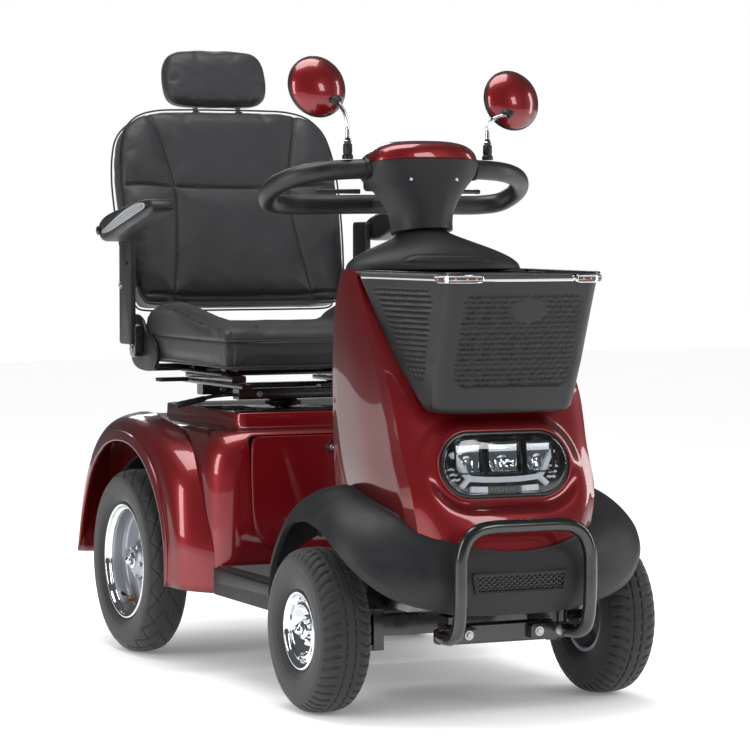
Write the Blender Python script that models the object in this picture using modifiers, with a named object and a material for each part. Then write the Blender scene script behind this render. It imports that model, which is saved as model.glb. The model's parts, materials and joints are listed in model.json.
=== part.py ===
"""Four-wheel mobility scooter, built as separate named pieces.

Metres, +Z up. The scooter faces -Y, so its right-hand side is at -X. The origin is under the middle of
its bounding box, on the floor. Every moving piece hangs from an empty that stands on its joint's axis.
"""

import math

import bmesh
import bpy
from mathutils import Matrix, Vector

NAME = "mobility_scooter"

# Clearances
GAP = 0.0005  # between pieces that meet face to face
RUNNING = 0.0004  # radial, between a shaft and its bore

# Wheels
FRONT_AXLE_Y = -0.560
REAR_AXLE_Y = 0.415
FRONT_TRACK = 0.637
REAR_TRACK = 0.677
FRONT_TYRE_RADIUS = 0.165
FRONT_TYRE_WIDTH = 0.106
FRONT_RIM_RADIUS = 0.080
REAR_TYRE_RADIUS = 0.207
REAR_TYRE_WIDTH = 0.095
REAR_RIM_RADIUS = 0.132
SHAFT_RADIUS = 0.010

# Steering
KING_PIN_X = 0.225
KING_PIN_RADIUS = 0.007
KNUCKLE_BOSS_RADIUS = 0.016
KNUCKLE_ARM = 0.090
PITMAN_ARM = 0.070
TILLER_FOOT = Vector((0.0, -0.4949, 0.170))
TILLER_TOP = Vector((0.0, -0.360, 1.000))
TILLER_LEAN = (TILLER_TOP.y - TILLER_FOOT.y) / (TILLER_TOP.z - TILLER_FOOT.z)
COLUMN_RADIUS = 0.016
NECK_RADIUS = 0.065
HANDLE_RADIUS = 0.0205
PANEL_Y = -0.256

# Frame
RAIL_X = 0.100
RAIL_WIDTH = 0.030
RAIL_BOTTOM = 0.187
RAIL_HEIGHT = 0.030
TOWER_X = 0.130
TOWER_TOP = 0.500
AXLE_TUBE_RADIUS = 0.033

# Body
BODY_HALF_WIDTH = 0.330
BODY_FRONT_Y = -0.010
BODY_REAR_Y = 0.700
BODY_BOTTOM = 0.175
SHOULDER_Z = 0.535
DECK_Z = 0.560
WALL = 0.004
FLOOR_TOP = 0.237
FLOOR_FRONT_Y = -0.330
FENDER_LIP_X = 0.400

# Headlight
LAMP_HALF_WIDTH = 0.143
LAMP_HALF_HEIGHT = 0.066
LAMP_AT = Vector((0.0, -0.750, 0.499))
LAMP_FACE = Vector((0.0, -0.985, 0.174)).normalized()

# Seat
SEAT_AXIS_Y = 0.379
POST_RADIUS = 0.021
SWIVEL_FRAME_BOTTOM = 0.577
CROSS_TUBE = 0.025
RAIL_SEAT_X = 0.165
CUSHION_HALF_WIDTH = 0.262
CUSHION_FRONT_Y = 0.085
CUSHION_REAR_Y = 0.600
CUSHION_BOTTOM = 0.652
CUSHION_TOP = 0.752
RECLINE_Y = 0.575
RECLINE_Z = 0.680
BACK_TILT = math.radians(17.0)
BACK_THICKNESS = 0.085
BACK_FRAME_X = 0.299
CROSS_ROD_RADIUS = 0.007
BACK_AT = Vector((0.0, 0.712, 1.004))
ARM_PIVOT = Vector((0.299, 0.602, 0.955))
ARM_THICKNESS = 0.060
HEADREST_ROD_X = 0.055
HEADREST_ROD_RADIUS = 0.006

PALETTE = {
    "red_paint": ((0.42, 0.006, 0.012), 0.18, 0.55),
    "dark_plastic": ((0.030, 0.031, 0.034), 0.50, 0.0),
    "black_plastic": ((0.014, 0.014, 0.016), 0.38, 0.0),
    "black_leather": ((0.020, 0.021, 0.024), 0.46, 0.0),
    "tyre_rubber": ((0.016, 0.016, 0.017), 0.82, 0.0),
    "grip_rubber": ((0.018, 0.018, 0.020), 0.62, 0.0),
    "chrome": ((0.82, 0.83, 0.84), 0.07, 1.0),
    "silver_paint": ((0.55, 0.56, 0.58), 0.32, 0.9),
    "black_steel": ((0.012, 0.012, 0.013), 0.34, 0.6),
    "clear_lens": ((0.75, 0.77, 0.80), 0.06, 0.0),
    "red_lens": ((0.55, 0.01, 0.01), 0.12, 0.0),
    "battery_case": ((0.06, 0.07, 0.09), 0.55, 0.0),
}


def clear_scene():
    for obj in list(bpy.data.objects):
        bpy.data.objects.remove(obj, do_unlink=True)


def new_collection(name):
    collection = bpy.data.collections.new(name)
    bpy.context.scene.collection.children.link(collection)
    return collection


def new_material(name):
    colour, roughness, metallic = PALETTE[name]
    material = bpy.data.materials.new(name)
    material.use_nodes = True
    shader = material.node_tree.nodes["Principled BSDF"]
    shader.inputs["Base Color"].default_value = (*colour, 1.0)
    shader.inputs["Roughness"].default_value = roughness
    shader.inputs["Metallic"].default_value = metallic
    return material


# ---------------------------------------------------------------- shapes


def from_bmesh(bm):
    """An unlinked object that holds the bmesh."""
    mesh = bpy.data.meshes.new("shape")
    bm.to_mesh(mesh)
    bm.free()
    return bpy.data.objects.new("shape", mesh)


def add_bevel(obj, width, segments=2, angle=35.0):
    bevel = obj.modifiers.new("edges", "BEVEL")
    bevel.width = width
    bevel.segments = segments
    bevel.limit_method = "ANGLE"
    bevel.angle_limit = math.radians(angle)
    return obj


def block(low, high, bevel=0.0, segments=2):
    """A box from its low corner to its high corner."""
    low, high = Vector(low), Vector(high)
    bm = bmesh.new()
    size = high - low
    bmesh.ops.create_cube(bm, size=1.0, matrix=Matrix.Diagonal((*size, 1.0)))
    bmesh.ops.translate(bm, verts=bm.verts, vec=(low + high) / 2)
    obj = from_bmesh(bm)
    return add_bevel(obj, bevel, segments) if bevel else obj


def rod(start, end, radius, end_radius=None, sides=16):
    """A round bar, or a cone, from one point to another."""
    start, end = Vector(start), Vector(end)
    turn = (end - start).to_track_quat("Z", "Y").to_matrix().to_4x4()
    bm = bmesh.new()
    bmesh.ops.create_cone(
        bm, cap_ends=True, segments=sides, radius1=radius,
        radius2=radius if end_radius is None else end_radius, depth=(end - start).length,
        matrix=Matrix.Translation((start + end) / 2) @ turn)
    return from_bmesh(bm)


def turned(profile, centre, direction, steps, ring_shaped=True):
    """A (radius, height) profile turned about a line through the centre, as a Screw modifier.

    It goes down its outer side. A ring-shaped profile closes on itself. Any other starts and ends on the line.
    """
    bm = bmesh.new()
    ring = [bm.verts.new((radius, 0.0, height)) for radius, height in profile]
    for a, b in zip(ring, ring[1:] + ring[:1] if ring_shaped else ring[1:]):
        bm.edges.new((a, b))
    obj = from_bmesh(bm)
    turned_to = Vector(direction).to_track_quat("Z", "Y").to_matrix().to_4x4()
    obj.matrix_world = Matrix.Translation(centre) @ turned_to
    screw = obj.modifiers.new("turn", "SCREW")
    screw.steps = screw.render_steps = steps
    screw.use_merge_vertices = True
    screw.merge_threshold = 0.0001
    return obj


def pipe(points, radius, sides=2, cyclic=False, resolution=6):
    """A round bar that bends smoothly through the points, as a mesh."""
    curve = bpy.data.curves.new("pipe", "CURVE")
    curve.dimensions = "3D"
    curve.bevel_depth = radius
    curve.bevel_resolution = sides
    curve.use_fill_caps = True
    curve.resolution_u = resolution
    spline = curve.splines.new("BEZIER")
    spline.bezier_points.add(len(points) - 1)
    for knot, point in zip(spline.bezier_points, points):
        knot.co = point
        knot.handle_left_type = knot.handle_right_type = "AUTO"
    spline.use_cyclic_u = cyclic
    return as_mesh(bpy.data.objects.new("pipe", curve))


def plate(outline, normal, centre, thickness, bevel=0.0):
    """A flat plate: a filled 2D curve of (across, up) points, extruded both ways along its normal."""
    curve = bpy.data.curves.new("plate", "CURVE")
    curve.dimensions = "2D"
    curve.fill_mode = "BOTH"
    curve.extrude = thickness / 2
    spline = curve.splines.new("POLY")
    spline.points.add(len(outline) - 1)
    for point, (across, up) in zip(spline.points, outline):
        point.co = (across, up, 0.0, 1.0)
    spline.use_cyclic_u = True
    obj = bpy.data.objects.new("plate", curve)
    up = Vector((0.0, 0.0, 1.0)) if abs(normal[2]) < 0.9 else Vector((0.0, 1.0, 0.0))
    z = Vector(normal).normalized()
    x = up.cross(z).normalized()
    obj.matrix_world = Matrix.Translation(centre) @ Matrix((x, z.cross(x), z)).transposed().to_4x4()
    mesh = as_mesh(obj)
    return add_bevel(mesh, bevel) if bevel else mesh


def as_mesh(obj):
    """Replaces a curve object by the closed mesh that it makes, in world space."""
    bpy.context.scene.collection.objects.link(obj)
    bpy.context.view_layer.update()
    graph = bpy.context.evaluated_depsgraph_get()
    mesh = bpy.data.meshes.new_from_object(obj.evaluated_get(graph))
    mesh.transform(obj.matrix_world)
    bm = bmesh.new()
    bm.from_mesh(mesh)
    bmesh.ops.remove_doubles(bm, verts=bm.verts, dist=0.00002)
    bmesh.ops.recalc_face_normals(bm, faces=bm.faces)
    bpy.data.objects.remove(obj, do_unlink=True)
    return from_bmesh(bm)


def grid_faces(bm, rows, closed):
    """Quads between neighbouring rows of points; closed rows run round and meet themselves."""
    verts = [[bm.verts.new(point) for point in row] for row in rows]
    for low, high in zip(verts, verts[1:]):
        count = len(low)
        for i in range(count if closed else count - 1):
            j = (i + 1) % count
            bm.faces.new((low[i], low[j], high[j], high[i]))
    return verts


def skin(rows, wall, closed=False, mirrored=False, flip=False):
    """A sheet lofted through rows of points, with its wall laid on the inner side by Solidify."""
    bm = bmesh.new()
    grid_faces(bm, rows, closed)
    if flip:
        bmesh.ops.reverse_faces(bm, faces=bm.faces)
    obj = from_bmesh(bm)
    if mirrored:
        mirror = obj.modifiers.new("other half", "MIRROR")
        mirror.use_clip = True
        mirror.merge_threshold = 0.0001
    solid = obj.modifiers.new("wall", "SOLIDIFY")
    solid.thickness = wall
    solid.offset = -1.0
    solid.use_even_offset = False
    return obj


def loft(rows, bevel=0.0):
    """A closed solid lofted through closed rows of points, with a flat cap on each end."""
    bm = bmesh.new()
    verts = grid_faces(bm, rows, True)
    bm.faces.new(list(reversed(verts[0])))
    bm.faces.new(verts[-1])
    bmesh.ops.recalc_face_normals(bm, faces=bm.faces)
    obj = from_bmesh(bm)
    return add_bevel(obj, bevel) if bevel else obj


def superellipse(half_x, half_y, centre, count=16, power=3.0):
    """A rounded rectangle |x/a|^p + |y/b|^p = 1 of points in a level plane."""
    ring = []
    for i in range(count):
        angle = 2 * math.pi * (i + 0.5) / count
        c, s = math.cos(angle), math.sin(angle)
        ring.append(Vector(centre) + Vector((
            half_x * math.copysign(abs(c) ** (2 / power), c),
            half_y * math.copysign(abs(s) ** (2 / power), s), 0.0)))
    return ring


def stadium(half_width, half_height, count=6):
    """A flat outline with two round ends, as (across, up) points."""
    straight = half_width - half_height
    outline = []
    for side, start in ((1, -math.pi / 2), (-1, math.pi / 2)):
        for i in range(count + 1):
            angle = start + math.pi * i / count
            outline.append((side * straight + half_height * math.cos(angle), half_height * math.sin(angle)))
    return outline


def soft_outline(half_width, half_height, radius, count=5):
    """A rectangle with round corners, as (across, up) points."""
    outline = []
    for corner, (sx, sy) in enumerate(((1, -1), (1, 1), (-1, 1), (-1, -1))):
        for i in range(count + 1):
            angle = math.pi / 2 * (corner - 1 + i / count)
            outline.append((sx * (half_width - radius) + radius * math.cos(angle),
                            sy * (half_height - radius) + radius * math.sin(angle)))
    return outline


class Assembly:
    """Keeps the finished pieces in one collection and everything they are cut or joined with in another."""

    def __init__(self):
        self.pieces = new_collection(NAME)
        self.cutters = new_collection("cutters")
        self.cutters.hide_render = True
        self.materials = {name: new_material(name) for name in PALETTE}

    def pivot(self, name, location, parent=None):
        """An empty on a joint's axis."""
        empty = bpy.data.objects.new(name, None)
        empty.empty_display_size = 0.03
        empty.location = location
        self.pieces.objects.link(empty)
        bpy.context.view_layer.update()
        self.hang(empty, parent)
        return empty

    def hang(self, obj, parent):
        if parent is not None:
            obj.parent = parent
            obj.matrix_parent_inverse = parent.matrix_world.inverted()
            bpy.context.view_layer.update()

    def combine(self, obj, other, operation, solver="EXACT"):
        other.name = "cutter"
        other.hide_render = True
        other.display_type = "WIRE"
        self.cutters.objects.link(other)
        boolean = obj.modifiers.new(operation.lower(), "BOOLEAN")
        boolean.operation = operation
        boolean.solver = solver
        boolean.object = other

    def piece(self, name, shape, material, parent=None, joined=(), cut=(), solver="EXACT"):
        """Names a shape and finishes it: joined to some shapes, cut by others, painted and hung."""
        shape.name = name
        shape.data.name = name
        self.pieces.objects.link(shape)
        for other in joined:
            self.combine(shape, other, "UNION", solver)
        for other in cut:
            self.combine(shape, other, "DIFFERENCE", solver)
        shape.data.materials.clear()
        shape.data.materials.append(self.materials[material])
        bpy.context.view_layer.update()
        self.hang(shape, parent)
        return shape


SIDES = (("right", -1), ("left", 1))


def on_side(side, point):
    """The point of the left half, or its twin on the right half."""
    return Vector((side * point[0], point[1], point[2]))


# ---------------------------------------------------------------- wheels


def tyre_profile(radius, width, bead):
    half = width / 2
    return [
        (bead, half * 0.74), (bead + 0.35 * (radius - bead), half), (radius - 0.016, half * 0.94),
        (radius - 0.004, half * 0.74), (radius, half * 0.40), (radius, -half * 0.40),
        (radius - 0.004, -half * 0.74), (radius - 0.016, -half * 0.94),
        (bead + 0.35 * (radius - bead), -half), (bead, -half * 0.74)]


def rim_profile(radius, width, hub_radius, dish, web):
    """A one-piece disc wheel. Height runs to the outboard side; the web stands at the dish."""
    half = width * 0.36
    bore = SHAFT_RADIUS + RUNNING
    return [
        (bore, dish + 0.018), (hub_radius, dish + 0.018), (hub_radius, dish + web / 2),
        (radius - 0.022, dish + web / 2), (radius - 0.012, half), (radius, half), (radius, -half),
        (radius - 0.012, -half), (radius - 0.022, dish - web / 2), (hub_radius, dish - web / 2),
        (hub_radius, -half), (bore, -half)]


def add_wheels(kit, knuckles):
    for word, side in SIDES:
        outboard = (side, 0.0, 0.0)
        front = Vector((side * FRONT_TRACK / 2, FRONT_AXLE_Y, FRONT_TYRE_RADIUS))
        rear = Vector((side * REAR_TRACK / 2, REAR_AXLE_Y, REAR_TYRE_RADIUS))
        front_spin = kit.pivot("front_wheel_" + word + "_axis", front, knuckles[word])
        rear_spin = kit.pivot("rear_wheel_" + word + "_axis", rear)
        kit.piece("front_tyre_" + word, turned(
            tyre_profile(FRONT_TYRE_RADIUS, FRONT_TYRE_WIDTH, FRONT_RIM_RADIUS + GAP), front, outboard, 32),
            "tyre_rubber", front_spin)
        kit.piece("front_rim_" + word, turned(
            rim_profile(FRONT_RIM_RADIUS, FRONT_TYRE_WIDTH, 0.026, 0.012, 0.010), front, outboard, 32),
            "chrome", front_spin)
        kit.piece("rear_tyre_" + word, turned(
            tyre_profile(REAR_TYRE_RADIUS, REAR_TYRE_WIDTH, REAR_RIM_RADIUS + GAP), rear, outboard, 36),
            "tyre_rubber", rear_spin)
        kit.piece("rear_rim_" + word, turned(
            rim_profile(REAR_RIM_RADIUS, REAR_TYRE_WIDTH, 0.030, 0.004, 0.008), rear, outboard, 36),
            "silver_paint", rear_spin)


# ---------------------------------------------------------------- chassis


def add_frame(kit):
    """Two rails, the seat post's tower, the bumper's cross beam and the column's foot bearing."""
    rail_top = RAIL_BOTTOM + RAIL_HEIGHT
    pieces = []
    for side in (-1, 1):
        x0, x1 = sorted((side * (RAIL_X - RAIL_WIDTH / 2), side * (RAIL_X + RAIL_WIDTH / 2)))
        t0, t1 = sorted((side * (TOWER_X - 0.015), side * (TOWER_X + 0.015)))
        pieces += [
            block((x0, -0.690, RAIL_BOTTOM), (x1, 0.231, rail_top)),
            block((x0 + 0.002, -0.731, 0.146), (x1 - 0.002, -0.680, RAIL_BOTTOM + 0.010)),
            block((t0, 0.205, RAIL_BOTTOM + 0.002), (t1, 0.235, TOWER_TOP - 0.004)),
            block((min(x0, t0) + 0.003, 0.208, RAIL_BOTTOM + 0.004),
                  (max(x1, t1) - 0.003, 0.232, rail_top - 0.003)),
            block((t0, 0.545, 0.300), (t1, 0.575, TOWER_TOP - 0.004)),
            block((t0 + 0.002, 0.215, TOWER_TOP - 0.030), (t1 - 0.002, 0.560, TOWER_TOP - 0.005)),
            block((t0, REAR_AXLE_Y - 0.018, REAR_TYRE_RADIUS + AXLE_TUBE_RADIUS + GAP),
                  (t1, REAR_AXLE_Y + 0.018, TOWER_TOP - 0.020)),
        ]
    pieces += [
        block((-0.112, 0.180, RAIL_BOTTOM + 0.003), (0.112, 0.200, rail_top - 0.003)),
        block((-0.100, -0.100, RAIL_BOTTOM + 0.003), (0.100, -0.070, rail_top - 0.003)),
        block((-0.100, -0.530, RAIL_BOTTOM + 0.003), (0.100, -0.440, rail_top - 0.003)),
        block((-0.136, SEAT_AXIS_Y - 0.050, TOWER_TOP - 0.010), (0.136, SEAT_AXIS_Y + 0.050, TOWER_TOP)),
        block((-0.136, 0.550, TOWER_TOP - 0.026), (0.136, 0.570, TOWER_TOP - 0.006)),
    ]
    bumper_beam = block((-0.120, -0.737, 0.143), (0.120, -0.712, 0.183), 0.004)
    axis = (TILLER_TOP - TILLER_FOOT).normalized()
    foot_bearing = rod(TILLER_FOOT, TILLER_FOOT + axis * 0.12, COLUMN_RADIUS + 0.001, sides=24)
    kit.piece("chassis_frame", bumper_beam, "black_steel", joined=pieces, cut=[foot_bearing])


def add_front_axle(kit):
    """A box beam with a fork at each end, that the knuckle turns in on its king pin."""
    beam_z = FRONT_TYRE_RADIUS
    pieces, holes = [], []
    for side in (-1, 1):
        x0, x1 = sorted((side * (KING_PIN_X - 0.040), side * (KING_PIN_X - KNUCKLE_BOSS_RADIUS - 0.002)))
        pieces.append(block((x0, FRONT_AXLE_Y - 0.022, beam_z - 0.047),
                            (x1, FRONT_AXLE_Y + 0.022, beam_z + 0.037)))
        e0, e1 = sorted((side * (KING_PIN_X - 0.019), side * (KING_PIN_X + 0.018)))
        for low, high in ((-0.047, -0.035), (0.025, 0.037)):
            pieces.append(block((e0, FRONT_AXLE_Y - 0.018, beam_z + low),
                                (e1, FRONT_AXLE_Y + 0.018, beam_z + high)))
        pin = Vector((side * KING_PIN_X, FRONT_AXLE_Y, beam_z))
        reach = Vector((0, 0, 0.06))
        holes.append(rod(pin - reach, pin + reach, KING_PIN_RADIUS + RUNNING, sides=20))
    beam_top = RAIL_BOTTOM - GAP
    beam = block((-KING_PIN_X + 0.035, FRONT_AXLE_Y - 0.020, beam_top - 0.040),
                 (KING_PIN_X - 0.035, FRONT_AXLE_Y + 0.020, beam_top))
    kit.piece("front_axle_beam", beam, "black_steel", joined=pieces, cut=holes)


def add_rear_drive(kit):
    centre = Vector((0.0, REAR_AXLE_Y, REAR_TYRE_RADIUS))
    end = REAR_TRACK / 2 - REAR_TYRE_WIDTH * 0.36 - 0.006
    tube = rod(centre - Vector((end, 0, 0)), centre + Vector((end, 0, 0)), AXLE_TUBE_RADIUS, sides=20)
    tip = REAR_TRACK / 2 + 0.020
    shaft = rod(centre - Vector((tip, 0, 0)), centre + Vector((tip, 0, 0)), SHAFT_RADIUS, sides=20)
    gearbox = rod(centre - Vector((0.045, 0, 0)), centre + Vector((0.045, 0, 0)), 0.075, sides=24)
    kit.piece("rear_transaxle", tube, "black_steel", joined=[shaft, gearbox])
    nose = Vector((0.0, REAR_AXLE_Y - 0.075 - GAP, REAR_TYRE_RADIUS + 0.010))
    motor = rod(nose - Vector((0, 0.105, 0)), nose, 0.052, sides=24)
    kit.piece("drive_motor", motor, "black_steel")


def add_power(kit):
    """Two batteries on the rails ahead of the motor, with the controller over them."""
    floor = RAIL_BOTTOM + RAIL_HEIGHT + GAP
    for word, side in SIDES:
        x0, x1 = sorted((side * 0.012, side * 0.202))
        case = block((x0, 0.030, floor), (x1, 0.198, floor + 0.170), 0.004, 1)
        kit.piece("battery_" + word, case, "battery_case")
    low = floor + 0.170 + GAP
    controller = block((-0.090, 0.050, low), (0.090, 0.170, low + 0.055), 0.005, 1)
    kit.piece("motor_controller", controller, "black_steel")


def rail_way(front, rear):
    """The room that a cover leaves for both rails to pass through its walls."""
    half = RAIL_X + RAIL_WIDTH / 2 + 0.003
    return block((-half, front, 0.10), (half, rear, RAIL_BOTTOM + RAIL_HEIGHT + 2 * GAP))


def add_floor(kit):
    """The step-through floor: a tray turned over, open below, with a tongue between the front wheels."""
    def tray(grow, top, bottom):
        half, tongue = BODY_HALF_WIDTH - 0.004 - grow, 0.150 - grow
        front, rear = FLOOR_FRONT_Y + grow, BODY_FRONT_Y - 0.002 - grow
        outline = [(-half, rear), (-half, front), (-tongue, front), (-tongue, -0.420 + grow),
                   (tongue, -0.420 + grow), (tongue, front), (half, front), (half, rear)]
        rows = [[Vector((x, y, z)) for x, y in outline] for z in (bottom, top)]
        return loft(rows)

    kit.piece("floor_pan", tray(0.0, FLOOR_TOP, BODY_BOTTOM), "dark_plastic",
              cut=[tray(WALL, FLOOR_TOP - WALL, BODY_BOTTOM - 0.05), rail_way(-0.50, 0.05)])


# ---------------------------------------------------------------- body


def body_form(inset):
    """The seat base without its wheel wells, drawn in by a wall's thickness, and cut short below."""
    half = BODY_HALF_WIDTH - inset
    front, rear = BODY_FRONT_Y + inset, BODY_REAR_Y - inset
    bottom = BODY_BOTTOM if inset == 0 else BODY_BOTTOM - 0.03
    rows = []
    for z, shrink in ((bottom, 0.0), (0.450, 0.0), (0.505, 0.012), (SHOULDER_Z - inset, 0.050)):
        outline = soft_outline(half - shrink, (rear - front) / 2 - shrink, 0.050, 4)
        rows.append([Vector((x, y + (front + rear) / 2, z)) for x, y in outline])
    plinth = block((-0.245 + inset, 0.055 + inset, 0.400), (0.245 - inset, 0.505 - inset, DECK_Z - inset))
    return loft(rows), plinth


def wheel_well(side, grow):
    centre = Vector((0.0, REAR_AXLE_Y, REAR_TYRE_RADIUS))
    inner = REAR_TRACK / 2 - REAR_TYRE_WIDTH / 2 - 0.014 - grow
    radius = REAR_TYRE_RADIUS + 0.030 + grow
    return rod(centre + Vector((side * inner, 0, 0)), centre + Vector((side * 0.5, 0, 0)), radius, sides=32)


def well_skirt(side, grow):
    """Opens the well downwards, since the tyre goes below the body."""
    inner = REAR_TRACK / 2 - REAR_TYRE_WIDTH / 2 - 0.014 - grow
    x0, x1 = sorted((side * inner, side * 0.5))
    radius = REAR_TYRE_RADIUS + 0.030 + grow
    return block((x0, REAR_AXLE_Y - radius, 0.0), (x1, REAR_AXLE_Y + radius, REAR_TYRE_RADIUS))


DOOR_HALF_WIDTH = 0.238
DOOR_TOP = 0.512
DOOR_BOTTOM = 0.262


def door_outline(grow):
    half = DOOR_HALF_WIDTH + grow
    top, bottom = DOOR_TOP + grow, DOOR_BOTTOM - grow
    corner = [(half - 0.080, bottom), (half - 0.030, bottom + 0.015), (half - 0.006, bottom + 0.060), (half, top)]
    return [(-x, z) for x, z in reversed(corner)] + corner


def add_body(kit):
    shape, plinth = body_form(0.0)
    hollow, hollow_plinth = body_form(WALL)
    wells = [wheel_well(side, 0.0) for side in (-1, 1)] + [well_skirt(side, 0.0) for side in (-1, 1)]
    keep_walls = [wheel_well(side, WALL) for side in (-1, 1)] + [well_skirt(side, WALL) for side in (-1, 1)]
    for part, operation in [(hollow_plinth, "UNION")] + [(wall, "DIFFERENCE") for wall in keep_walls]:
        kit.combine(hollow, part, operation)
    axle_slot = block((-0.4, REAR_AXLE_Y - 0.050, 0.0), (0.4, REAR_AXLE_Y + 0.050, REAR_TYRE_RADIUS + 0.050))
    post_hole = rod((0, SEAT_AXIS_Y, 0.4), (0, SEAT_AXIS_Y, 0.7), POST_RADIUS + 0.008, sides=20)
    doorway = plate(door_outline(0.0015), (0, -1, 0), (0, BODY_FRONT_Y, 0), 0.060)
    kit.piece("rear_body_shell", shape, "red_paint", joined=[plinth],
              cut=wells + [hollow, axle_slot, post_hole, doorway, rail_way(-0.05, 0.02)])
    hinge = kit.pivot("battery_door_axis", (0, BODY_FRONT_Y, DOOR_BOTTOM))
    lock_at = Vector((-0.051, BODY_FRONT_Y, 0.485))
    door = plate(door_outline(0.0), (0, -1, 0), (0, BODY_FRONT_Y + WALL / 2, 0), WALL)
    hole = rod(lock_at - Vector((0, 0.02, 0)), lock_at + Vector((0, 0.04, 0)), 0.0124, sides=16)
    kit.piece("battery_door", door, "red_paint", hinge, cut=[hole])
    lock_axis = kit.pivot("door_lock_axis", lock_at, hinge)
    barrel = rod(lock_at - Vector((0, 0.004, 0)), lock_at + Vector((0, 0.014, 0)), 0.0118, sides=16)
    cam = block(lock_at + Vector((-0.006, 0.010, -0.008)), lock_at + Vector((0.006, 0.014, 0.024)))
    kit.piece("door_lock", barrel, "chrome", lock_axis, joined=[cam])
    lamp = block((-0.230, BODY_REAR_Y + GAP, 0.380), (0.230, BODY_REAR_Y + 0.012, 0.420), 0.004, 1)
    kit.piece("tail_lamp", lamp, "red_lens")


FENDER_LIP = [(0.668, 0.208), (0.635, 0.300), (0.580, 0.395), (0.505, 0.455), (0.415, 0.480), (0.310, 0.476),
              (0.215, 0.435), (0.145, 0.365), (0.105, 0.280), (0.098, 0.185)]
FENDER_SEAM = [(0.700, 0.200), (0.690, 0.330), (0.640, 0.445), (0.540, 0.522), (0.418, 0.545), (0.279, 0.531),
               (0.150, 0.492), (0.066, 0.420), (0.020, 0.300), (0.004, 0.172)]


def add_rear_fenders(kit):
    """Each flare is lofted from its rolled lip, over a crown, to its seam on the body."""
    seam_x = BODY_HALF_WIDTH + WALL + GAP
    for word, side in SIDES:
        rows = []
        for lip, seam in zip(FENDER_LIP, FENDER_SEAM):
            row = []
            for share, bulge in ((0.0, 0.0), (0.06, 0.35), (0.40, 0.85), (0.75, 0.60), (1.0, 0.0)):
                x = FENDER_LIP_X + (seam_x - FENDER_LIP_X) * share
                spread = share ** 0.7
                away = Vector((0, seam[0] - lip[0], seam[1] - lip[1])) * (spread - share)
                y = lip[0] + (seam[0] - lip[0]) * share + away.y * bulge
                z = lip[1] + (seam[1] - lip[1]) * share + away.z * bulge
                row.append(Vector((side * x, y, z)))
            rows.append(row)
        kit.piece("rear_fender_" + word, skin(rows, WALL, flip=side < 0), "red_paint")


# Level, rear, side and front of each closed section of the front column: z, half width at the rear edge,
# rear y, half width of the side, side y, half width of the front corner, front corner y, front y
SHROUD = [
    (0.340, 0.196, -0.385, 0.205, -0.560, 0.150, -0.750, -0.788),
    (0.420, 0.206, -0.385, 0.216, -0.570, 0.185, -0.700, -0.752),
    (0.500, 0.213, -0.385, 0.221, -0.560, 0.190, -0.680, -0.724),
    (0.600, 0.216, -0.385, 0.221, -0.530, 0.190, -0.655, -0.700),
    (0.700, 0.216, -0.385, 0.219, -0.490, 0.190, -0.590, -0.612),
    (0.800, 0.213, -0.388, 0.212, -0.460, 0.190, -0.505, -0.522),
    (0.880, 0.199, -0.395, 0.199, -0.427, 0.180, -0.445, -0.455),
]


def shroud_section(row):
    z, rear_x, rear_y, side_x, side_y, corner_x, corner_y, front_y = row
    half = [(rear_x * 0.5, rear_y + 0.048), (rear_x - 0.010, rear_y), (rear_x, rear_y - 0.010),
            (side_x, (rear_y + side_y) / 2), (side_x, side_y), (corner_x, corner_y),
            (corner_x * 0.5, front_y + (corner_y - front_y) * 0.25)]
    left = [Vector((x, y, z)) for x, y in half]
    right = [Vector((-x, y, z)) for x, y in reversed(half)]
    return [Vector((0, rear_y + 0.054, z))] + left + [Vector((0, front_y, z))] + right


def add_front_column(kit):
    rows = [shroud_section(row) for row in SHROUD]
    window = plate(stadium(LAMP_HALF_WIDTH + 0.001, LAMP_HALF_HEIGHT + 0.001), LAMP_FACE, LAMP_AT, 0.080)
    kit.piece("front_shroud", skin(rows, WALL, closed=True, flip=True), "red_paint", cut=[window])


FRONT_LIP = [(0.0, -0.792, 0.205), (0.100, -0.792, 0.207), (0.170, -0.790, 0.220), (0.220, -0.783, 0.232),
             (0.275, -0.765, 0.257), (0.318, -0.730, 0.298), (0.338, -0.690, 0.335), (0.343, -0.640, 0.362),
             (0.342, -0.580, 0.376), (0.338, -0.517, 0.378), (0.346, -0.452, 0.358), (0.353, -0.400, 0.280),
             (0.347, -0.368, 0.221)]
FRONT_CROWN = [(0.0, -0.812, 0.332), (0.070, -0.806, 0.338), (0.115, -0.796, 0.348), (0.158, -0.775, 0.362),
               (0.190, -0.735, 0.385), (0.207, -0.700, 0.402), (0.222, -0.650, 0.418), (0.230, -0.600, 0.430),
               (0.232, -0.550, 0.442), (0.231, -0.500, 0.447), (0.228, -0.430, 0.430), (0.226, -0.365, 0.390),
               (0.226, -0.338, 0.330)]
FRONT_BULGE = [(0.0, -0.020, 0.0), (0.0, -0.020, 0.0), (0.0, -0.022, 0.0), (0.004, -0.022, 0.002),
               (0.008, -0.020, 0.008), (0.010, -0.014, 0.014), (0.008, -0.008, 0.018), (0.006, -0.002, 0.020),
               (0.004, 0.0, 0.020), (0.004, 0.004, 0.020), (0.008, 0.010, 0.018), (0.012, 0.014, 0.014),
               (0.010, 0.012, 0.008)]


GRILLE_AT = Vector((0.0, -0.820, 0.2716))


def grille_outline(grow):
    top, foot, half = 0.102 + grow, 0.096 + grow, 0.0186 + grow
    return [(-top, half), (-foot, -half), (foot, -half), (top, half)]


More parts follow.
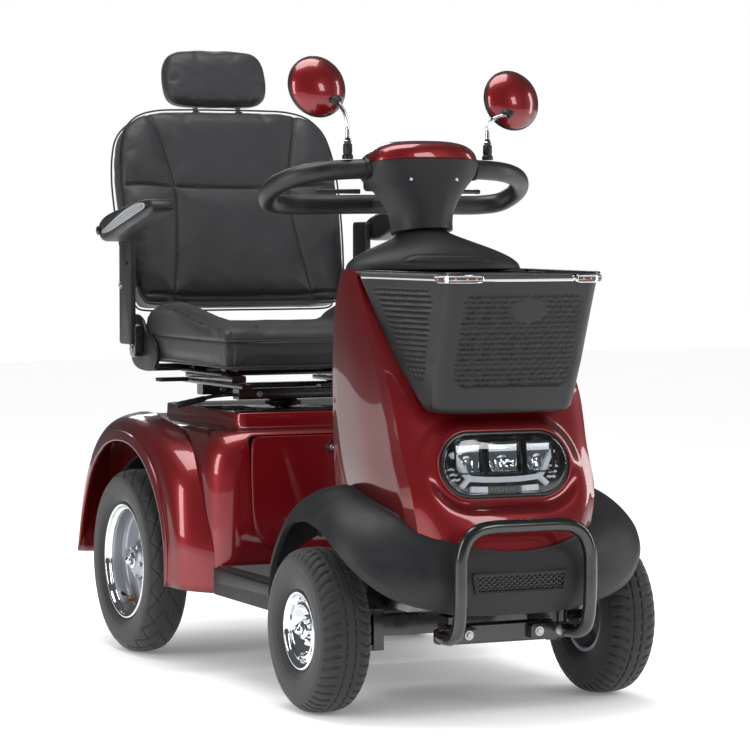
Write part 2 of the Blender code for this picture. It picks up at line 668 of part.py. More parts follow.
def add_front_fender(kit):
    """One moulding over both front wheels: each half is lofted from its lip, over a bulge, to its crown."""
    rows = []
    for lip, crown, bulge in zip(FRONT_LIP, FRONT_CROWN, FRONT_BULGE):
        lip, crown, bulge = Vector(lip), Vector(crown), Vector(bulge)
        rows.append([lip.lerp(crown, share) + bulge * swell
                     for share, swell in ((0.0, 0.0), (0.10, 0.55), (0.40, 1.1), (0.72, 0.85), (1.0, 0.0))])
    window = plate(grille_outline(GAP), (0, -1, 0), GRILLE_AT, 0.060)
    fender = skin(rows, WALL, mirrored=True)
    kit.piece("front_fender", fender, "dark_plastic", cut=[window], solver="MANIFOLD")
    kit.piece("grille", plate(grille_outline(0.0), (0, -1, 0), GRILLE_AT, 0.005), "black_plastic")


def add_headlight(kit):
    """A pan that stands in the front column's window, with its lens on it."""
    back = LAMP_AT - LAMP_FACE * 0.011
    pan = plate(stadium(LAMP_HALF_WIDTH, LAMP_HALF_HEIGHT), LAMP_FACE, back, 0.020, 0.002)
    kit.piece("headlight_housing", pan, "black_plastic")
    front = LAMP_AT + LAMP_FACE * (0.005 + GAP)
    lens = plate(stadium(LAMP_HALF_WIDTH - 0.007, LAMP_HALF_HEIGHT - 0.007), LAMP_FACE, front, 0.012, 0.004)
    kit.piece("headlight_lens", lens, "clear_lens")


# ---------------------------------------------------------------- basket, dash and bumper

# Level, half width at the front, half width at the rear, front y, rear y of the outside of the basket
BASKET = [
    (0.600, 0.100, 0.110, -0.748, -0.715),
    (0.614, 0.150, 0.160, -0.762, -0.704),
    (0.700, 0.160, 0.178, -0.790, -0.620),
    (0.790, 0.163, 0.186, -0.820, -0.538),
    (0.880, 0.166, 0.193, -0.850, -0.464),
]


def basket_ring(row, grow):
    z, front_x, rear_x, front_y, rear_y = row
    front_x, rear_x, front_y, rear_y = front_x + grow, rear_x + grow, front_y - grow, rear_y
    bow = 0.006
    half = [(front_x * 0.5, front_y - bow), (front_x - 0.020, front_y), (front_x - 0.004, front_y + 0.008),
            (front_x, front_y + 0.028), ((front_x + rear_x) / 2 + 0.004, (front_y + rear_y) / 2),
            (rear_x, rear_y - 0.012), (rear_x - 0.012, rear_y)]
    left = [Vector((x, y, z)) for x, y in half]
    right = [Vector((-x, y, z)) for x, y in reversed(half)]
    return [Vector((0, front_y - bow * 1.3, z))] + left + [Vector((0, rear_y, z))] + right


def add_basket(kit):
    """A tub with a floor, open above. The trim strip runs round its front and sides under the rim."""
    outer = loft([basket_ring(row, 0.0) for row in BASKET])
    hollow = []
    for z, front_x, rear_x, front_y, rear_y in BASKET:
        inner = (z + WALL if z < 0.605 else z, front_x - WALL, rear_x - WALL, front_y + WALL, rear_y - WALL)
        hollow.append(basket_ring(inner, 0.0))
    hollow.append([point + Vector((0, -0.003, 0.02)) for point in hollow[-1]])
    kit.piece("basket", outer, "black_plastic", cut=[loft(hollow)])
    top, below = BASKET[-1], BASKET[-2]

    def level(z, grow):
        share = (z - below[0]) / (top[0] - below[0])
        return basket_ring([z] + [a + (b - a) * share for a, b in zip(below[1:], top[1:])], grow)

    bands = [level(z, 0.0035) for z in (0.862, 0.874)]
    open_bands = [ring[:7] + ring[9:] for ring in bands]
    strip = [ring[7:] + ring[:7] for ring in open_bands]
    kit.piece("basket_trim", skin(strip, 0.0028, flip=True), "chrome")
    for word, side in SIDES:
        route = [(0.095, -0.8695), (0.150, -0.8640), (0.1795, -0.842), (0.1870, -0.780)]
        lamp = pipe([(side * x, y, 0.868) for x, y in route], 0.0055, sides=1, resolution=4)
        kit.piece("turn_lamp_" + word, lamp, "clear_lens")


def add_dash(kit):
    """The domed cover on the front column. The tiller's column passes through the round hole on its top."""
    base = Vector((0.0, -0.425, 0.8835))
    hole = on_tiller(0.952)
    hole_radius = NECK_RADIUS - 0.012
    count = 24
    rows = []
    for lift in (0.0, 0.30, 0.60, 0.85, 1.0):
        spread = math.sqrt(max(0.0, 1 - lift ** 2)) if lift < 1.0 else 0.0
        blend = lift ** 2
        row = []
        for i in range(count):
            angle = 2 * math.pi * i / count
            c, s = math.cos(angle), math.sin(angle)
            outer = Vector((0.193 * (0.40 + 0.60 * spread) * c, 0.082 * (0.90 + 0.10 * spread) * s, 0.0))
            place = outer.lerp(Vector((hole_radius * c, hole_radius * s, 0.0)), blend)
            middle = base.lerp(hole, blend)
            z = base.z + (hole.z - base.z) * lift - TILLER_LEAN * place.y * blend
            row.append(Vector((middle.x + place.x, middle.y + place.y, z)))
        rows.append(row)
    kit.piece("dash_dome", skin(rows, 0.003, closed=True), "dark_plastic")


def add_bumper(kit):
    legs = 0.142
    half = [(legs - 0.004, -0.7505, 0.163), (legs, -0.800, 0.166), (legs, -0.838, 0.200),
            (legs, -0.846, 0.290), (legs - 0.008, -0.846, 0.345), (legs - 0.036, -0.846, 0.380),
            (legs - 0.080, -0.846, 0.3855)]
    route = [on_side(-1, point) for point in half] + [on_side(1, point) for point in reversed(half)]
    feet = []
    for side in (-1, 1):
        x0, x1 = sorted((side * 0.060, side * 0.150))
        feet.append(block((x0, -0.7525, 0.148), (x1, -0.737 - GAP, 0.178)))
    kit.piece("bumper_bar", pipe(route, 0.0135, sides=2, resolution=4), "black_steel", joined=feet)


# ---------------------------------------------------------------- steering


def add_knuckles(kit):
    """Each knuckle is a boss on a king pin, with a stub shaft for its wheel and an arm for the tie rod."""
    pivots = {}
    for word, side in SIDES:
        pin = Vector((side * KING_PIN_X, FRONT_AXLE_Y, FRONT_TYRE_RADIUS))
        pivots[word] = kit.pivot("knuckle_" + word + "_axis", pin)
        up = Vector((0, 0, 1))
        boss = rod(pin - up * (0.035 - GAP), pin + up * (0.025 - GAP), KNUCKLE_BOSS_RADIUS, sides=20)
        king_pin = rod(pin - up * 0.050, pin + up * 0.040, KING_PIN_RADIUS, sides=16)
        stub = rod(pin, (side * (FRONT_TRACK / 2 + 0.026), pin.y, pin.z), SHAFT_RADIUS, sides=20)
        a0, a1 = sorted((side * (KING_PIN_X - 0.009), side * (KING_PIN_X + 0.009)))
        arm = block((a0, pin.y, 0.1515), (a1, pin.y + KNUCKLE_ARM + 0.010, 0.1600))
        kit.piece("knuckle_" + word, boss, "black_steel", pivots[word], joined=[king_pin, stub, arm])
    return pivots


def add_tie_rod(kit):
    y = FRONT_AXLE_Y + KNUCKLE_ARM
    pitman_y = TILLER_FOOT.y + PITMAN_ARM * 0.987
    slide = kit.pivot("tie_rod_axis", (0, y, 0.145))
    half = KING_PIN_X + 0.012
    bar = rod((-half, y, 0.1445), (half, y, 0.1445), 0.0058, sides=12)
    lug = block((-0.012, y - 0.004, 0.140), (0.012, pitman_y + 0.008, 0.149))
    kit.piece("tie_rod", bar, "black_steel", slide, joined=[lug])


def on_tiller(z):
    """The point of the tiller's axis at a level."""
    return TILLER_FOOT.lerp(TILLER_TOP, (z - TILLER_FOOT.z) / (TILLER_TOP.z - TILLER_FOOT.z))


def add_tiller(kit):
    """Column, console, its cap and the two-loop handlebar, all turning about the tilted column."""
    axis = (TILLER_TOP - TILLER_FOOT).normalized()
    turn = kit.pivot("tiller_axis", TILLER_TOP)
    neck_foot = on_tiller(0.954)
    column = rod(TILLER_FOOT, neck_foot - axis * GAP, COLUMN_RADIUS, sides=20)
    rear = Vector((0, axis.z, -axis.y))
    pitman = Matrix.Translation(TILLER_FOOT + axis * 0.003 + rear * (PITMAN_ARM / 2)) @ Matrix(
        (Vector((1, 0, 0)), rear, axis)).transposed().to_4x4()
    arm = block((-0.010, -PITMAN_ARM / 2 - 0.010, -0.004), (0.010, PITMAN_ARM / 2 + 0.008, 0.005))
    arm.data.transform(pitman)
    kit.piece("steering_column", column, "black_steel", turn, joined=[arm])

    def ring(z, half_x, half_y, y, power, lean=0.0):
        points = superellipse(half_x, half_y, (0, y, z), 20, power)
        return [p + Vector((0, 0, -lean * (p.y - y))) for p in points]

    rows = [ring(neck_foot.z, NECK_RADIUS, NECK_RADIUS, neck_foot.y, 2.0, TILLER_LEAN),
            ring(0.975, 0.066, 0.065, -0.3645, 2.0, 0.12), ring(1.000, 0.070, 0.068, -0.360, 2.2, 0.06),
            ring(1.035, 0.090, 0.074, -0.354, 2.5, 0.06),
            ring(1.065, 0.116, 0.080, -0.350, 2.8, 0.12), ring(1.095, 0.124, 0.083, -0.349, 3.0, 0.16)]
    bracket = block((-0.030, -0.301, 1.003), (0.030, -0.171, 1.024))
    panel = block((-0.085, -0.331, 1.040), (0.085, PANEL_Y, 1.0740))
    kit.piece("console_housing", loft(rows), "dark_plastic", turn, joined=[bracket, panel],
              cut=[handle_way()], solver="MANIFOLD")
    cap = [ring(1.0955, 0.120, 0.080, -0.350, 3.0, 0.16), ring(1.115, 0.116, 0.077, -0.350, 2.8, 0.14),
           ring(1.132, 0.098, 0.062, -0.354, 2.5, 0.10), ring(1.143, 0.060, 0.036, -0.360, 2.2, 0.05)]
    kit.piece("console_cap", loft(cap), "red_paint", turn, cut=[handle_way()], solver="MANIFOLD")
    kit.piece("handlebar", pipe(handle_route(), HANDLE_RADIUS, sides=2, resolution=5), "grip_rubber", turn)
    return turn


def handle_route():
    """From the console's right side, round the right loop, behind the neck and round the left loop."""
    half = [(0.104, -0.360, 1.086), (0.150, -0.352, 1.085), (0.205, -0.335, 1.081), (0.252, -0.303, 1.071),
            (0.281, -0.262, 1.054), (0.286, -0.228, 1.037), (0.270, -0.192, 1.019), (0.230, -0.172, 1.0125),
            (0.160, -0.165, 1.012), (0.060, -0.165, 1.0135)]
    return [on_side(-1, point) for point in half] + [on_side(1, point) for point in reversed(half)]


def handle_way():
    """The room for the handlebar in the console and its cap."""
    return pipe(handle_route(), HANDLE_RADIUS + 4 * GAP, sides=3, resolution=4)


def add_controls(kit, turn):
    """A finger lever in each loop, and the key, the speed dial and the horn button that face the rider."""
    for word, side in SIDES:
        root, tip = on_side(side, (0.104, -0.286, 1.040)), on_side(side, (0.190, -0.252, 1.040))
        hinge = kit.pivot("throttle_" + word + "_axis", root, turn)
        along = (tip - root).normalized()
        lever = block((-0.006, -0.007, -0.0055), ((tip - root).length, 0.007, 0.0055), 0.003, 1)
        up = Vector((0, 0, 1))
        turned_to = Matrix((along, up.cross(along), up)).transposed().to_4x4()
        lever.data.transform(Matrix.Translation(root) @ turned_to)
        kit.piece("throttle_lever_" + word, lever, "black_plastic", hinge)
    face = PANEL_Y + GAP
    key_at, knob_at, horn_at = (Vector((x, face, 1.057)) for x in (-0.050, 0.0, 0.050))
    y = Vector((0, 1, 0))
    key = rod(key_at, key_at + y * 0.006, 0.009, sides=16)
    grip = block(key_at + Vector((-0.0012, 0.004, -0.008)), key_at + Vector((0.0012, 0.026, 0.008)))
    kit.piece("ignition_key", key, "chrome", kit.pivot("ignition_axis", key_at, turn), joined=[grip])
    dial = rod(knob_at, knob_at + y * 0.014, 0.015, 0.0125, sides=20)
    kit.piece("speed_dial", dial, "black_plastic", kit.pivot("speed_axis", knob_at, turn))
    button = rod(horn_at + y * 0.002, horn_at + y * 0.007, 0.008, sides=16)
    kit.piece("horn_button", button, "red_lens", kit.pivot("horn_axis", horn_at, turn))


def add_mirrors(kit, turn):
    """Each mirror is a stem that swivels on the handlebar, and a shell that tilts on the stem."""
    yaw, pitch = math.radians(4.0), math.radians(14.0)
    face = Vector((math.sin(yaw), -math.cos(yaw) * math.cos(pitch), math.sin(pitch)))
    for word, side in SIDES:
        foot = on_side(side, (0.161, -0.350, 1.085 + HANDLE_RADIUS + GAP))
        swivel = kit.pivot("mirror_" + word + "_swivel_axis", foot, turn)
        lift = -0.011 * side
        joint = on_side(side, (0.194, -0.376, 1.212 + lift))
        elbow = on_side(side, (0.161, -0.350, 1.182))
        socket = rod(foot, foot + Vector((0, 0, 0.045)), 0.0110, 0.0085, sides=16)
        stem = pipe([foot + Vector((0, 0, 0.030)), foot + Vector((0, 0, 0.060)), elbow,
                     elbow.lerp(joint, 0.35) + Vector((0, 0, 0.002)), joint], 0.0042, sides=1, resolution=3)
        kit.piece("mirror_arm_" + word, socket, "chrome", swivel, joined=[stem])
        tilt = kit.pivot("mirror_" + word + "_tilt_axis", joint, swivel)
        centre = on_side(side, (0.224, -0.339, 1.244 + lift))
        dome = [(0.0, 0.034), (0.022, 0.032), (0.042, 0.0245), (0.056, 0.0125), (0.0635, 0.0),
                (0.0650, -0.006), (0.0610, -0.0095), (0.0, -0.0095)]
        shell = turned(dome, centre, face, 24, ring_shaped=False)
        kit.piece("mirror_shell_" + word, shell, "red_paint", tilt)


# ---------------------------------------------------------------- seat


def add_seat_base(kit):
    """Post, swivel frame with the slide's lower rails, the swivel's lever, the pan and the slide's lever."""
    low = SWIVEL_FRAME_BOTTOM
    post = rod((0, SEAT_AXIS_Y, TOWER_TOP + GAP), (0, SEAT_AXIS_Y, low - GAP), POST_RADIUS, sides=20)
    kit.piece("seat_post", post, "black_steel")
    swivel = kit.pivot("seat_swivel_axis", (0, SEAT_AXIS_Y, low))
    top = low + CROSS_TUBE
    rails = [block((-0.170, 0.450, low), (0.170, 0.488, top), 0.002, 1),
             block((-0.070, 0.260, low), (0.070, 0.455, low + 0.008))]
    for side in (-1, 1):
        x0, x1 = sorted((side * (RAIL_SEAT_X - 0.013), side * (RAIL_SEAT_X + 0.013)))
        rails.append(block((x0, 0.190, top - 0.001), (x1, 0.560, top + 0.012)))
    front_tube = block((-0.170, 0.228, low), (0.170, 0.266, top), 0.002, 1)
    kit.piece("swivel_frame", front_tube, "black_steel", swivel, joined=rails)
    root = Vector((-0.085, 0.345, low + 0.008))
    lever = pipe([root, (-0.190, 0.312, low + 0.006), (-0.262, 0.252, low), (-0.335, 0.190, low - 0.005)],
                 0.0055, sides=1, resolution=3)
    kit.piece("swivel_lever", lever, "black_steel", kit.pivot("swivel_lever_axis", root, swivel))

    slide = kit.pivot("seat_slide_axis", (0, SEAT_AXIS_Y, top + 0.013), swivel)
    floor = top + 0.012 + GAP
    parts = [block((-0.200, 0.270, floor + 0.015), (0.200, 0.520, floor + 0.021)),
             block((-0.276, 0.552, floor + 0.015), (0.276, 0.580, floor + 0.031)),
             block((-0.100, 0.500, floor + 0.015), (0.100, 0.570, floor + 0.021))]
    for side in (-1, 1):
        x0, x1 = sorted((side * (RAIL_SEAT_X - 0.017), side * (RAIL_SEAT_X + 0.017)))
        parts.append(block((x0, 0.240, floor), (x1, 0.530, floor + 0.016)))
        for y in (0.285, 0.480):
            parts.append(block((x0, y, floor + 0.020), (x1, y + 0.025, CUSHION_BOTTOM - GAP)))
        outline = [(-0.084, -0.036), (-0.092, -0.004), (-0.066, 0.026), (-0.020, 0.042), (0.010, 0.070),
                   (0.058, 0.078), (0.070, 0.040), (0.082, 0.000), (0.064, -0.034), (0.020, -0.048),
                   (-0.050, -0.049)]
        centre = (side * (CUSHION_HALF_WIDTH + GAP + 0.005), RECLINE_Y, RECLINE_Z)
        parts.append(plate([(side * y, z) for y, z in outline], (side, 0, 0), centre, 0.010))
    holes = [rod((side * 0.25, RECLINE_Y, RECLINE_Z), (side * 0.30, RECLINE_Y, RECLINE_Z), 0.0094, sides=20)
             for side in (-1, 1)]
    pan = block((-0.020, 0.300, floor + 0.016), (0.020, 0.500, floor + 0.024))
    kit.piece("seat_pan", pan, "black_steel", slide, joined=parts, cut=holes)
    lever_at = Vector((-0.190, 0.515, 0.611))
    paddle = block((-0.258, 0.498, 0.607), (-0.184, 0.532, 0.6155), 0.002, 1)
    kit.piece("slide_lever", paddle, "black_steel", kit.pivot("slide_lever_axis", lever_at, slide))
    return slide


def add_cushion(kit, slide):
    """Lofted across: side views with a raised bolster at each side and a lower middle."""
    front, rear, low = CUSHION_FRONT_Y, CUSHION_REAR_Y, CUSHION_BOTTOM
    half = CUSHION_HALF_WIDTH
    rows = []
    for x, lift, shrink in ((-half, 0.6, 0.010), (-half + 0.012, 1.0, 0.0), (-half + 0.060, 0.8, 0.0),
                            (-half + 0.090, 0.0, 0.0), (0.0, -0.1, 0.0), (half - 0.090, 0.0, 0.0),
                            (half - 0.060, 0.8, 0.0), (half - 0.012, 1.0, 0.0), (half, 0.6, 0.010)):
        top = CUSHION_TOP - 0.010 - shrink
        rows.append([Vector((x, y, z)) for y, z in (
            (front + 0.006, low + shrink), (front - 0.002 + shrink, low + 0.040),
            (front + shrink, top - 0.012), (front + 0.020 + shrink, top),
            (0.200, top + 0.006 * lift), (0.310, top + 0.024 * lift),
            (0.400, top + 0.042 * lift), (0.470, top + 0.044 * lift), (0.540, top + 0.034 * lift),
            (rear - 0.020, top + 0.010 * lift), (rear - shrink, top - 0.040), (rear - 0.012, low + shrink))])
    kit.piece("seat_cushion", loft(rows), "black_leather", slide)


def add_backrest(kit, slide):
    """The back tilts on two pins; it carries the armrests on posts, and the headrest on two rods."""
    recline = kit.pivot("recline_axis", (0, RECLINE_Y, RECLINE_Z), slide)
    up = Vector((0, math.sin(BACK_TILT), math.cos(BACK_TILT)))
    face = Vector((0, -math.cos(BACK_TILT), math.sin(BACK_TILT)))
    centre = BACK_AT
    outline = [(0.240, -0.243), (0.259, -0.228), (0.271, -0.140), (0.282, -0.020), (0.282, 0.090),
               (0.270, 0.160), (0.240, 0.210), (0.190, 0.236), (0.130, 0.242)]
    outline += [(-across, height) for across, height in reversed(outline)]
    rows = [[centre + face * depth * BACK_THICKNESS + up * height * size + Vector((across * size, 0, 0))
             for across, height in outline]
            for depth, size in ((-0.50, 0.86), (-0.25, 0.95), (0.25, 1.0), (0.50, 0.975))]
    pad_at = Vector((0, 0.812, 1.3165))
    rods = [pad_at + Vector((side * HEADREST_ROD_X, 0, 0)) for side in (-1, 1)]
    bores = [rod(top - up * 0.26, top - up * 0.05, HEADREST_ROD_RADIUS + 0.0012, sides=12) for top in rods]
    cross_at = centre - up * 0.190 + face * 0.016
    reach = Vector((BACK_FRAME_X - 0.006, 0, 0))
    bores.append(rod(cross_at - reach, cross_at + reach, CROSS_ROD_RADIUS + 0.001, sides=12))
    kit.piece("backrest_pad", loft(rows), "black_leather", recline, cut=bores)

    parts, bores = [], []
    for side in (-1, 1):
        def slab(inner, outer, low, high, edge=0.0):
            x0, x1 = sorted((side * inner, side * outer))
            return block((x0, *low), (x1, *high), edge, 1)

        inner = CUSHION_HALF_WIDTH + 0.010 + 2 * GAP + 0.0005
        parts += [slab(inner, BACK_FRAME_X - 0.002, (0.560, 0.662), (0.598, 0.740)),
                  slab(BACK_FRAME_X - 0.008, BACK_FRAME_X + 0.0065, (0.562, 0.690), (0.640, 0.975), 0.004),
                  slab(BACK_FRAME_X - 0.010, BACK_FRAME_X + 0.004, (0.610, 0.812), (0.654, 0.842)),
                  rod((side * (inner - 0.008), RECLINE_Y, RECLINE_Z),
                      (side * (BACK_FRAME_X - 0.004), RECLINE_Y, RECLINE_Z), 0.009, sides=20)]
        pivot = on_side(side, ARM_PIVOT)
        bores.append(rod(pivot - Vector((0.03, 0, 0)), pivot + Vector((0.03, 0, 0)), 0.0085, sides=16))
    cross = rod(cross_at - reach, cross_at + reach, CROSS_ROD_RADIUS, sides=12)
    kit.piece("backrest_frame", cross, "black_steel", recline, joined=parts, cut=bores)

    head = centre + up * 0.247
    slide_up = kit.pivot("headrest_axis", head, recline)
    rows = [[pad_at + face * depth + up * height * size + Vector((across * size, 0, 0))
             for across, height in soft_outline(0.135, 0.0735, 0.050, 4)]
            for depth, size in ((-0.037, 0.80), (-0.022, 0.94), (0.0, 1.0), (0.022, 0.98), (0.037, 0.86))]
    pad = loft(rows)
    posts = [rod(top - up * 0.20, top, HEADREST_ROD_RADIUS, sides=12) for top in rods]
    kit.piece("headrest", pad, "black_leather", slide_up, joined=posts, solver="MANIFOLD")

    arm_view = [(0.580, 0.930), (0.602, 0.937), (0.612, 0.955), (0.604, 0.976), (0.560, 0.992),
                (0.470, 1.007), (0.360, 1.022), (0.285, 1.026), (0.262, 1.016), (0.266, 1.000),
                (0.330, 0.982), (0.450, 0.955), (0.535, 0.933)]
    for word, side in SIDES:
        pivot = on_side(side, ARM_PIVOT)
        hinge = kit.pivot("armrest_" + word + "_axis", pivot, recline)
        outline = [(side * (y - 0.440), z - 0.975) for y, z in arm_view]
        middle = BACK_FRAME_X + 0.0065 + 2 * GAP + ARM_THICKNESS / 2
        pad = plate(outline, (side, 0, 0), (side * middle, 0.440, 0.975), ARM_THICKNESS, 0.006)
        pin = rod(pivot + Vector((side * 0.020, 0, 0)), pivot - Vector((side * 0.006, 0, 0)), 0.008, sides=16)
        kit.piece("armrest_" + word, pad, "black_plastic", hinge, joined=[pin])


def settle(kit):
    """Moves the whole scooter so that the middle of its bounding box stands over the origin."""
    graph = bpy.context.evaluated_depsgraph_get()
    corners = [obj.matrix_world @ Vector(corner) for obj in kit.pieces.objects if obj.type == "MESH"
               for corner in obj.evaluated_get(graph).bound_box]
    middle = [(min(c[i] for c in corners) + max(c[i] for c in corners)) / 2 for i in range(2)]
    for obj in list(kit.pieces.objects) + list(kit.cutters.objects):
        if obj.parent is None:
            obj.matrix_world = Matrix.Translation((-middle[0], -middle[1], 0.0)) @ obj.matrix_world
    bpy.context.view_layer.update()


def build():
    clear_scene()
    kit = Assembly()
    add_frame(kit)
    add_front_axle(kit)
    add_rear_drive(kit)
    add_power(kit)
    add_floor(kit)
    add_body(kit)
    add_rear_fenders(kit)
    add_front_column(kit)
    add_front_fender(kit)
    add_headlight(kit)
    add_basket(kit)
    add_dash(kit)
    add_bumper(kit)
    knuckles = add_knuckles(kit)
    add_tie_rod(kit)
    add_wheels(kit, knuckles)
    turn = add_tiller(kit)
    add_controls(kit, turn)
    add_mirrors(kit, turn)
    slide = add_seat_base(kit)
    add_cushion(kit, slide)
    add_backrest(kit, slide)
    settle(kit)


build()
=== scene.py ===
"""Visual model of a four-wheel mobility scooter, laid out as a Blender add-on and run as a script.

Metres, +Z up, the scooter faces -Y. Shapes are written in the design frame, whose origin lies on the floor,
and moved by one offset, read from the frame, as each mesh is made.
"""

import sys
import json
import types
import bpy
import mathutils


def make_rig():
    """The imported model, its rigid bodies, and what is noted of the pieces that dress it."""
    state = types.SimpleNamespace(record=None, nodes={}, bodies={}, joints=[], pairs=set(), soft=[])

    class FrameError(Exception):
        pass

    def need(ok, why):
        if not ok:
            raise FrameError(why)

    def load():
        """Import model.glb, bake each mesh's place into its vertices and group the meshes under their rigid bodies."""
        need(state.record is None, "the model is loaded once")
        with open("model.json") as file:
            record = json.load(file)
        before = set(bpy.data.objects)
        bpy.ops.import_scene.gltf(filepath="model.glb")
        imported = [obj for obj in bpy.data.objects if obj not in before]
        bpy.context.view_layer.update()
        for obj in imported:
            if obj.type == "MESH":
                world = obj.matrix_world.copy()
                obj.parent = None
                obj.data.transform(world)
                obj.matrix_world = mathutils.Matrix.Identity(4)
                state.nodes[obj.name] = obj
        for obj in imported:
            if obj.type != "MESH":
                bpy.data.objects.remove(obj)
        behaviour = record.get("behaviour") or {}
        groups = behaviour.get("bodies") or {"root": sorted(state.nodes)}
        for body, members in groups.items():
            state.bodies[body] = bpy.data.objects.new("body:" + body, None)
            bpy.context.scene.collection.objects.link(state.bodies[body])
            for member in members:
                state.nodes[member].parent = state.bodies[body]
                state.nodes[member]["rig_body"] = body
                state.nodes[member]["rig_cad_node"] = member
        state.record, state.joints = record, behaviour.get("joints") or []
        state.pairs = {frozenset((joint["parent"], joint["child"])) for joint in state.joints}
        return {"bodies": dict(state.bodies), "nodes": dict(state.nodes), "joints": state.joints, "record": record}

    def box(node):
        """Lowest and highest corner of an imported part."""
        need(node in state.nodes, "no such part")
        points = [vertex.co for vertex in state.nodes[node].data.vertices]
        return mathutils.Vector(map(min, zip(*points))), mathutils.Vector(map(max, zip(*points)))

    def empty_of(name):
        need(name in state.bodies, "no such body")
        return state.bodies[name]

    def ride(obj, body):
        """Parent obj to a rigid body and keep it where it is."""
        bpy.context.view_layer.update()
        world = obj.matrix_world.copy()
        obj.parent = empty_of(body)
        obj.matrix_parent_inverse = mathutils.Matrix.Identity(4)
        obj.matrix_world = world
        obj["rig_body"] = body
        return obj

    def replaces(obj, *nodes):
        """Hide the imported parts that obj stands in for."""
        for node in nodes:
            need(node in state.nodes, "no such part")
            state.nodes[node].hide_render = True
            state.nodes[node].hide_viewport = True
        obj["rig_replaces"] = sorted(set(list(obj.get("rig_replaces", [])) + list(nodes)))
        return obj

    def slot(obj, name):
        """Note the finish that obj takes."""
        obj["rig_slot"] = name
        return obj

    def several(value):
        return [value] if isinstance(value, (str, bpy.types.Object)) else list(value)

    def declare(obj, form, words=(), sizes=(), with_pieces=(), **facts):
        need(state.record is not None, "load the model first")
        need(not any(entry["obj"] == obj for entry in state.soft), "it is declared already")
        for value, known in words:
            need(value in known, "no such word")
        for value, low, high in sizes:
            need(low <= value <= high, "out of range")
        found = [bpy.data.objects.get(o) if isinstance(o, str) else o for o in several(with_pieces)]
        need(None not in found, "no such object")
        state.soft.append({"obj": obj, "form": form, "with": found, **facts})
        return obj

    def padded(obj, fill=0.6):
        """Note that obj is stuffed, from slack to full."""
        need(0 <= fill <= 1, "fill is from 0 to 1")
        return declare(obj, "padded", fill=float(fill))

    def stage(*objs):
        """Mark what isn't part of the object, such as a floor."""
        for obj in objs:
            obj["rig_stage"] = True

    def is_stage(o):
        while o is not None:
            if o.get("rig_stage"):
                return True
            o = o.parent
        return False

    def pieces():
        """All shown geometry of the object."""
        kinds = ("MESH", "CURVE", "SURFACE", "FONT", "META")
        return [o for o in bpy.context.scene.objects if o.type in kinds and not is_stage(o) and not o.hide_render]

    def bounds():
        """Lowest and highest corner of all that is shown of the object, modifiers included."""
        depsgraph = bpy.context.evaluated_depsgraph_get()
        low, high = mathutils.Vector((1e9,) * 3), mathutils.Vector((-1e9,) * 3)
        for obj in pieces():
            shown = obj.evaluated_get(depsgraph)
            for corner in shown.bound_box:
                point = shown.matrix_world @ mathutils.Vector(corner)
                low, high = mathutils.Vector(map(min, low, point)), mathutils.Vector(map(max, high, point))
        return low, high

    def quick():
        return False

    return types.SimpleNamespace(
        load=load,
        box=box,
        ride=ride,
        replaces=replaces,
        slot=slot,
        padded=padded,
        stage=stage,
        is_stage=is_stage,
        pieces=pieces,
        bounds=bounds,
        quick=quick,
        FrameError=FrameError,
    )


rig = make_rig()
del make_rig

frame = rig.load()

import json
import math

import bmesh
import bpy
import numpy as np
from mathutils import Vector

bl_info = {
    "name": "Mobility scooter",
    "version": (1, 0, 0),
    "blender": (4, 5, 0),
    "location": "View3D > Sidebar > Scooter",
    "description": "Builds the detailed surfaces of a four-wheel mobility scooter on its frame",
    "category": "Add Mesh",
}

CAD_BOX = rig.bounds()


def middle(node):
    """The middle of a frame node's box."""
    low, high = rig.box(node)
    return np.array((low + high) / 2)


SEAT_AXIS_Y = 0.379
OFFSET = np.array([0.0, middle("seat_post")[1] - SEAT_AXIS_Y, 0.0])

SIDES = (("right", -1.0), ("left", 1.0))


# ---------------------------------------------------------------- settings


class ScooterColours(bpy.types.PropertyGroup):
    """Colours that a user would change."""

    paint: bpy.props.FloatVectorProperty(
        name="Paint", description="Colour of the metallic paint", subtype="COLOR",
        default=(0.235, 0.0022, 0.006), min=0.0, max=1.0)
    paint_shade: bpy.props.FloatVectorProperty(
        name="Paint shade", description="Colour of the paint seen at a grazing angle", subtype="COLOR",
        default=(0.020, 0.0004, 0.0012), min=0.0, max=1.0)
    leather: bpy.props.FloatVectorProperty(
        name="Upholstery", description="Colour of the seat's leatherette", subtype="COLOR",
        default=(0.0125, 0.013, 0.0155), min=0.0, max=1.0)
    plastic: bpy.props.FloatVectorProperty(
        name="Grey plastic", description="Colour of the moulded front fender and dash", subtype="COLOR",
        default=(0.013, 0.0135, 0.0155), min=0.0, max=1.0)


class ScooterSizes(bpy.types.PropertyGroup):
    """Sizes of details that a user would change."""

    stitch: bpy.props.FloatProperty(
        name="Stitch length", description="Length of one stitch in the upholstery", unit="LENGTH",
        default=0.0042, min=0.002, max=0.01)
    piping: bpy.props.FloatProperty(
        name="Piping radius", description="Radius of the piping along the seat's edges", unit="LENGTH",
        default=0.0022, min=0.001, max=0.006)
    tread_depth: bpy.props.FloatProperty(
        name="Tread depth", description="Depth of the grooves in the tyres", unit="LENGTH",
        default=0.0035, min=0.001, max=0.008)
    honeycomb: bpy.props.FloatProperty(
        name="Honeycomb pitch", description="Spacing of the cells in the basket's panels", unit="LENGTH",
        default=0.0120, min=0.005, max=0.03)
    cloth_rise: bpy.props.FloatProperty(
        name="Cushion swell", description="The most that the padding may swell", unit="LENGTH",
        default=0.008, min=0.0, max=0.03)


def sizes():
    return bpy.context.scene.scooter_sizes


def colours():
    return bpy.context.scene.scooter_colours


# ---------------------------------------------------------------- numbers


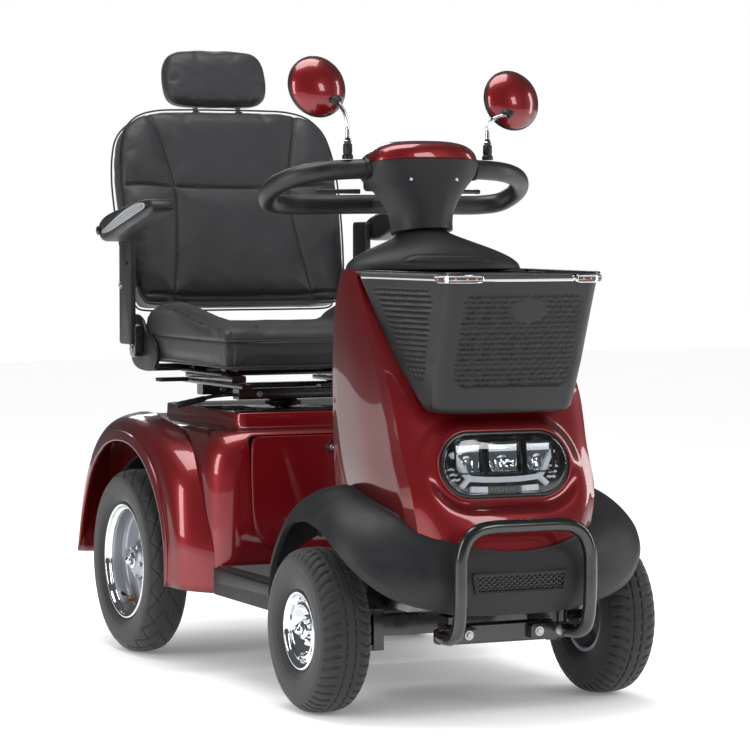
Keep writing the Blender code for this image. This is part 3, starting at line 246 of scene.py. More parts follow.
def weights(count, per, closed=False, sharp=()):
    """Rows of weights that turn control points into points of a smooth curve through them.

    Each span is a cubic Hermite curve. The tangent at a point is half of the step from its neighbour before
    to its neighbour after, or, at a sharp point and at an open end, the step of the span itself.
    """
    points = np.eye(count)
    after, before = np.roll(points, -1, 0), np.roll(points, 1, 0)
    leaving = (after - before) / 2
    arriving = leaving.copy()
    for k in list(sharp) + ([] if closed else [0, count - 1]):
        leaving[k] = after[k] - points[k]
        arriving[k] = points[k] - before[k]
    t = np.linspace(0, 1, per, endpoint=False)[:, None]
    rows = []
    for k in range(count if closed else count - 1):
        j = (k + 1) % count
        rows.append((2 * t ** 3 - 3 * t ** 2 + 1) * points[k] + (t ** 3 - 2 * t ** 2 + t) * leaving[k]
                    + (3 * t ** 2 - 2 * t ** 3) * points[j] + (t ** 3 - t ** 2) * arriving[j])
    if not closed:
        rows.append(points[-1:])
    return np.concatenate(rows)


def curve(points, per=8, closed=False, sharp=()):
    """A smooth curve through the points."""
    points = np.asarray(points, float)
    return weights(len(points), per, closed, sharp) @ points


def net(rows, per_row, per_column, wrap_rows=False, wrap=False, sharp_rows=(), sharp=()):
    """A smooth grid through a grid of control points: the curve rule along the rows, then across them."""
    rows = np.asarray(rows, float)
    down = weights(rows.shape[0], per_row, wrap_rows, sharp_rows)
    across = weights(rows.shape[1], per_column, wrap, sharp)
    return np.einsum("ai,bj,ijk->abk", down, across, rows)


def even(points, count, closed=False):
    """The same line with points at equal steps of its length."""
    points = np.asarray(points, float)
    if closed:
        points = np.concatenate([points, points[:1]])
    run = np.concatenate([[0], np.cumsum(np.linalg.norm(np.diff(points, axis=0), axis=1))])
    at = np.linspace(0, run[-1], count, endpoint=not closed)
    return np.stack([np.interp(at, run, points[:, k]) for k in range(points.shape[1])], 1)


def unit(v):
    v = np.asarray(v, float)
    return v / np.maximum(np.linalg.norm(v, axis=-1, keepdims=True), 1e-12)


def smoothstep(low, high, x):
    t = np.clip((x - low) / (high - low), 0, 1)
    return t * t * (3 - 2 * t)


def carried_frames(path, closed=False):
    """Tangent, normal and binormal along a path, carried from station to station without twisting."""
    if closed:
        tangent = unit(np.roll(path, -1, 0) - np.roll(path, 1, 0))
    else:
        tangent = unit(np.gradient(path, axis=0))
    start = np.cross(tangent[0], [0.0, 0.0, 1.0])
    if np.linalg.norm(start) < 0.1:
        start = np.cross(tangent[0], [0.0, 1.0, 0.0])
    normal = [unit(start)]
    for t in tangent[1:]:
        normal.append(unit(normal[-1] - t * (normal[-1] @ t)))
    normal = np.array(normal)
    binormal = np.cross(tangent, normal)
    if closed:
        left_over = math.atan2(normal[-1] @ binormal[0], normal[-1] @ normal[0])
        turn = -left_over * np.linspace(0, 1, len(path))[:, None]
        normal, binormal = (normal * np.cos(turn) + binormal * np.sin(turn),
                            binormal * np.cos(turn) - normal * np.sin(turn))
    return tangent, normal, binormal


def swept(path, section, closed=False, scale=None, across=None):
    """A section carried along a path. across, when given, is the direction of the section's first axis."""
    path = np.asarray(path, float)
    tangent, normal, binormal = carried_frames(path, closed)
    if across is not None:
        across = np.broadcast_to(np.asarray(across, float), path.shape)
        normal = unit(across - tangent * np.sum(across * tangent, 1, keepdims=True))
        binormal = np.cross(tangent, normal)
    section = np.asarray(section, float)
    size = np.ones(len(path)) if scale is None else np.asarray(scale, float)
    return (path[:, None] + normal[:, None] * section[None, :, :1] * size[:, None, None]
            + binormal[:, None] * section[None, :, 1:2] * size[:, None, None])


def circle(radius, count=24):
    angle = np.linspace(0, 2 * math.pi, count, endpoint=False)
    return np.stack([radius * np.cos(angle), radius * np.sin(angle)], 1)


def rounded_box(half_x, half_y, radius, per=6):
    """A rectangle with round corners: each corner is a quarter circle of its own."""
    angle = np.linspace(0, math.pi / 2, per)
    corners = [(1, 1, 0), (-1, 1, 1), (-1, -1, 2), (1, -1, 3)]
    parts = [np.stack([sx * (half_x - radius) + radius * np.cos(angle + k * math.pi / 2),
                       sy * (half_y - radius) + radius * np.sin(angle + k * math.pi / 2)], 1)
             for sx, sy, k in corners]
    return np.concatenate(parts)


def stadium(half_x, half_y, per=16):
    """A straight-sided shape with half-circle ends."""
    return rounded_box(half_x, half_y, half_y - 1e-5, per)


def superellipse(half_x, half_y, power, count=48):
    angle = np.linspace(0, 2 * math.pi, count, endpoint=False)
    c, s = np.cos(angle), np.sin(angle)
    return np.stack([half_x * np.sign(c) * np.abs(c) ** (2 / power),
                     half_y * np.sign(s) * np.abs(s) ** (2 / power)], 1)


def inset(outline, depth):
    """The outline moved inwards by a depth, along the normals of its edges."""
    step = unit(np.roll(outline, -1, 0) - np.roll(outline, 1, 0))
    area = np.sum(outline[:, 0] * np.roll(outline[:, 1], -1) - np.roll(outline[:, 0], -1) * outline[:, 1])
    inward = np.stack([-step[:, 1], step[:, 0]], 1) * np.sign(area)
    return outline + inward * depth


def lathed(profile, centre, direction, count=64):
    """A profile of (radius, height) turned about an axis: rows run along the profile."""
    profile = np.asarray(profile, float)
    w = unit(direction)
    u = unit(np.cross(w, [0, 0, 1.0] if abs(w[2]) < 0.9 else [0, 1.0, 0]))
    v = np.cross(w, u)
    angle = np.linspace(0, 2 * math.pi, count, endpoint=False)
    ring = np.cos(angle)[:, None] * u + np.sin(angle)[:, None] * v
    return np.asarray(centre, float) + profile[:, None, :1] * ring[None] + profile[:, None, 1:2] * w


def slab(outline, thickness, edge, origin, x_axis, y_axis, steps=3):
    """A flat plate: the outline at two levels, its edges rounded by quarter circles, its faces fans."""
    outline = np.asarray(outline, float)
    origin, x_axis, y_axis = np.asarray(origin, float), unit(x_axis), unit(y_axis)
    z_axis = np.cross(x_axis, y_axis)
    bend = np.linspace(0, math.pi / 2, steps + 1)
    levels = [(edge * (1 - math.sin(a)), -thickness / 2 + edge * (1 - math.cos(a))) for a in bend]
    levels += [(d, -z) for d, z in reversed(levels)]
    rows = []
    for depth, height in levels:
        flat = inset(outline, depth)
        rows.append(origin + flat[:, :1] * x_axis + flat[:, 1:2] * y_axis + height * z_axis)
    return np.array(rows)


# ---------------------------------------------------------------- meshes


def new_object(name, points, faces):
    mesh = bpy.data.meshes.new(name)
    mesh.from_pydata((np.asarray(points, float) + OFFSET).tolist(), [], faces)
    obj = bpy.data.objects.new(name, mesh)
    bpy.context.scene.collection.objects.link(obj)
    return obj


def surface(name, grid, wrap_rows=False, wrap=False, fill=False, outward=None, uv=True):
    """A mesh over a grid of points. fill closes the first and last rows with a fan each.

    The UV map holds lengths in metres, measured along the middle row and the middle column. outward is a
    direction that the faces should point along, on the whole.
    """
    grid = np.asarray(grid, float)
    rows, cols = grid.shape[:2]
    i = np.arange(rows if wrap_rows else rows - 1)[:, None]
    j = np.arange(cols if wrap else cols - 1)[None, :]

    def index(a, b):
        return ((a % rows) * cols + (b % cols)).ravel()

    quads = np.stack([index(i, j), index(i, j + 1), index(i + 1, j + 1), index(i + 1, j)], 1)
    points = grid.reshape(-1, 3)
    faces = quads.tolist()
    if fill:
        ends = [(0, 1), (rows - 1, -1)]
        for n, (row, way) in enumerate(ends):
            hub = len(points)
            points = np.concatenate([points, grid[row].mean(0, keepdims=True)])
            a = row * cols + np.arange(cols)
            b = row * cols + (np.arange(cols) + 1) % cols
            fan = np.stack([b, a, np.full(cols, hub)] if way > 0 else [a, b, np.full(cols, hub)], 1)
            faces += fan.tolist()
    obj = new_object(name, points, faces)
    mesh = obj.data
    if uv:
        along = np.linalg.norm(np.diff(grid[:, cols // 2], axis=0), axis=1)
        around = np.linalg.norm(np.diff(grid[rows // 2], axis=0), axis=1)
        if wrap_rows:
            along = np.append(along, np.linalg.norm(grid[0, cols // 2] - grid[-1, cols // 2]))
        if wrap:
            around = np.append(around, np.linalg.norm(grid[rows // 2, 0] - grid[rows // 2, -1]))
        v = np.concatenate([[0], np.cumsum(along)])
        u = np.concatenate([[0], np.cumsum(around)])
        ii, jj = np.broadcast_arrays(i, j)
        ii, jj = ii.ravel(), jj.ravel()
        coords = np.stack([np.stack([u[jj], v[ii]], 1), np.stack([u[jj + 1], v[ii]], 1),
                           np.stack([u[jj + 1], v[ii + 1]], 1), np.stack([u[jj], v[ii + 1]], 1)], 1)
        flat = np.zeros((len(mesh.loops), 2))
        flat[:coords.shape[0] * 4] = coords.reshape(-1, 2)
        layer = mesh.uv_layers.new(name="UVMap")
        layer.data.foreach_set("uv", flat.ravel().astype(np.float32))
    tidy(obj, outward)
    return obj


def tidy(obj, outward=None):
    """Merges the points that lie together, and turns the faces outwards."""
    bm = bmesh.new()
    bm.from_mesh(obj.data)
    bmesh.ops.remove_doubles(bm, verts=bm.verts, dist=1e-6)
    bmesh.ops.dissolve_degenerate(bm, edges=bm.edges, dist=1e-7)
    if all(edge.is_manifold for edge in bm.edges):
        bmesh.ops.recalc_face_normals(bm, faces=bm.faces)
        if bm.calc_volume(signed=True) < 0:
            bmesh.ops.reverse_faces(bm, faces=bm.faces)
    elif outward is not None:
        bmesh.ops.recalc_face_normals(bm, faces=bm.faces)
        total = 0.0
        goal = Vector(outward)
        for face in bm.faces:
            total += face.normal.dot(goal) * face.calc_area()
        if total < 0:
            bmesh.ops.reverse_faces(bm, faces=bm.faces)
    bm.to_mesh(obj.data)
    bm.free()


def joined(name, objects):
    """One object of several meshes, which stay separate shells in it."""
    bm = bmesh.new()
    for obj in objects:
        bm.from_mesh(obj.data)
    mesh = bpy.data.meshes.new(name)
    bm.to_mesh(mesh)
    bm.free()
    for obj in objects:
        bpy.data.objects.remove(obj, do_unlink=True)
    result = bpy.data.objects.new(name, mesh)
    bpy.context.scene.collection.objects.link(result)
    return result


def copies(name, shape, places):
    """Many small copies of one closed shape. shape is (points, faces), places is (origin, x, y, z) arrays."""
    points, faces = shape
    origin, x, y, z = places
    all_points = (origin[:, None] + points[None, :, :1] * x[:, None] + points[None, :, 1:2] * y[:, None]
                  + points[None, :, 2:3] * z[:, None])
    offsets = (np.arange(len(origin)) * len(points))[:, None, None]
    all_faces = (faces[None] + offsets).reshape(-1, faces.shape[1])
    obj = new_object(name, all_points.reshape(-1, 3), all_faces.tolist())
    tidy(obj)
    return obj


def capsule(sides=6, rings=4):
    """A unit capsule-like bead along X, as (points, quads): rings shrink by the sine rule towards both ends."""
    t = np.linspace(-0.5, 0.5, rings + 2)
    r = 0.5 * np.sqrt(np.maximum(1 - (2 * t) ** 2, 0.02))
    angle = np.linspace(0, 2 * math.pi, sides, endpoint=False)
    grid = np.stack([np.repeat(t[:, None], sides, 1), r[:, None] * np.cos(angle), r[:, None] * np.sin(angle)], 2)
    points = grid.reshape(-1, 3)
    i, j = np.meshgrid(np.arange(rings + 1), np.arange(sides), indexing="ij")
    quads = np.stack([i * sides + j, i * sides + (j + 1) % sides, (i + 1) * sides + (j + 1) % sides,
                      (i + 1) * sides + j], -1).reshape(-1, 4)
    return points, quads


def cut(obj, tool):
    """Applies one Boolean at once and removes the tool."""
    modifier = obj.modifiers.new("cut", "BOOLEAN")
    modifier.operation = "DIFFERENCE"
    modifier.solver = "EXACT"
    modifier.object = tool
    bake(obj)
    bpy.data.objects.remove(tool, do_unlink=True)


def bake(obj):
    """Applies the modifiers."""
    graph = bpy.context.evaluated_depsgraph_get()
    mesh = bpy.data.meshes.new_from_object(obj.evaluated_get(graph))
    obj.modifiers.clear()
    obj.data = mesh


def finish(obj, body, material, slot, replaces=(), wall=0.0, bevel=0.0, level=0, angle=40.0, offset=-1.0):
    """Gives a piece its wall, its rounded edges, its material, and the body that it rides on."""
    if wall:
        solid = obj.modifiers.new("wall", "SOLIDIFY")
        solid.thickness = wall
        solid.offset = offset
    if bevel:
        edge = obj.modifiers.new("edges", "BEVEL")
        edge.width = bevel
        edge.segments = 2
        edge.limit_method = "ANGLE"
        edge.angle_limit = math.radians(angle)
    if level:
        fine = obj.modifiers.new("smooth", "SUBSURF")
        fine.levels = fine.render_levels = level
    obj.data.shade_smooth()
    obj.data.set_sharp_from_angle(angle=math.radians(angle))
    obj.data.materials.clear()
    obj.data.materials.append(material)
    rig.ride(obj, body)
    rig.slot(obj, slot)
    if replaces:
        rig.replaces(obj, *replaces)
    return obj


# ---------------------------------------------------------------- materials


def linear(code):
    """A linear colour from an sRGB hex value."""
    value = np.array([int(code[k:k + 2], 16) / 255 for k in (0, 2, 4)])
    value = np.where(value <= 0.04045, value / 12.92, ((value + 0.055) / 1.055) ** 2.4)
    return (*value.tolist(), 1.0)


def add(tree, kind, settings=None, **links):
    """Adds a node. Settings name its properties or sockets, links name the sockets that feed its sockets."""
    node = tree.nodes.new(kind)
    for key, value in (settings or {}).items():
        if isinstance(key, str) and hasattr(node, key) and key not in node.inputs:
            setattr(node, key, value)
        else:
            node.inputs[key].default_value = value
    for key, source in links.items():
        name = key.replace("_", " ")
        target = node.inputs[int(key[1:])] if key[0] == "i" and key[1:].isdigit() else node.inputs[name]
        tree.links.new(source, target)
    return node


def material(name, colour, roughness, metallic=0.0, **sockets):
    """A material with its shader, ready for its pattern."""
    made = bpy.data.materials.new(name)
    made.use_nodes = True
    shader = made.node_tree.nodes["Principled BSDF"]
    shader.inputs["Base Color"].default_value = linear(colour)
    shader.inputs["Roughness"].default_value = roughness
    shader.inputs["Metallic"].default_value = metallic
    for key, value in sockets.items():
        shader.inputs[key.replace("_", " ")].default_value = value
    return made, made.node_tree, shader


def relief(tree, shader, height, distance, strength=1.0):
    """Sends a height to the shader's normal, as a bump of that many metres."""
    bump = add(tree, "ShaderNodeBump", {"Strength": strength, "Distance": distance}, Height=height)
    tree.links.new(bump.outputs["Normal"], shader.inputs["Normal"])
    return bump


def ramp(tree, source, stops):
    node = add(tree, "ShaderNodeValToRGB", Fac=source)
    while len(node.color_ramp.elements) < len(stops):
        node.color_ramp.elements.new(0.5)
    for element, (at, colour) in zip(node.color_ramp.elements, stops):
        element.position = at
        element.color = colour
    return node


def grey(value):
    return (value, value, value, 1.0)


def noise(tree, place, size_mm, detail=2.0, rough=0.5):
    """Noise whose main features are that many millimetres apart."""
    return add(tree, "ShaderNodeTexNoise", {"Scale": 1000.0 / size_mm, "Detail": detail, "Roughness": rough},
               Vector=place).outputs["Fac"]


def varied_roughness(tree, shader, source, low, high):
    spread = add(tree, "ShaderNodeMapRange", {"To Min": low, "To Max": high, "From Min": 0.3, "From Max": 0.7},
                 Value=source)
    tree.links.new(spread.outputs["Result"], shader.inputs["Roughness"])


def object_place(tree):
    return add(tree, "ShaderNodeTexCoord").outputs["Object"]


def candy_paint():
    """Metallic car paint on ABS panels: a deep red that darkens towards grazing angles under a clear coat.

    The flake is 1.2 mm here, ten times the real one, so that its sparkle shows.
    """
    made, tree, shader = material("candy_red_paint", "b5121f", 0.34, 0.55, Coat_Weight=1.0, Coat_Roughness=0.035,
                                  Coat_IOR=1.5)
    place = object_place(tree)
    facing = add(tree, "ShaderNodeLayerWeight", {"Blend": 0.42}).outputs["Facing"]
    face, shade = (*colours().paint, 1.0), (*colours().paint_shade, 1.0)
    colour = ramp(tree, facing, [(0.0, face), (0.35, tuple(0.62 * c for c in face[:3]) + (1.0,)), (0.95, shade)])
    tree.links.new(colour.outputs["Color"], shader.inputs["Base Color"])
    flake = noise(tree, place, 1.2, 0.0)
    wave = noise(tree, place, 60.0, 1.0)
    mixed = add(tree, "ShaderNodeMath", {"operation": "MULTIPLY_ADD", 1: 0.02}, i0=flake, i2=wave)
    relief(tree, shader, mixed.outputs["Value"], 0.0004, 0.35)
    varied_roughness(tree, shader, flake, 0.28, 0.42)
    return made


def moulded_plastic(name, colour, roughness, grain_mm=0.9, depth=0.00006, coat=0.0):
    """Textured injection-moulded plastic: a fine leathery grain that scatters the highlights."""
    made, tree, shader = material(name, "202124", roughness, Coat_Weight=coat, Coat_Roughness=0.3,
                                  Specular_IOR_Level=0.4)
    shader.inputs["Base Color"].default_value = (*colour, 1.0)
    place = object_place(tree)
    grain = add(tree, "ShaderNodeTexVoronoi", {"Scale": 1000.0 / grain_mm}, Vector=place).outputs["Distance"]
    relief(tree, shader, grain, depth, 0.8)
    worn = noise(tree, place, 45.0, 4.0)
    varied_roughness(tree, shader, worn, roughness - 0.05, roughness + 0.07)
    tone = ramp(tree, worn, [(0.3, tuple(0.86 * c for c in colour) + (1.0,)),
                             (0.7, tuple(1.12 * c for c in colour) + (1.0,))])
    tree.links.new(tone.outputs["Color"], shader.inputs["Base Color"])
    return made


def leatherette():
    """PU-coated upholstery: pebble grain of about 1.6 mm, creased valleys a little duller than the tops."""
    tone = tuple(colours().leather)
    made, tree, shader = material("black_leatherette", "26272b", 0.46, Coat_Weight=0.12, Coat_Roughness=0.35,
                                  Sheen_Weight=0.08, Sheen_Roughness=0.4)
    place = object_place(tree)
    bend = add(tree, "ShaderNodeTexNoise", {"Scale": 120.0, "Detail": 2.0}, Vector=place)
    moved = add(tree, "ShaderNodeVectorMath", {"operation": "MULTIPLY_ADD", 1: (0.0012,) * 3},
                i0=bend.outputs["Color"], i2=place)
    cells = add(tree, "ShaderNodeTexVoronoi", {"feature": "DISTANCE_TO_EDGE", "Scale": 620.0},
                Vector=moved.outputs["Vector"]).outputs["Distance"]
    pebble = ramp(tree, cells, [(0.0, grey(0.0)), (0.12, grey(0.75)), (0.45, grey(1.0))])
    relief(tree, shader, pebble.outputs["Color"], 0.00022, 0.75)
    broad = noise(tree, place, 70.0, 3.0)
    colour = ramp(tree, broad, [(0.3, tuple(0.82 * c for c in tone) + (1.0,)),
                                (0.7, tuple(1.18 * c for c in tone) + (1.0,))])
    tree.links.new(colour.outputs["Color"], shader.inputs["Base Color"])
    varied_roughness(tree, shader, broad, 0.40, 0.52)
    return made


def rubber(name, colour, roughness, grain_mm=1.4, depth=0.00012, sheen=0.0):
    """Vulcanised rubber or soft vinyl: dull, with a fine uneven bloom on it."""
    made, tree, shader = material(name, colour, roughness, Sheen_Weight=sheen, Sheen_Roughness=0.5)
    place = object_place(tree)
    grain = noise(tree, place, grain_mm, 3.0)
    relief(tree, shader, grain, depth, 0.6)
    bloom = noise(tree, place, 34.0, 4.0)
    base = np.array(linear(colour)[:3])
    tone = ramp(tree, bloom, [(0.3, (*(0.8 * base), 1.0)), (0.75, (*(1.3 * base), 1.0))])
    tree.links.new(tone.outputs["Color"], shader.inputs["Base Color"])
    varied_roughness(tree, shader, bloom, roughness - 0.06, min(roughness + 0.06, 1.0))
    return made


def plated(name, colour, roughness, ripple=0.00002, coat=0.0):
    """Plated or painted metal: nearly smooth, with a faint ripple and a trace of handling marks."""
    made, tree, shader = material(name, colour, roughness, 1.0, Coat_Weight=coat, Coat_Roughness=0.1)
    place = object_place(tree)
    wave = noise(tree, place, 22.0, 1.0)
    relief(tree, shader, wave, ripple, 0.5)
    smear = noise(tree, place, 9.0, 4.0)
    varied_roughness(tree, shader, smear, roughness, roughness * 1.5 + 0.01)
    return made


def powder_steel():
    """Powder-coated black steel: semi-gloss, with the slight orange peel of the powder."""
    made, tree, shader = material("black_powder_coat", "141516", 0.24, 0.0, Coat_Weight=0.7, Coat_Roughness=0.12)
    place = object_place(tree)
    relief(tree, shader, noise(tree, place, 2.2, 2.0), 0.00008, 0.5)
    varied_roughness(tree, shader, noise(tree, place, 30.0, 3.0), 0.2, 0.34)
    return made


def clear_plastic(name, colour, roughness=0.02, transmission=1.0):
    """Injection-moulded polycarbonate: clear, glossy, with a faint flow ripple."""
    made, tree, shader = material(name, colour, roughness, 0.0, IOR=1.45, Transmission_Weight=transmission)
    relief(tree, shader, noise(tree, object_place(tree), 30.0, 1.0), 0.00003, 0.4)
    return made


def glowing(name, colour, strength, roughness=0.3):
    """A translucent light guide or a lit diode: pale plastic with a weak even glow. The dial's printed marks take it
    too, and on them the glow is painted.
    """
    made, tree, shader = material(name, colour, roughness, 0.0, Emission_Strength=strength)
    shader.inputs["Emission Color"].default_value = linear(colour)
    relief(tree, shader, noise(tree, object_place(tree), 1.5, 1.0), 0.00005, 0.4)
    return made


def inlay_cloth():
    """Light-grey soft vinyl with a woven grain of about 1.2 mm, painted darker in its hollows and lighter on its
    ridges.
    """
    made, tree, shader = material("grey_inlay", "8d9094", 0.55)
    place = object_place(tree)
    rows = add(tree, "ShaderNodeTexWave", {"Scale": 130.0, "Distortion": 0.4}, Vector=place).outputs["Fac"]
    relief(tree, shader, rows, 0.0003, 0.7)
    # the colour follows the weave's height, as the bump does: painted shade in its hollows, painted highlight on its
    # ridges
    tone = ramp(tree, rows, [(0.1, linear("5c5f63")), (0.8, linear("a3a6aa"))])
    tree.links.new(tone.outputs["Color"], shader.inputs["Base Color"])
    return made


MATERIALS = {}


def make_materials():
    plastic = tuple(colours().plastic)
    MATERIALS.update(
        paint=candy_paint(),
        grey_plastic=moulded_plastic("dark_grey_polypropylene", plastic, 0.50),
        black_plastic=moulded_plastic("satin_black_abs", (0.0115, 0.0120, 0.0130), 0.42, 0.8),
        gloss_black=moulded_plastic("gloss_black_abs", (0.006, 0.006, 0.007), 0.22, 2.0, 0.00002, 0.5),
        liner=moulded_plastic("wheel_well_liner", (0.006, 0.006, 0.0065), 0.7, 1.5),
        leather=leatherette(),
        tyre=rubber("tyre_rubber", "1b1c1e", 0.66, sheen=0.15),
        soft_grip=rubber("handle_vinyl", "1c1d20", 0.42, 1.0, 0.00008),
        thread=rubber("upholstery_thread", "2b2c30", 0.6, 0.6),
        inlay=inlay_cloth(),
        chrome=plated("chrome_plate", "dfe2e5", 0.045),
        zinc=plated("zinc_plate", "b9bcc0", 0.24, 0.00004),
        mirror_glass=plated("silvered_glass", "e8eef0", 0.01, 0.0),
        silver=plated("silver_painted_alloy", "a9adb2", 0.34, 0.00006),
        brass=plated("brass", "b98c3e", 0.25, 0.00004),
        steel=powder_steel(),
        lens=clear_plastic("clear_polycarbonate", "f4f7f9"),
        red_lens=clear_plastic("red_polycarbonate", "c01018", 0.05, 0.55),
        guide=glowing("white_light_guide", "dfe4ea", 0.25),
        amber=glowing("amber_diode", "ff8a2a", 0.5),
        battery=moulded_plastic("battery_case_abs", (0.045, 0.055, 0.075), 0.5),
    )


# Frame nodes that keep their own mesh, by the material that they are given
KEPT = {
    "steel": ("chassis_frame", "front_axle_beam", "rear_transaxle", "drive_motor", "seat_post", "tie_rod",
              "steering_column", "knuckle_right", "knuckle_left", "motor_controller"),
    "battery": ("battery_right", "battery_left"),
}


class SCOOTER_OT_frame_finishes(bpy.types.Operator):
    """Makes the materials and gives them to the frame's own nodes"""

    bl_idname = "scooter.frame_finishes"
    bl_label = "Materials and frame finishes"

    def execute(self, context):
        make_materials()
        for key, names in KEPT.items():
            for name in names:
                node = frame["nodes"][name]
                node.data.materials.clear()
                node.data.materials.append(MATERIALS[key])
        return {"FINISHED"}


# ---------------------------------------------------------------- rear body

REAR_AXLE = np.array([0.0, 0.415, 0.207])
WELL_RADIUS = 0.237
WELL_INNER = 0.277
BODY_MIDDLE_Y = 0.345


def body_levels(inset_by=0.0):
    """Level, half width, half length and corner radius of the seat base, from its foot over its shoulder.

    Above 0.43 the section draws in along a quarter ellipse, so that the shoulder rolls onto the deck.
    """
    low = [(0.175, 0.322, 0.348, 0.062), (0.186, 0.328, 0.353, 0.064), (0.240, 0.330, 0.355, 0.066),
           (0.360, 0.330, 0.355, 0.068), (0.430, 0.329, 0.354, 0.070)]
    bend = np.linspace(0.0, math.pi / 2, 9)[1:]
    roll = [(0.430 + 0.095 * math.sin(a), 0.329 - 0.062 * (1 - math.cos(a)),
             0.354 - 0.050 * (1 - math.cos(a)), 0.070 - 0.010 * (1 - math.cos(a))) for a in bend]
    return [(z, x - inset_by, y - inset_by, r - inset_by) for z, x, y, r in low + roll]


def rear_body_skin():
    """The seat base as one closed shell: walls, rolled shoulder, deck, the plinth's flared foot and its top."""
    rows = []
    for z, half_x, half_y, radius in body_levels():
        ring = rounded_box(half_x, half_y, radius, 8)
        rows.append(np.column_stack([ring[:, 0], ring[:, 1] + BODY_MIDDLE_Y, np.full(len(ring), z)]))
    # deck and plinth: half width, half length, middle y, corner radius, level
    plinth = [(0.255, 0.262, 0.308, 0.060, 0.5262), (0.2475, 0.2325, 0.282, 0.030, 0.5268),
              (0.2455, 0.2270, 0.281, 0.026, 0.5295), (0.2448, 0.2255, 0.280, 0.024, 0.540),
              (0.2438, 0.2245, 0.280, 0.022, 0.5565), (0.2420, 0.2225, 0.280, 0.021, 0.5592),
              (0.2385, 0.2195, 0.280, 0.019, 0.5600)]
    for half_x, half_y, middle_y, radius, z in plinth:
        ring = rounded_box(half_x, half_y, radius, 8)
        rows.append(np.column_stack([ring[:, 0], ring[:, 1] + middle_y, np.full(len(ring), z)]))
    return np.array(rows)


def well_tool(side, inner, radius, extra=0.0):
    """A drum with a skirt below it, for a wheel's room: its side view is an arch that goes down to the floor."""
    bend = np.linspace(0, math.pi, 40)
    view = [(radius * math.cos(a), radius * math.sin(a)) for a in bend]
    view = [(radius, -0.30)] + view + [(-radius, -0.30)]
    view = np.array(view)
    rows = []
    for x in (inner, 0.50 + extra):
        rows.append(np.column_stack([np.full(len(view), side * x), view[:, 0] + REAR_AXLE[1],
                                     view[:, 1] + REAR_AXLE[2]]))
    tool = surface("tool", np.array(rows), wrap=True, fill=True, uv=False)
    return tool


def plate_tool(outline, low, high):
    """A prism along Y over an (x, z) outline."""
    outline = np.asarray(outline, float)
    rows = [np.column_stack([outline[:, 0], np.full(len(outline), y), outline[:, 1]]) for y in (low, high)]
    return surface("tool", np.array(rows), wrap=True, fill=True, uv=False)


def post_tool(radius, low, high, x=0.0, y=SEAT_AXIS_Y):
    return surface("tool", lathed([(radius, low), (radius, high)], (x, y, 0), (0, 0, 1), 48), wrap=True,
                   fill=True, uv=False)


def box_tool(low, high):
    (x0, y0, z0), (x1, y1, z1) = low, high
    ring = np.array([(x0, y0), (x1, y0), (x1, y1), (x0, y1)])
    rows = [np.column_stack([ring, np.full(4, z)]) for z in (z0, z1)]
    return surface("tool", np.array(rows), wrap=True, fill=True, uv=False)


def door_half():
    """The right-hand half of the battery door's outline, as control points from the top to the bottom."""
    return [(0.2375, 0.497), (0.2380, 0.440), (0.2350, 0.360), (0.2310, 0.322), (0.2220, 0.292), (0.2020, 0.272),
            (0.1740, 0.2630)]


def door_outline(grow=0.0):
    """The battery door's outline: a straight top with small corners, upright sides, and round lower corners."""
    right = curve(door_half(), 6)
    corner = [(0.2120, 0.5120), (0.2250, 0.5112), (0.2338, 0.5070)]
    right = np.concatenate([corner, right])
    outline = np.concatenate([right, (right * [-1, 1])[::-1]])
    return inset(outline, -grow)


class SCOOTER_OT_rear_body(bpy.types.Operator):
    """Builds the painted seat base with its wheel wells, their liners and the doorway"""

    bl_idname = "scooter.rear_body"
    bl_label = "Rear body"

    def execute(self, context):
        body = surface("rear_body", rear_body_skin(), wrap=True, fill=True, uv=False)
        hollow = []
        for z, half_x, half_y, radius in body_levels(0.004):
            ring = rounded_box(half_x, half_y, radius, 6)
            hollow.append(np.column_stack([ring[:, 0], ring[:, 1] + BODY_MIDDLE_Y,
                                           np.full(len(ring), z - 0.004 if z > 0.2 else 0.150)]))
        cut(body, surface("tool", np.array(hollow), wrap=True, fill=True, uv=False))
        for word, side in SIDES:
            cut(body, well_tool(side, WELL_INNER, WELL_RADIUS))
        cut(body, plate_tool(door_outline(0.0013), BODY_MIDDLE_Y - 0.40, BODY_MIDDLE_Y - 0.30))
        cut(body, post_tool(0.031, 0.45, 0.65))
        cut(body, box_tool((-0.118, -0.05, 0.10), (0.118, 0.02, 0.218)))
        finish(body, "chassis", MATERIALS["paint"], "red_paint", ["rear_body_shell"], bevel=0.0007, angle=50)
        for word, side in SIDES:
            bend = np.concatenate([[-0.62], np.linspace(0, math.pi, 33), [math.pi + 0.62]])
            radius = WELL_RADIUS - 0.001
            arch = np.column_stack([radius * np.cos(bend), radius * np.sin(bend)])
            arch[0], arch[-1] = (radius, -0.030), (-radius, -0.030)
            columns = [side * x for x in (0.329, 0.315, 0.290, 0.278)]
            sheets = np.array([np.column_stack([np.full(len(arch), x), arch[:, 0] + REAR_AXLE[1],
                                                arch[:, 1] + REAR_AXLE[2]]) for x in columns])
            inner = arch * np.linspace(1.0, 0.18, 6)[:, None, None]
            disc = np.stack([np.column_stack([np.full(len(arch), side * 0.2765), ring[:, 0] + REAR_AXLE[1],
                                              np.maximum(ring[:, 1], -0.030) + REAR_AXLE[2]]) for ring in inner])
            liner = surface("well_liner_" + word, np.concatenate([sheets, disc]), outward=(side, 0, 0))
            finish(liner, "chassis", MATERIALS["liner"], "black_plastic", wall=0.0015)
        return {"FINISHED"}


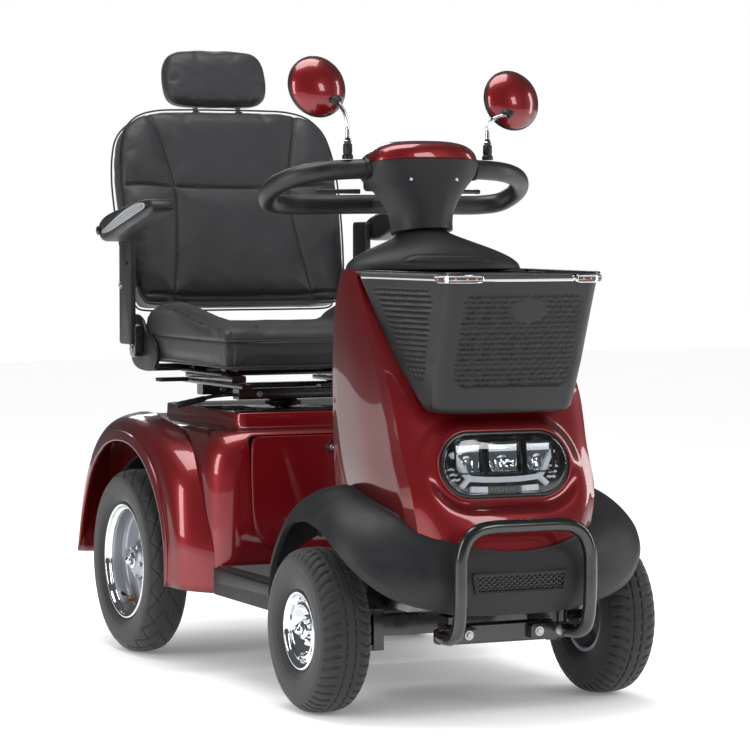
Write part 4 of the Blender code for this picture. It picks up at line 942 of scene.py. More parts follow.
class SCOOTER_OT_battery_door(bpy.types.Operator):
    """Builds the battery door: a shallow crowned panel with a soft diagonal crease, and its lock"""

    bl_idname = "scooter.battery_door"
    bl_label = "Battery door and lock"

    def execute(self, context):
        outline = even(door_outline(), 160, closed=True)
        centre = np.array([0.0, 0.390])
        shares = np.concatenate([[0.0, 0.02, 0.12], np.linspace(0.2, 0.94, 26), [0.972, 0.988, 1.0]])
        flat = centre + (outline - centre) * shares[:, None, None]
        x, z = flat[..., 0], flat[..., 1]
        edge = np.clip((1 - shares)[:, None] / 0.012, 0, 1)
        roll = 0.0014 * (1 - np.sqrt(np.maximum(1 - (1 - edge) ** 2, 0)))
        # each crease falls from the upper middle of its half to the door's foot, and fades out at both ends
        push = np.zeros_like(x)
        for side in (-1, 1):
            along = (0.470 - z) / 0.170
            line = side * (0.166 - 0.052 * along)
            gap = (x - line) * side
            fade = smoothstep(-0.25, 0.1, along) * smoothstep(1.15, 0.75, along)
            push += fade * 0.0030 * np.where(gap > 0, np.exp(-(gap / 0.040) ** 2), np.exp(-(gap / 0.009) ** 2))
        y = -0.0115 - 0.0005 + roll - push * smoothstep(1.0, 0.85, shares)[:, None]
        front = np.stack([x, y, z], -1)
        back = np.stack([x[::-1], np.full_like(x, -0.0085), z[::-1]], -1)
        door = surface("battery_door_panel", np.concatenate([front, back[:1], back[-2:-1]])[:, ::-1], wrap=True,
                       fill=True, uv=False)
        hole = surface("tool", lathed([(0.0128, -0.03), (0.0128, 0.03)], (-0.051, -0.010, 0.485), (0, 1, 0), 40),
                       wrap=True, fill=True, uv=False)
        cut(door, hole)
        finish(door, "battery_door", MATERIALS["paint"], "red_paint", ["battery_door"])
        at = (-0.051, -0.0105, 0.485)
        bezel = [(0.0080, -0.0006), (0.0086, 0.0014), (0.0100, 0.0026), (0.0112, 0.0026), (0.0119, 0.0016),
                 (0.0122, 0.0004), (0.0122, -0.0080), (0.0080, -0.0080)]
        ring = surface("door_lock_bezel", lathed(bezel, at, (0, -1, 0), 48), wrap_rows=True, wrap=True)
        finish(ring, "door_lock", MATERIALS["gloss_black"], "chrome", ["door_lock"], angle=60)
        plug_shape = [(0.0002, 0.0012), (0.0052, 0.0012), (0.0056, 0.0008), (0.0058, 0.0002), (0.0079, -0.0002),
                      (0.0079, -0.0110), (0.0002, -0.0110)]
        plug = surface("door_lock_plug", lathed(plug_shape, at, (0, -1, 0), 40), wrap=True, fill=True)
        cut(plug, box_tool((-0.0520, -0.0145, 0.4815), (-0.0500, -0.0095, 0.4885)))
        finish(plug, "door_lock", MATERIALS["chrome"], "chrome")
        cam = surface("door_lock_cam", slab(stadium(0.012, 0.0055, 8), 0.003, 0.0006, (-0.051, 0.0025, 0.4925),
                                            (0, 0, 1), (1, 0, 0)), wrap=True, fill=True)
        finish(cam, "door_lock", MATERIALS["zinc"], "chrome")
        return {"FINISHED"}


# Lip and seam of the rear fenders, as (y, z): from the tail over the wheel to the lower front corner
FENDER_LIP = [(0.668, 0.208), (0.635, 0.300), (0.580, 0.395), (0.505, 0.455), (0.415, 0.480), (0.310, 0.476),
              (0.215, 0.435), (0.145, 0.365), (0.105, 0.280), (0.098, 0.185)]
FENDER_SEAM = [(0.700, 0.200), (0.690, 0.330), (0.640, 0.445), (0.540, 0.522), (0.418, 0.545), (0.279, 0.531),
               (0.150, 0.492), (0.066, 0.420), (0.020, 0.300), (0.004, 0.172)]


def body_half_width(y, z):
    """How far the seat base's side stands out at a place, round its corners and up its shoulder."""
    table = np.array(body_levels())
    half_x, half_y, radius = (np.interp(z, table[:, 0], table[:, k]) for k in (1, 2, 3))
    over = np.abs(y - BODY_MIDDLE_Y) - (half_y - radius)
    round_off = radius - np.sqrt(np.maximum(radius ** 2 - np.clip(over, 0, radius) ** 2, 0))
    return np.maximum(half_x, 0.318) - np.minimum(round_off, 0.040)


def fender_net(side):
    """Rows run along the arch. Each row goes from the lip's inner edge over a flat band, a crease and the crown.

    The band lies almost square to the axle, 20 mm wide, and the crown bulges out past the straight line from
    the crease to the seam by the 0.6 power of its share.
    """
    lip = np.array(FENDER_LIP)
    seam = np.array(FENDER_SEAM)
    lip3 = np.column_stack([np.full(len(lip), 0.400), lip])
    seam3 = np.column_stack([body_half_width(seam[:, 0], seam[:, 1]) + 0.0012, seam])
    out = seam - lip
    out = out / np.linalg.norm(out, axis=1, keepdims=True)
    width = np.array([0.010, 0.017, 0.021, 0.023, 0.023, 0.022, 0.021, 0.019, 0.014, 0.008])[:, None]
    crease = lip3 + np.column_stack([np.full(len(lip), -0.0035), out * width])
    under = lip3 + np.column_stack([np.full(len(lip), -0.0120), out * 0.0012])
    edge = lip3 + np.column_stack([np.full(len(lip), -0.0010), out * 0.0004])
    rows = [under, lip3 + np.column_stack([np.full(len(lip), -0.0045), -out * 0.0006]), edge,
            lip3 + np.column_stack([np.full(len(lip), -0.0002), out * 0.0030]),
            crease - np.column_stack([np.full(len(lip), -0.0006), out * 0.0030]), crease,
            crease + np.column_stack([np.full(len(lip), -0.0045), out * 0.0024])]
    start = rows[-1]
    swell = np.array([0.45, 0.7, 0.9, 1.0, 1.05, 1.05, 1.0, 0.95, 0.8, 0.5])[:, None]
    for share in (0.16, 0.34, 0.54, 0.74, 0.90, 0.975):
        along = np.column_stack([np.full(len(lip), share), np.full((len(lip), 2), share ** 0.62)])
        point = start + (seam3 - start) * along
        bulge = math.sin(math.pi * share ** 0.85)
        point += np.column_stack([0.0085 * bulge * swell, out * 0.004 * bulge * swell])
        rows.append(point)
    rows.append(seam3)
    # past the seam the skin turns in, and down onto the deck where the arch stands above it
    drop = np.maximum(seam3[:, 2] - 0.5180, 0)[:, None]
    rows.append(seam3 + np.column_stack([np.full(len(lip), -0.0040), -out * 0.0010]) - drop * [0, 0, 0.10])
    rows.append(seam3 + np.column_stack([np.full(len(lip), -0.0300), -out * 0.0060]) - drop * [0, 0, 0.55])
    rows.append(seam3 + np.column_stack([np.full(len(lip), -0.0620), -out * 0.0060]) - drop * [0, 0, 1.0])
    rows = np.array(rows).transpose(1, 0, 2)
    grid = net(rows, 7, 4, sharp=(0, 2, 5, len(rows[0]) - 4))
    return grid * [side, 1, 1]


class SCOOTER_OT_rear_fenders(bpy.types.Operator):
    """Builds the two flared rear fenders"""

    bl_idname = "scooter.rear_fenders"
    bl_label = "Rear fenders"

    def execute(self, context):
        for word, side in SIDES:
            shell = surface("rear_fender_flare_" + word, fender_net(side), outward=(side, 0, 0.4))
            finish(shell, "chassis", MATERIALS["paint"], "red_paint", ["rear_fender_" + word], wall=0.003,
                   angle=34)
        return {"FINISHED"}


# ---------------------------------------------------------------- front column

LAMP_AT = np.array([0.0, -0.750, 0.499])
LAMP_FACE = unit([0.0, -0.985, 0.174])
LAMP_UP = np.cross(LAMP_FACE, [1.0, 0, 0])
LAMP_HALF_X, LAMP_HALF_Z = 0.143, 0.066

# Level, then the (x, y) points of the left half of a section, from the rear middle round to the front middle:
# rear middle, rear panel, rear corner, rear side, three feature lines, corner and front
COLUMN_LEVELS = [
    (0.290, (0, -0.331), (0.100, -0.337), (0.184, -0.385), (0.197, -0.398), (0.2030, -0.470), (0.2040, -0.600),
     (0.1950, -0.716), (0.1830, -0.748), (0.148, -0.778), (0.074, -0.793), (0, -0.796)),
    (0.340, (0, -0.331), (0.100, -0.337), (0.186, -0.385), (0.199, -0.398), (0.2050, -0.470), (0.2060, -0.600),
     (0.1980, -0.722), (0.1860, -0.752), (0.150, -0.782), (0.075, -0.797), (0, -0.800)),
    (0.436, (0, -0.331), (0.103, -0.337), (0.197, -0.385), (0.209, -0.398), (0.2160, -0.470), (0.2195, -0.590),
     (0.2110, -0.718), (0.2015, -0.751), (0.160, -0.768), (0.080, -0.773), (0, -0.774)),
    (0.530, (0, -0.331), (0.106, -0.337), (0.203, -0.385), (0.214, -0.398), (0.2195, -0.455), (0.2215, -0.562),
     (0.2140, -0.678), (0.2065, -0.709), (0.165, -0.722), (0.082, -0.735), (0, -0.737)),
    (0.640, (0, -0.331), (0.108, -0.337), (0.206, -0.385), (0.216, -0.398), (0.2195, -0.440), (0.2215, -0.531),
     (0.2155, -0.634), (0.2105, -0.665), (0.168, -0.676), (0.084, -0.684), (0, -0.686)),
    (0.730, (0, -0.331), (0.107, -0.337), (0.205, -0.386), (0.215, -0.398), (0.2175, -0.430), (0.2175, -0.495),
     (0.2105, -0.570), (0.2060, -0.592), (0.165, -0.598), (0.083, -0.602), (0, -0.603)),
    (0.815, (0, -0.334), (0.105, -0.340), (0.202, -0.390), (0.210, -0.400), (0.2100, -0.421), (0.2075, -0.458),
     (0.2010, -0.498), (0.1975, -0.512), (0.160, -0.515), (0.080, -0.517), (0, -0.518)),
    (0.880, (0, -0.341), (0.100, -0.347), (0.190, -0.397), (0.198, -0.404), (0.1990, -0.413), (0.1970, -0.430),
     (0.1925, -0.446), (0.1900, -0.453), (0.150, -0.454), (0.075, -0.455), (0, -0.455)),
]


def column_grid():
    """The front column's sections joined level by level, with creases along the rear corner and side lines.

    Around the lamp the skin is drawn onto the lamp's plane: a raised collar that fades over 30 mm.
    """
    rows = []
    for z, *half in COLUMN_LEVELS:
        half = np.array(half, float)
        ring = np.concatenate([half, (half[1:-1] * [-1, 1])[::-1]])
        rows.append(np.column_stack([ring, np.full(len(ring), z)]))
    sharp = [2, 3, 6, 7]
    sharp += [20 - k for k in sharp]
    grid = net(rows, 20, 12, wrap=True, sharp=sorted(sharp))
    local = grid - LAMP_AT
    across, up = local[..., 0], local @ LAMP_UP
    # distance outside the lamp's stadium
    straight = LAMP_HALF_X - LAMP_HALF_Z
    reach = np.hypot(np.maximum(np.abs(across) - straight, 0), up) - LAMP_HALF_Z
    depth = local @ LAMP_FACE
    front = local[..., 1] < 0.15
    weight = np.where(front & (grid[..., 1] < -0.60), 1 - smoothstep(0.006, 0.036, reach), 0.0)
    target = 0.002 - 0.008 * smoothstep(-0.02, 0.03, reach)
    grid = grid + (weight * (target - depth))[..., None] * LAMP_FACE
    return grid


class SCOOTER_OT_front_column(bpy.types.Operator):
    """Builds the painted front column, with its creases, the raised collar and the lamp's window"""

    bl_idname = "scooter.front_column"
    bl_label = "Front column"

    def execute(self, context):
        column = surface("front_column_skin", column_grid(), wrap=True, outward=(0, -1, 0), uv=False)
        # an open tube: its faces are turned by the sign of their distance from the column's middle line
        mesh = column.data
        centre = Vector((0, -0.53, 0.6))
        total = sum((f.center - Vector((0, f.center.y * 0 + centre.y, f.center.z))).dot(f.normal) * f.area
                    for f in mesh.polygons)
        if total < 0:
            mesh.flip_normals()
        solid = column.modifiers.new("wall", "SOLIDIFY")
        solid.thickness, solid.offset = 0.0035, -1.0
        bake(column)
        window = stadium(LAMP_HALF_X + 0.0012, LAMP_HALF_Z + 0.0012, 20)
        rows = [LAMP_AT + window[:, :1] * [1, 0, 0] + window[:, 1:] * LAMP_UP + h * LAMP_FACE
                for h in (-0.05, 0.06)]
        cut(column, surface("tool", np.array(rows), wrap=True, fill=True, uv=False))
        finish(column, "chassis", MATERIALS["paint"], "red_paint", ["front_shroud"], angle=26)
        # the bead round the window
        path = stadium(LAMP_HALF_X + 0.0022, LAMP_HALF_Z + 0.0022, 28)
        path3 = LAMP_AT + path[:, :1] * [1, 0, 0] + path[:, 1:] * LAMP_UP + LAMP_FACE * 0.0022
        bead = surface("lamp_bead", swept(path3, circle(0.0024, 12), closed=True), wrap_rows=True, wrap=True)
        finish(bead, "chassis", MATERIALS["paint"], "red_paint")
        return {"FINISHED"}


# ---------------------------------------------------------------- front fender and grille

FRONT_LIP = [(0.0, -0.792, 0.205), (0.100, -0.792, 0.207), (0.170, -0.790, 0.220), (0.220, -0.783, 0.232),
             (0.275, -0.765, 0.257), (0.318, -0.730, 0.298), (0.338, -0.690, 0.335), (0.343, -0.640, 0.362),
             (0.342, -0.580, 0.376), (0.338, -0.517, 0.378), (0.346, -0.452, 0.358), (0.353, -0.400, 0.280),
             (0.347, -0.368, 0.221)]
FRONT_CROWN = [(0.0, -0.812, 0.332), (0.070, -0.806, 0.338), (0.115, -0.796, 0.348), (0.158, -0.775, 0.362),
               (0.190, -0.735, 0.385), (0.207, -0.700, 0.402), (0.222, -0.650, 0.418), (0.230, -0.600, 0.430),
               (0.232, -0.550, 0.442), (0.231, -0.500, 0.447), (0.228, -0.430, 0.430), (0.226, -0.365, 0.390),
               (0.226, -0.338, 0.330)]
FRONT_BULGE = [(0.0, -0.020, 0.0), (0.0, -0.020, 0.0), (0.0, -0.022, 0.0), (0.004, -0.022, 0.002),
               (0.008, -0.020, 0.008), (0.010, -0.014, 0.014), (0.008, -0.008, 0.018), (0.006, -0.002, 0.020),
               (0.004, 0.0, 0.020), (0.004, 0.004, 0.020), (0.008, 0.010, 0.018), (0.012, 0.014, 0.014),
               (0.010, 0.012, 0.008)]
GRILLE_AT = np.array([0.0, -0.820, 0.2716])


def front_fender_net():
    """Rows run from the left end round the front to the right end; each goes from a rolled lip to the crown.

    The skin leaves the lip along its bulge, most at two fifths of the way up, and meets the crown flat.
    """
    lip, crown, bulge = (np.array(a, float) for a in (FRONT_LIP, FRONT_CROWN, FRONT_BULGE))
    shares = ((0.0, 0.0), (0.045, 0.26), (0.10, 0.55), (0.24, 0.92), (0.40, 1.1), (0.56, 1.04), (0.72, 0.85),
              (0.87, 0.46), (0.97, 0.10), (1.0, 0.0))
    rows = [lip + (crown - lip) * share + bulge * swell for share, swell in shares]
    # the lip's flange turns under, towards the wheel
    inward = unit(np.column_stack([-lip[:, 0] * 0.9, -(lip[:, 1] + 0.56) * 0.4, np.zeros(len(lip))]))
    flange = [rows[0] + inward * 0.0120 + [0, 0, 0.0006], rows[0] + inward * 0.0040 - [0, 0, 0.0004]]
    # the crown's edge dips in behind the painted column
    dip = crown + unit(np.column_stack([-crown[:, 0], -(crown[:, 1] + 0.53), np.zeros(len(lip))])) * 0.012
    rows = flange + rows + [dip - [0, 0, 0.004]]
    half = np.array(rows).transpose(1, 0, 2)
    whole = np.concatenate([half[::-1] * [-1, 1, 1], half[1:]])
    return net(whole, 7, 4, sharp=(2,))


class SCOOTER_OT_front_fender(bpy.types.Operator):
    """Builds the front fender moulding and the woven grille in its window"""

    bl_idname = "scooter.front_fender"
    bl_label = "Front fender and grille"

    def execute(self, context):
        shell = surface("front_fender_skin", front_fender_net(), outward=(0, -0.5, 1), uv=False)
        wall = shell.modifiers.new("wall", "SOLIDIFY")
        wall.thickness, wall.offset = 0.003, -1.0
        bake(shell)
        top, foot, half = 0.1025, 0.0965, 0.0191
        cut(shell, plate_tool(inset(np.array([(-top, 0.2716 + half), (-foot, 0.2716 - half),
                                              (foot, 0.2716 - half), (top, 0.2716 + half)]), 0.0),
                              -0.860, -0.790))
        finish(shell, "chassis", MATERIALS["grey_plastic"], "dark_plastic", ["front_fender"], bevel=0.0008,
               angle=38)
        corners = np.array([(-0.1015, 0.0183), (-0.0955, -0.0183), (0.0955, -0.0183), (0.1015, 0.0183)])
        outline = even(corners, 160, closed=True)
        path = np.column_stack([outline[:, 0], np.full(160, -0.8225), outline[:, 1] + 0.2716])
        frame_ring = surface("grille_frame", swept(path, rounded_box(0.0022, 0.0040, 0.0012, 3), closed=True,
                                                   across=(0, 1, 0)), wrap_rows=True, wrap=True)
        finish(frame_ring, "chassis", MATERIALS["black_plastic"], "black_plastic")
        # woven relief: strands run both ways along the diagonals, and each dips under the next by turns
        u, v = np.meshgrid(np.linspace(-1, 1, 300), np.linspace(-1, 1, 60))
        x, z = u * (0.0985 + 0.003 * v), v * 0.0178
        pitch = 0.0125
        a, b = (x + z * 1.25) / pitch, (x - z * 1.25) / pitch
        over = (np.floor(a) + np.floor(b)) % 2
        first = np.abs(np.sin(math.pi * a)) ** 0.6
        second = np.abs(np.sin(math.pi * b)) ** 0.6
        height = np.where(over > 0.5, first * (0.5 + 0.5 * second), second * (0.5 + 0.5 * first) * 0.85)
        y = -0.8200 - 0.0034 * height
        weave = surface("grille_weave", np.stack([x, y, z + 0.2716], -1), outward=(0, -1, 0))
        finish(weave, "chassis", MATERIALS["gloss_black"], "black_plastic", ["grille"], wall=0.002, angle=70)
        return {"FINISHED"}


# ---------------------------------------------------------------- headlight


def on_lamp(across, up, out):
    """A point given across, up and out from the middle of the lamp's face."""
    across, up, out = np.broadcast_arrays(*(np.asarray(a, float) for a in (across, up, out)))
    return LAMP_AT + across[..., None] * [1.0, 0, 0] + up[..., None] * LAMP_UP + out[..., None] * LAMP_FACE


def lamp_plate(name, outline, low, high, edge=0.0006):
    """A small solid over an (across, up) outline, from one depth to another, its front edge drawn in."""
    outline = np.asarray(outline, float)
    rows = [on_lamp(outline[:, 0], outline[:, 1], low), on_lamp(outline[:, 0], outline[:, 1], high - edge)]
    drawn = inset(outline, edge)
    rows.append(on_lamp(drawn[:, 0], drawn[:, 1], high))
    return surface(name, np.array(rows), wrap=True, fill=True)


def band(points, width):
    """The outline of a band of one width along a line of (across, up) points."""
    points = np.asarray(points, float)
    along = unit(np.gradient(points, axis=0))
    aside = np.stack([-along[:, 1], along[:, 0]], 1) * width / 2
    return np.concatenate([points + aside, (points - aside)[::-1]])


class SCOOTER_OT_headlight(bpy.types.Operator):
    """Builds the headlight: pan, reflector cells, light guide, ribs and the domed clear lens"""

    bl_idname = "scooter.headlight"
    bl_label = "Headlight"

    def execute(self, context):
        half_x, half_z = LAMP_HALF_X, LAMP_HALF_Z
        rows = []
        for grow, out in ((-0.0040, -0.0200), (0.0, -0.0190), (0.0, 0.0020), (-0.0020, 0.0036), (-0.0062, 0.0036),
                          (-0.0070, 0.0024), (-0.0090, -0.0120), (-0.0110, -0.0140)):
            ring = stadium(half_x + grow, half_z + grow, 24)
            rows.append(on_lamp(ring[:, 0], ring[:, 1], out))
        pan = surface("headlight_pan", np.array(rows), wrap=True, fill=True)
        finish(pan, "chassis", MATERIALS["gloss_black"], "black_plastic", ["headlight_housing"], angle=45)

        # three chrome reflector cells, each a deep bowl with facets, behind the upper part of the lens
        cells = []
        for middle_x, half in ((-0.078, 0.028), (0.0, 0.034), (0.078, 0.028)):
            u, v = np.meshgrid(np.linspace(-1, 1, 25), np.linspace(-1, 1, 21))
            bowl = 0.0095 * (np.abs(u) ** 2.4 + np.abs(v) ** 2.4) / 2
            facet = 0.0012 * np.abs(((u * 3) % 1) - 0.5) + 0.0008 * np.abs(((v * 3.5) % 1) - 0.5)
            slope = 1 - 0.22 * np.clip(-v, 0, 1)
            x = middle_x + u * half * slope
            cells.append(surface("cell", on_lamp(x, 0.014 + v * 0.028, -0.0128 + bowl + facet),
                                 outward=(0, -1, 0)))
        reflector = joined("headlight_reflectors", cells)
        finish(reflector, "chassis", MATERIALS["chrome"], "chrome", wall=0.0012, angle=12)
        frames = []
        for middle_x, half in ((-0.078, 0.0300), (0.0, 0.0360), (0.078, 0.0300)):
            ring = rounded_box(half, 0.0300, 0.004, 4)
            path = on_lamp(middle_x + ring[:, 0], 0.014 + ring[:, 1], -0.0030)
            frames.append(surface("frame", swept(path, rounded_box(0.0016, 0.0070, 0.0008, 3), closed=True,
                                                 across=unit(np.column_stack(
                                                     [ring[:, 0], np.zeros(len(ring)), ring[:, 1]]))),
                                  wrap_rows=True, wrap=True))
        finish(joined("headlight_cell_frames", frames), "chassis", MATERIALS["gloss_black"], "black_plastic",
               angle=50)
        bulbs = [surface("bulb", lathed([(0.0002, 0.0100), (0.0040, 0.0086), (0.0066, 0.0050), (0.0078, 0.0),
                                         (0.0002, -0.0010)], on_lamp(x, 0.012, -0.0110), LAMP_FACE, 28),
                         wrap=True, fill=True) for x in (-0.078, 0.0, 0.078)]
        finish(joined("headlight_projectors", bulbs), "chassis", MATERIALS["lens"], "clear_lens")

        # the light guide: a bar along the foot whose ends fork up the sides and down to the corners
        guides = []
        bar = np.array([(-0.078, -0.0258), (-0.040, -0.0292), (0.0, -0.0300), (0.040, -0.0292), (0.078, -0.0258)])
        guides.append(lamp_plate("bar", band(curve(bar, 8), 0.0105), -0.0125, -0.0010))
        for _, side in SIDES:
            arm = curve([(side * 0.0765, -0.0262), (side * 0.0870, -0.0135), (side * 0.0990, 0.0080),
                         (side * 0.1115, 0.0260)], 6)
            guides.append(lamp_plate("arm", band(arm, 0.0100), -0.0125, -0.0008))
            tail = curve([(side * 0.0765, -0.0258), (side * 0.0850, -0.0330), (side * 0.0945, -0.0420)], 4)
            guides.append(lamp_plate("tail", band(tail, 0.0085), -0.0125, -0.0012))
        finish(joined("headlight_guide", guides), "chassis", MATERIALS["guide"], "clear_lens", angle=30)
        ribs, dark = [], []
        for k in range(24):
            x = -0.0720 + k * 0.00626
            level = -0.0470 - 0.0030 * (1 - (x / 0.08) ** 2)
            shape = rounded_box(0.0017, 0.0062, 0.0008, 3) + [x, level]
            white = k < 6 or k > 17
            (ribs if white else dark).append(lamp_plate("rib", shape, -0.0125, -0.0030 if white else -0.0060))
        for _, side in SIDES:
            for row in range(3):
                for column in range(2):
                    x = side * (0.1010 + 0.0095 * column + 0.0030 * row)
                    shape = rounded_box(0.0034, 0.0017, 0.0008, 3)
                    turn = math.radians(side * -24)
                    shape = shape @ np.array([(math.cos(turn), math.sin(turn)), (-math.sin(turn), math.cos(turn))])
                    ribs.append(lamp_plate("dash", shape + [x, -0.0275 + 0.0105 * row], -0.0125, -0.0030))
        finish(joined("headlight_white_ribs", ribs), "chassis", MATERIALS["guide"], "clear_lens", angle=30)
        finish(joined("headlight_dark_ribs", dark), "chassis", MATERIALS["gloss_black"], "black_plastic",
               angle=30)

        # the lens domes out by the square of the distance from its rim
        shares = np.array([0.0, 0.12, 0.3, 0.5, 0.7, 0.84, 0.93, 0.98, 1.0])
        rim = stadium(half_x - 0.0070, half_z - 0.0070, 24)
        rows = []
        for share in shares:
            swell = 0.0062 + 0.0075 * math.sqrt(max(1 - share ** 4, 0))
            ring = rim * share if share > 0 else rim * 1e-4
            rows.append(on_lamp(ring[:, 0], ring[:, 1], swell))
        lens = surface("headlight_cover", np.array(rows)[::-1], wrap=True, outward=(0, -1, 0))
        finish(lens, "chassis", MATERIALS["lens"], "clear_lens", ["headlight_lens"], wall=0.0022)
        return {"FINISHED"}


# ---------------------------------------------------------------- basket

# Level, half width at the front, half width at the rear, front y, rear y, corner radius
BASKET_LEVELS = [
    (0.6000, 0.100, 0.108, -0.7440, -0.7180, 0.012), (0.6008, 0.122, 0.132, -0.7500, -0.7130, 0.016),
    (0.6045, 0.138, 0.149, -0.7570, -0.7090, 0.022), (0.6120, 0.147, 0.158, -0.7615, -0.7040, 0.028),
    (0.6260, 0.1515, 0.1630, -0.7660, -0.6930, 0.032), (0.7000, 0.1590, 0.1775, -0.7900, -0.6200, 0.034),
    (0.7900, 0.1625, 0.1860, -0.8200, -0.5380, 0.034), (0.8740, 0.1660, 0.1928, -0.8478, -0.4695, 0.034),
]


def basket_section(z, front_x, rear_x, front_y, rear_y, radius):
    """A level section: a bowed front, round front corners, straight flaring sides, tight rear corners.

    It starts at the middle of the rear and has 8 + 26 + 12 + 40 points and back.
    """
    bow = 0.008
    slope = (rear_x - front_x) / (rear_y - front_y)
    side_y = front_y + radius
    side_x = front_x + slope * radius
    bend = np.linspace(0, math.pi / 2, 14)[1:-1]
    rear = [(t * (rear_x - 0.008), rear_y) for t in np.linspace(0, 1, 9)]
    tight = [(rear_x - 0.008 + 0.008 * math.sin(a), rear_y - 0.008 + 0.008 * math.cos(a)) for a in bend[::3]]
    flank = [(rear_x + (side_x - rear_x) * t, rear_y - 0.010 + (side_y - rear_y + 0.010) * t)
             for t in np.linspace(0, 1, 40)]
    corner = [(side_x - radius * (1 - math.cos(a)), side_y - radius * math.sin(a)) for a in bend]
    front = [(t * (side_x - radius), front_y - bow * (1 - t ** 2)) for t in np.linspace(1, 0, 36)]
    half = np.array(rear + tight + flank + corner + front)
    ring = np.concatenate([half, (half[1:-1] * [-1, 1])[::-1]])
    return np.column_stack([ring, np.full(len(ring), z)])


def basket_skin(count=130):
    """Sections at many levels, by straight interpolation between the listed levels above the round foot."""
    table = np.array(BASKET_LEVELS)
    levels = np.concatenate([table[:5, 0], np.linspace(0.632, 0.874, count)])
    columns = [np.interp(levels, table[:, 0], table[:, k]) for k in range(1, 6)]
    return np.array([basket_section(z, *values) for z, *values in zip(levels, *columns)])


def hexagons(u, v, pitch):
    """Distance from the nearest hexagon's edge, over the pitch: 0 on an edge and 0.5 in a middle."""
    a, b = np.array([1.0, 0.0]), np.array([0.5, math.sqrt(3) / 2])
    p = np.stack([u, v], -1) / pitch
    best = np.full(u.shape, 9.0)
    second = np.full(u.shape, 9.0)
    base_v = np.floor(p[..., 1] / b[1])
    base_u = np.floor(p[..., 0] - base_v * 0.5)
    for i in range(-1, 3):
        for j in range(-1, 3):
            centre = (base_u + i)[..., None] * a + (base_v + j)[..., None] * b
            d = np.linalg.norm(p - centre, axis=-1)
            second = np.where(d < best, best, np.minimum(second, d))
            best = np.minimum(best, d)
    return (second - best) / 2


def panel_mask(u, v, outline):
    """Signed distance inside a convex outline of (u, v) points, listed counter-clockwise."""
    outline = np.asarray(outline, float)
    inside = np.full(u.shape, 9.0)
    for a, b in zip(outline, np.roll(outline, -1, 0)):
        normal = unit(np.array([-(b - a)[1], (b - a)[0]]))
        inside = np.minimum(inside, (u - a[0]) * normal[0] + (v - a[1]) * normal[1])
    return inside


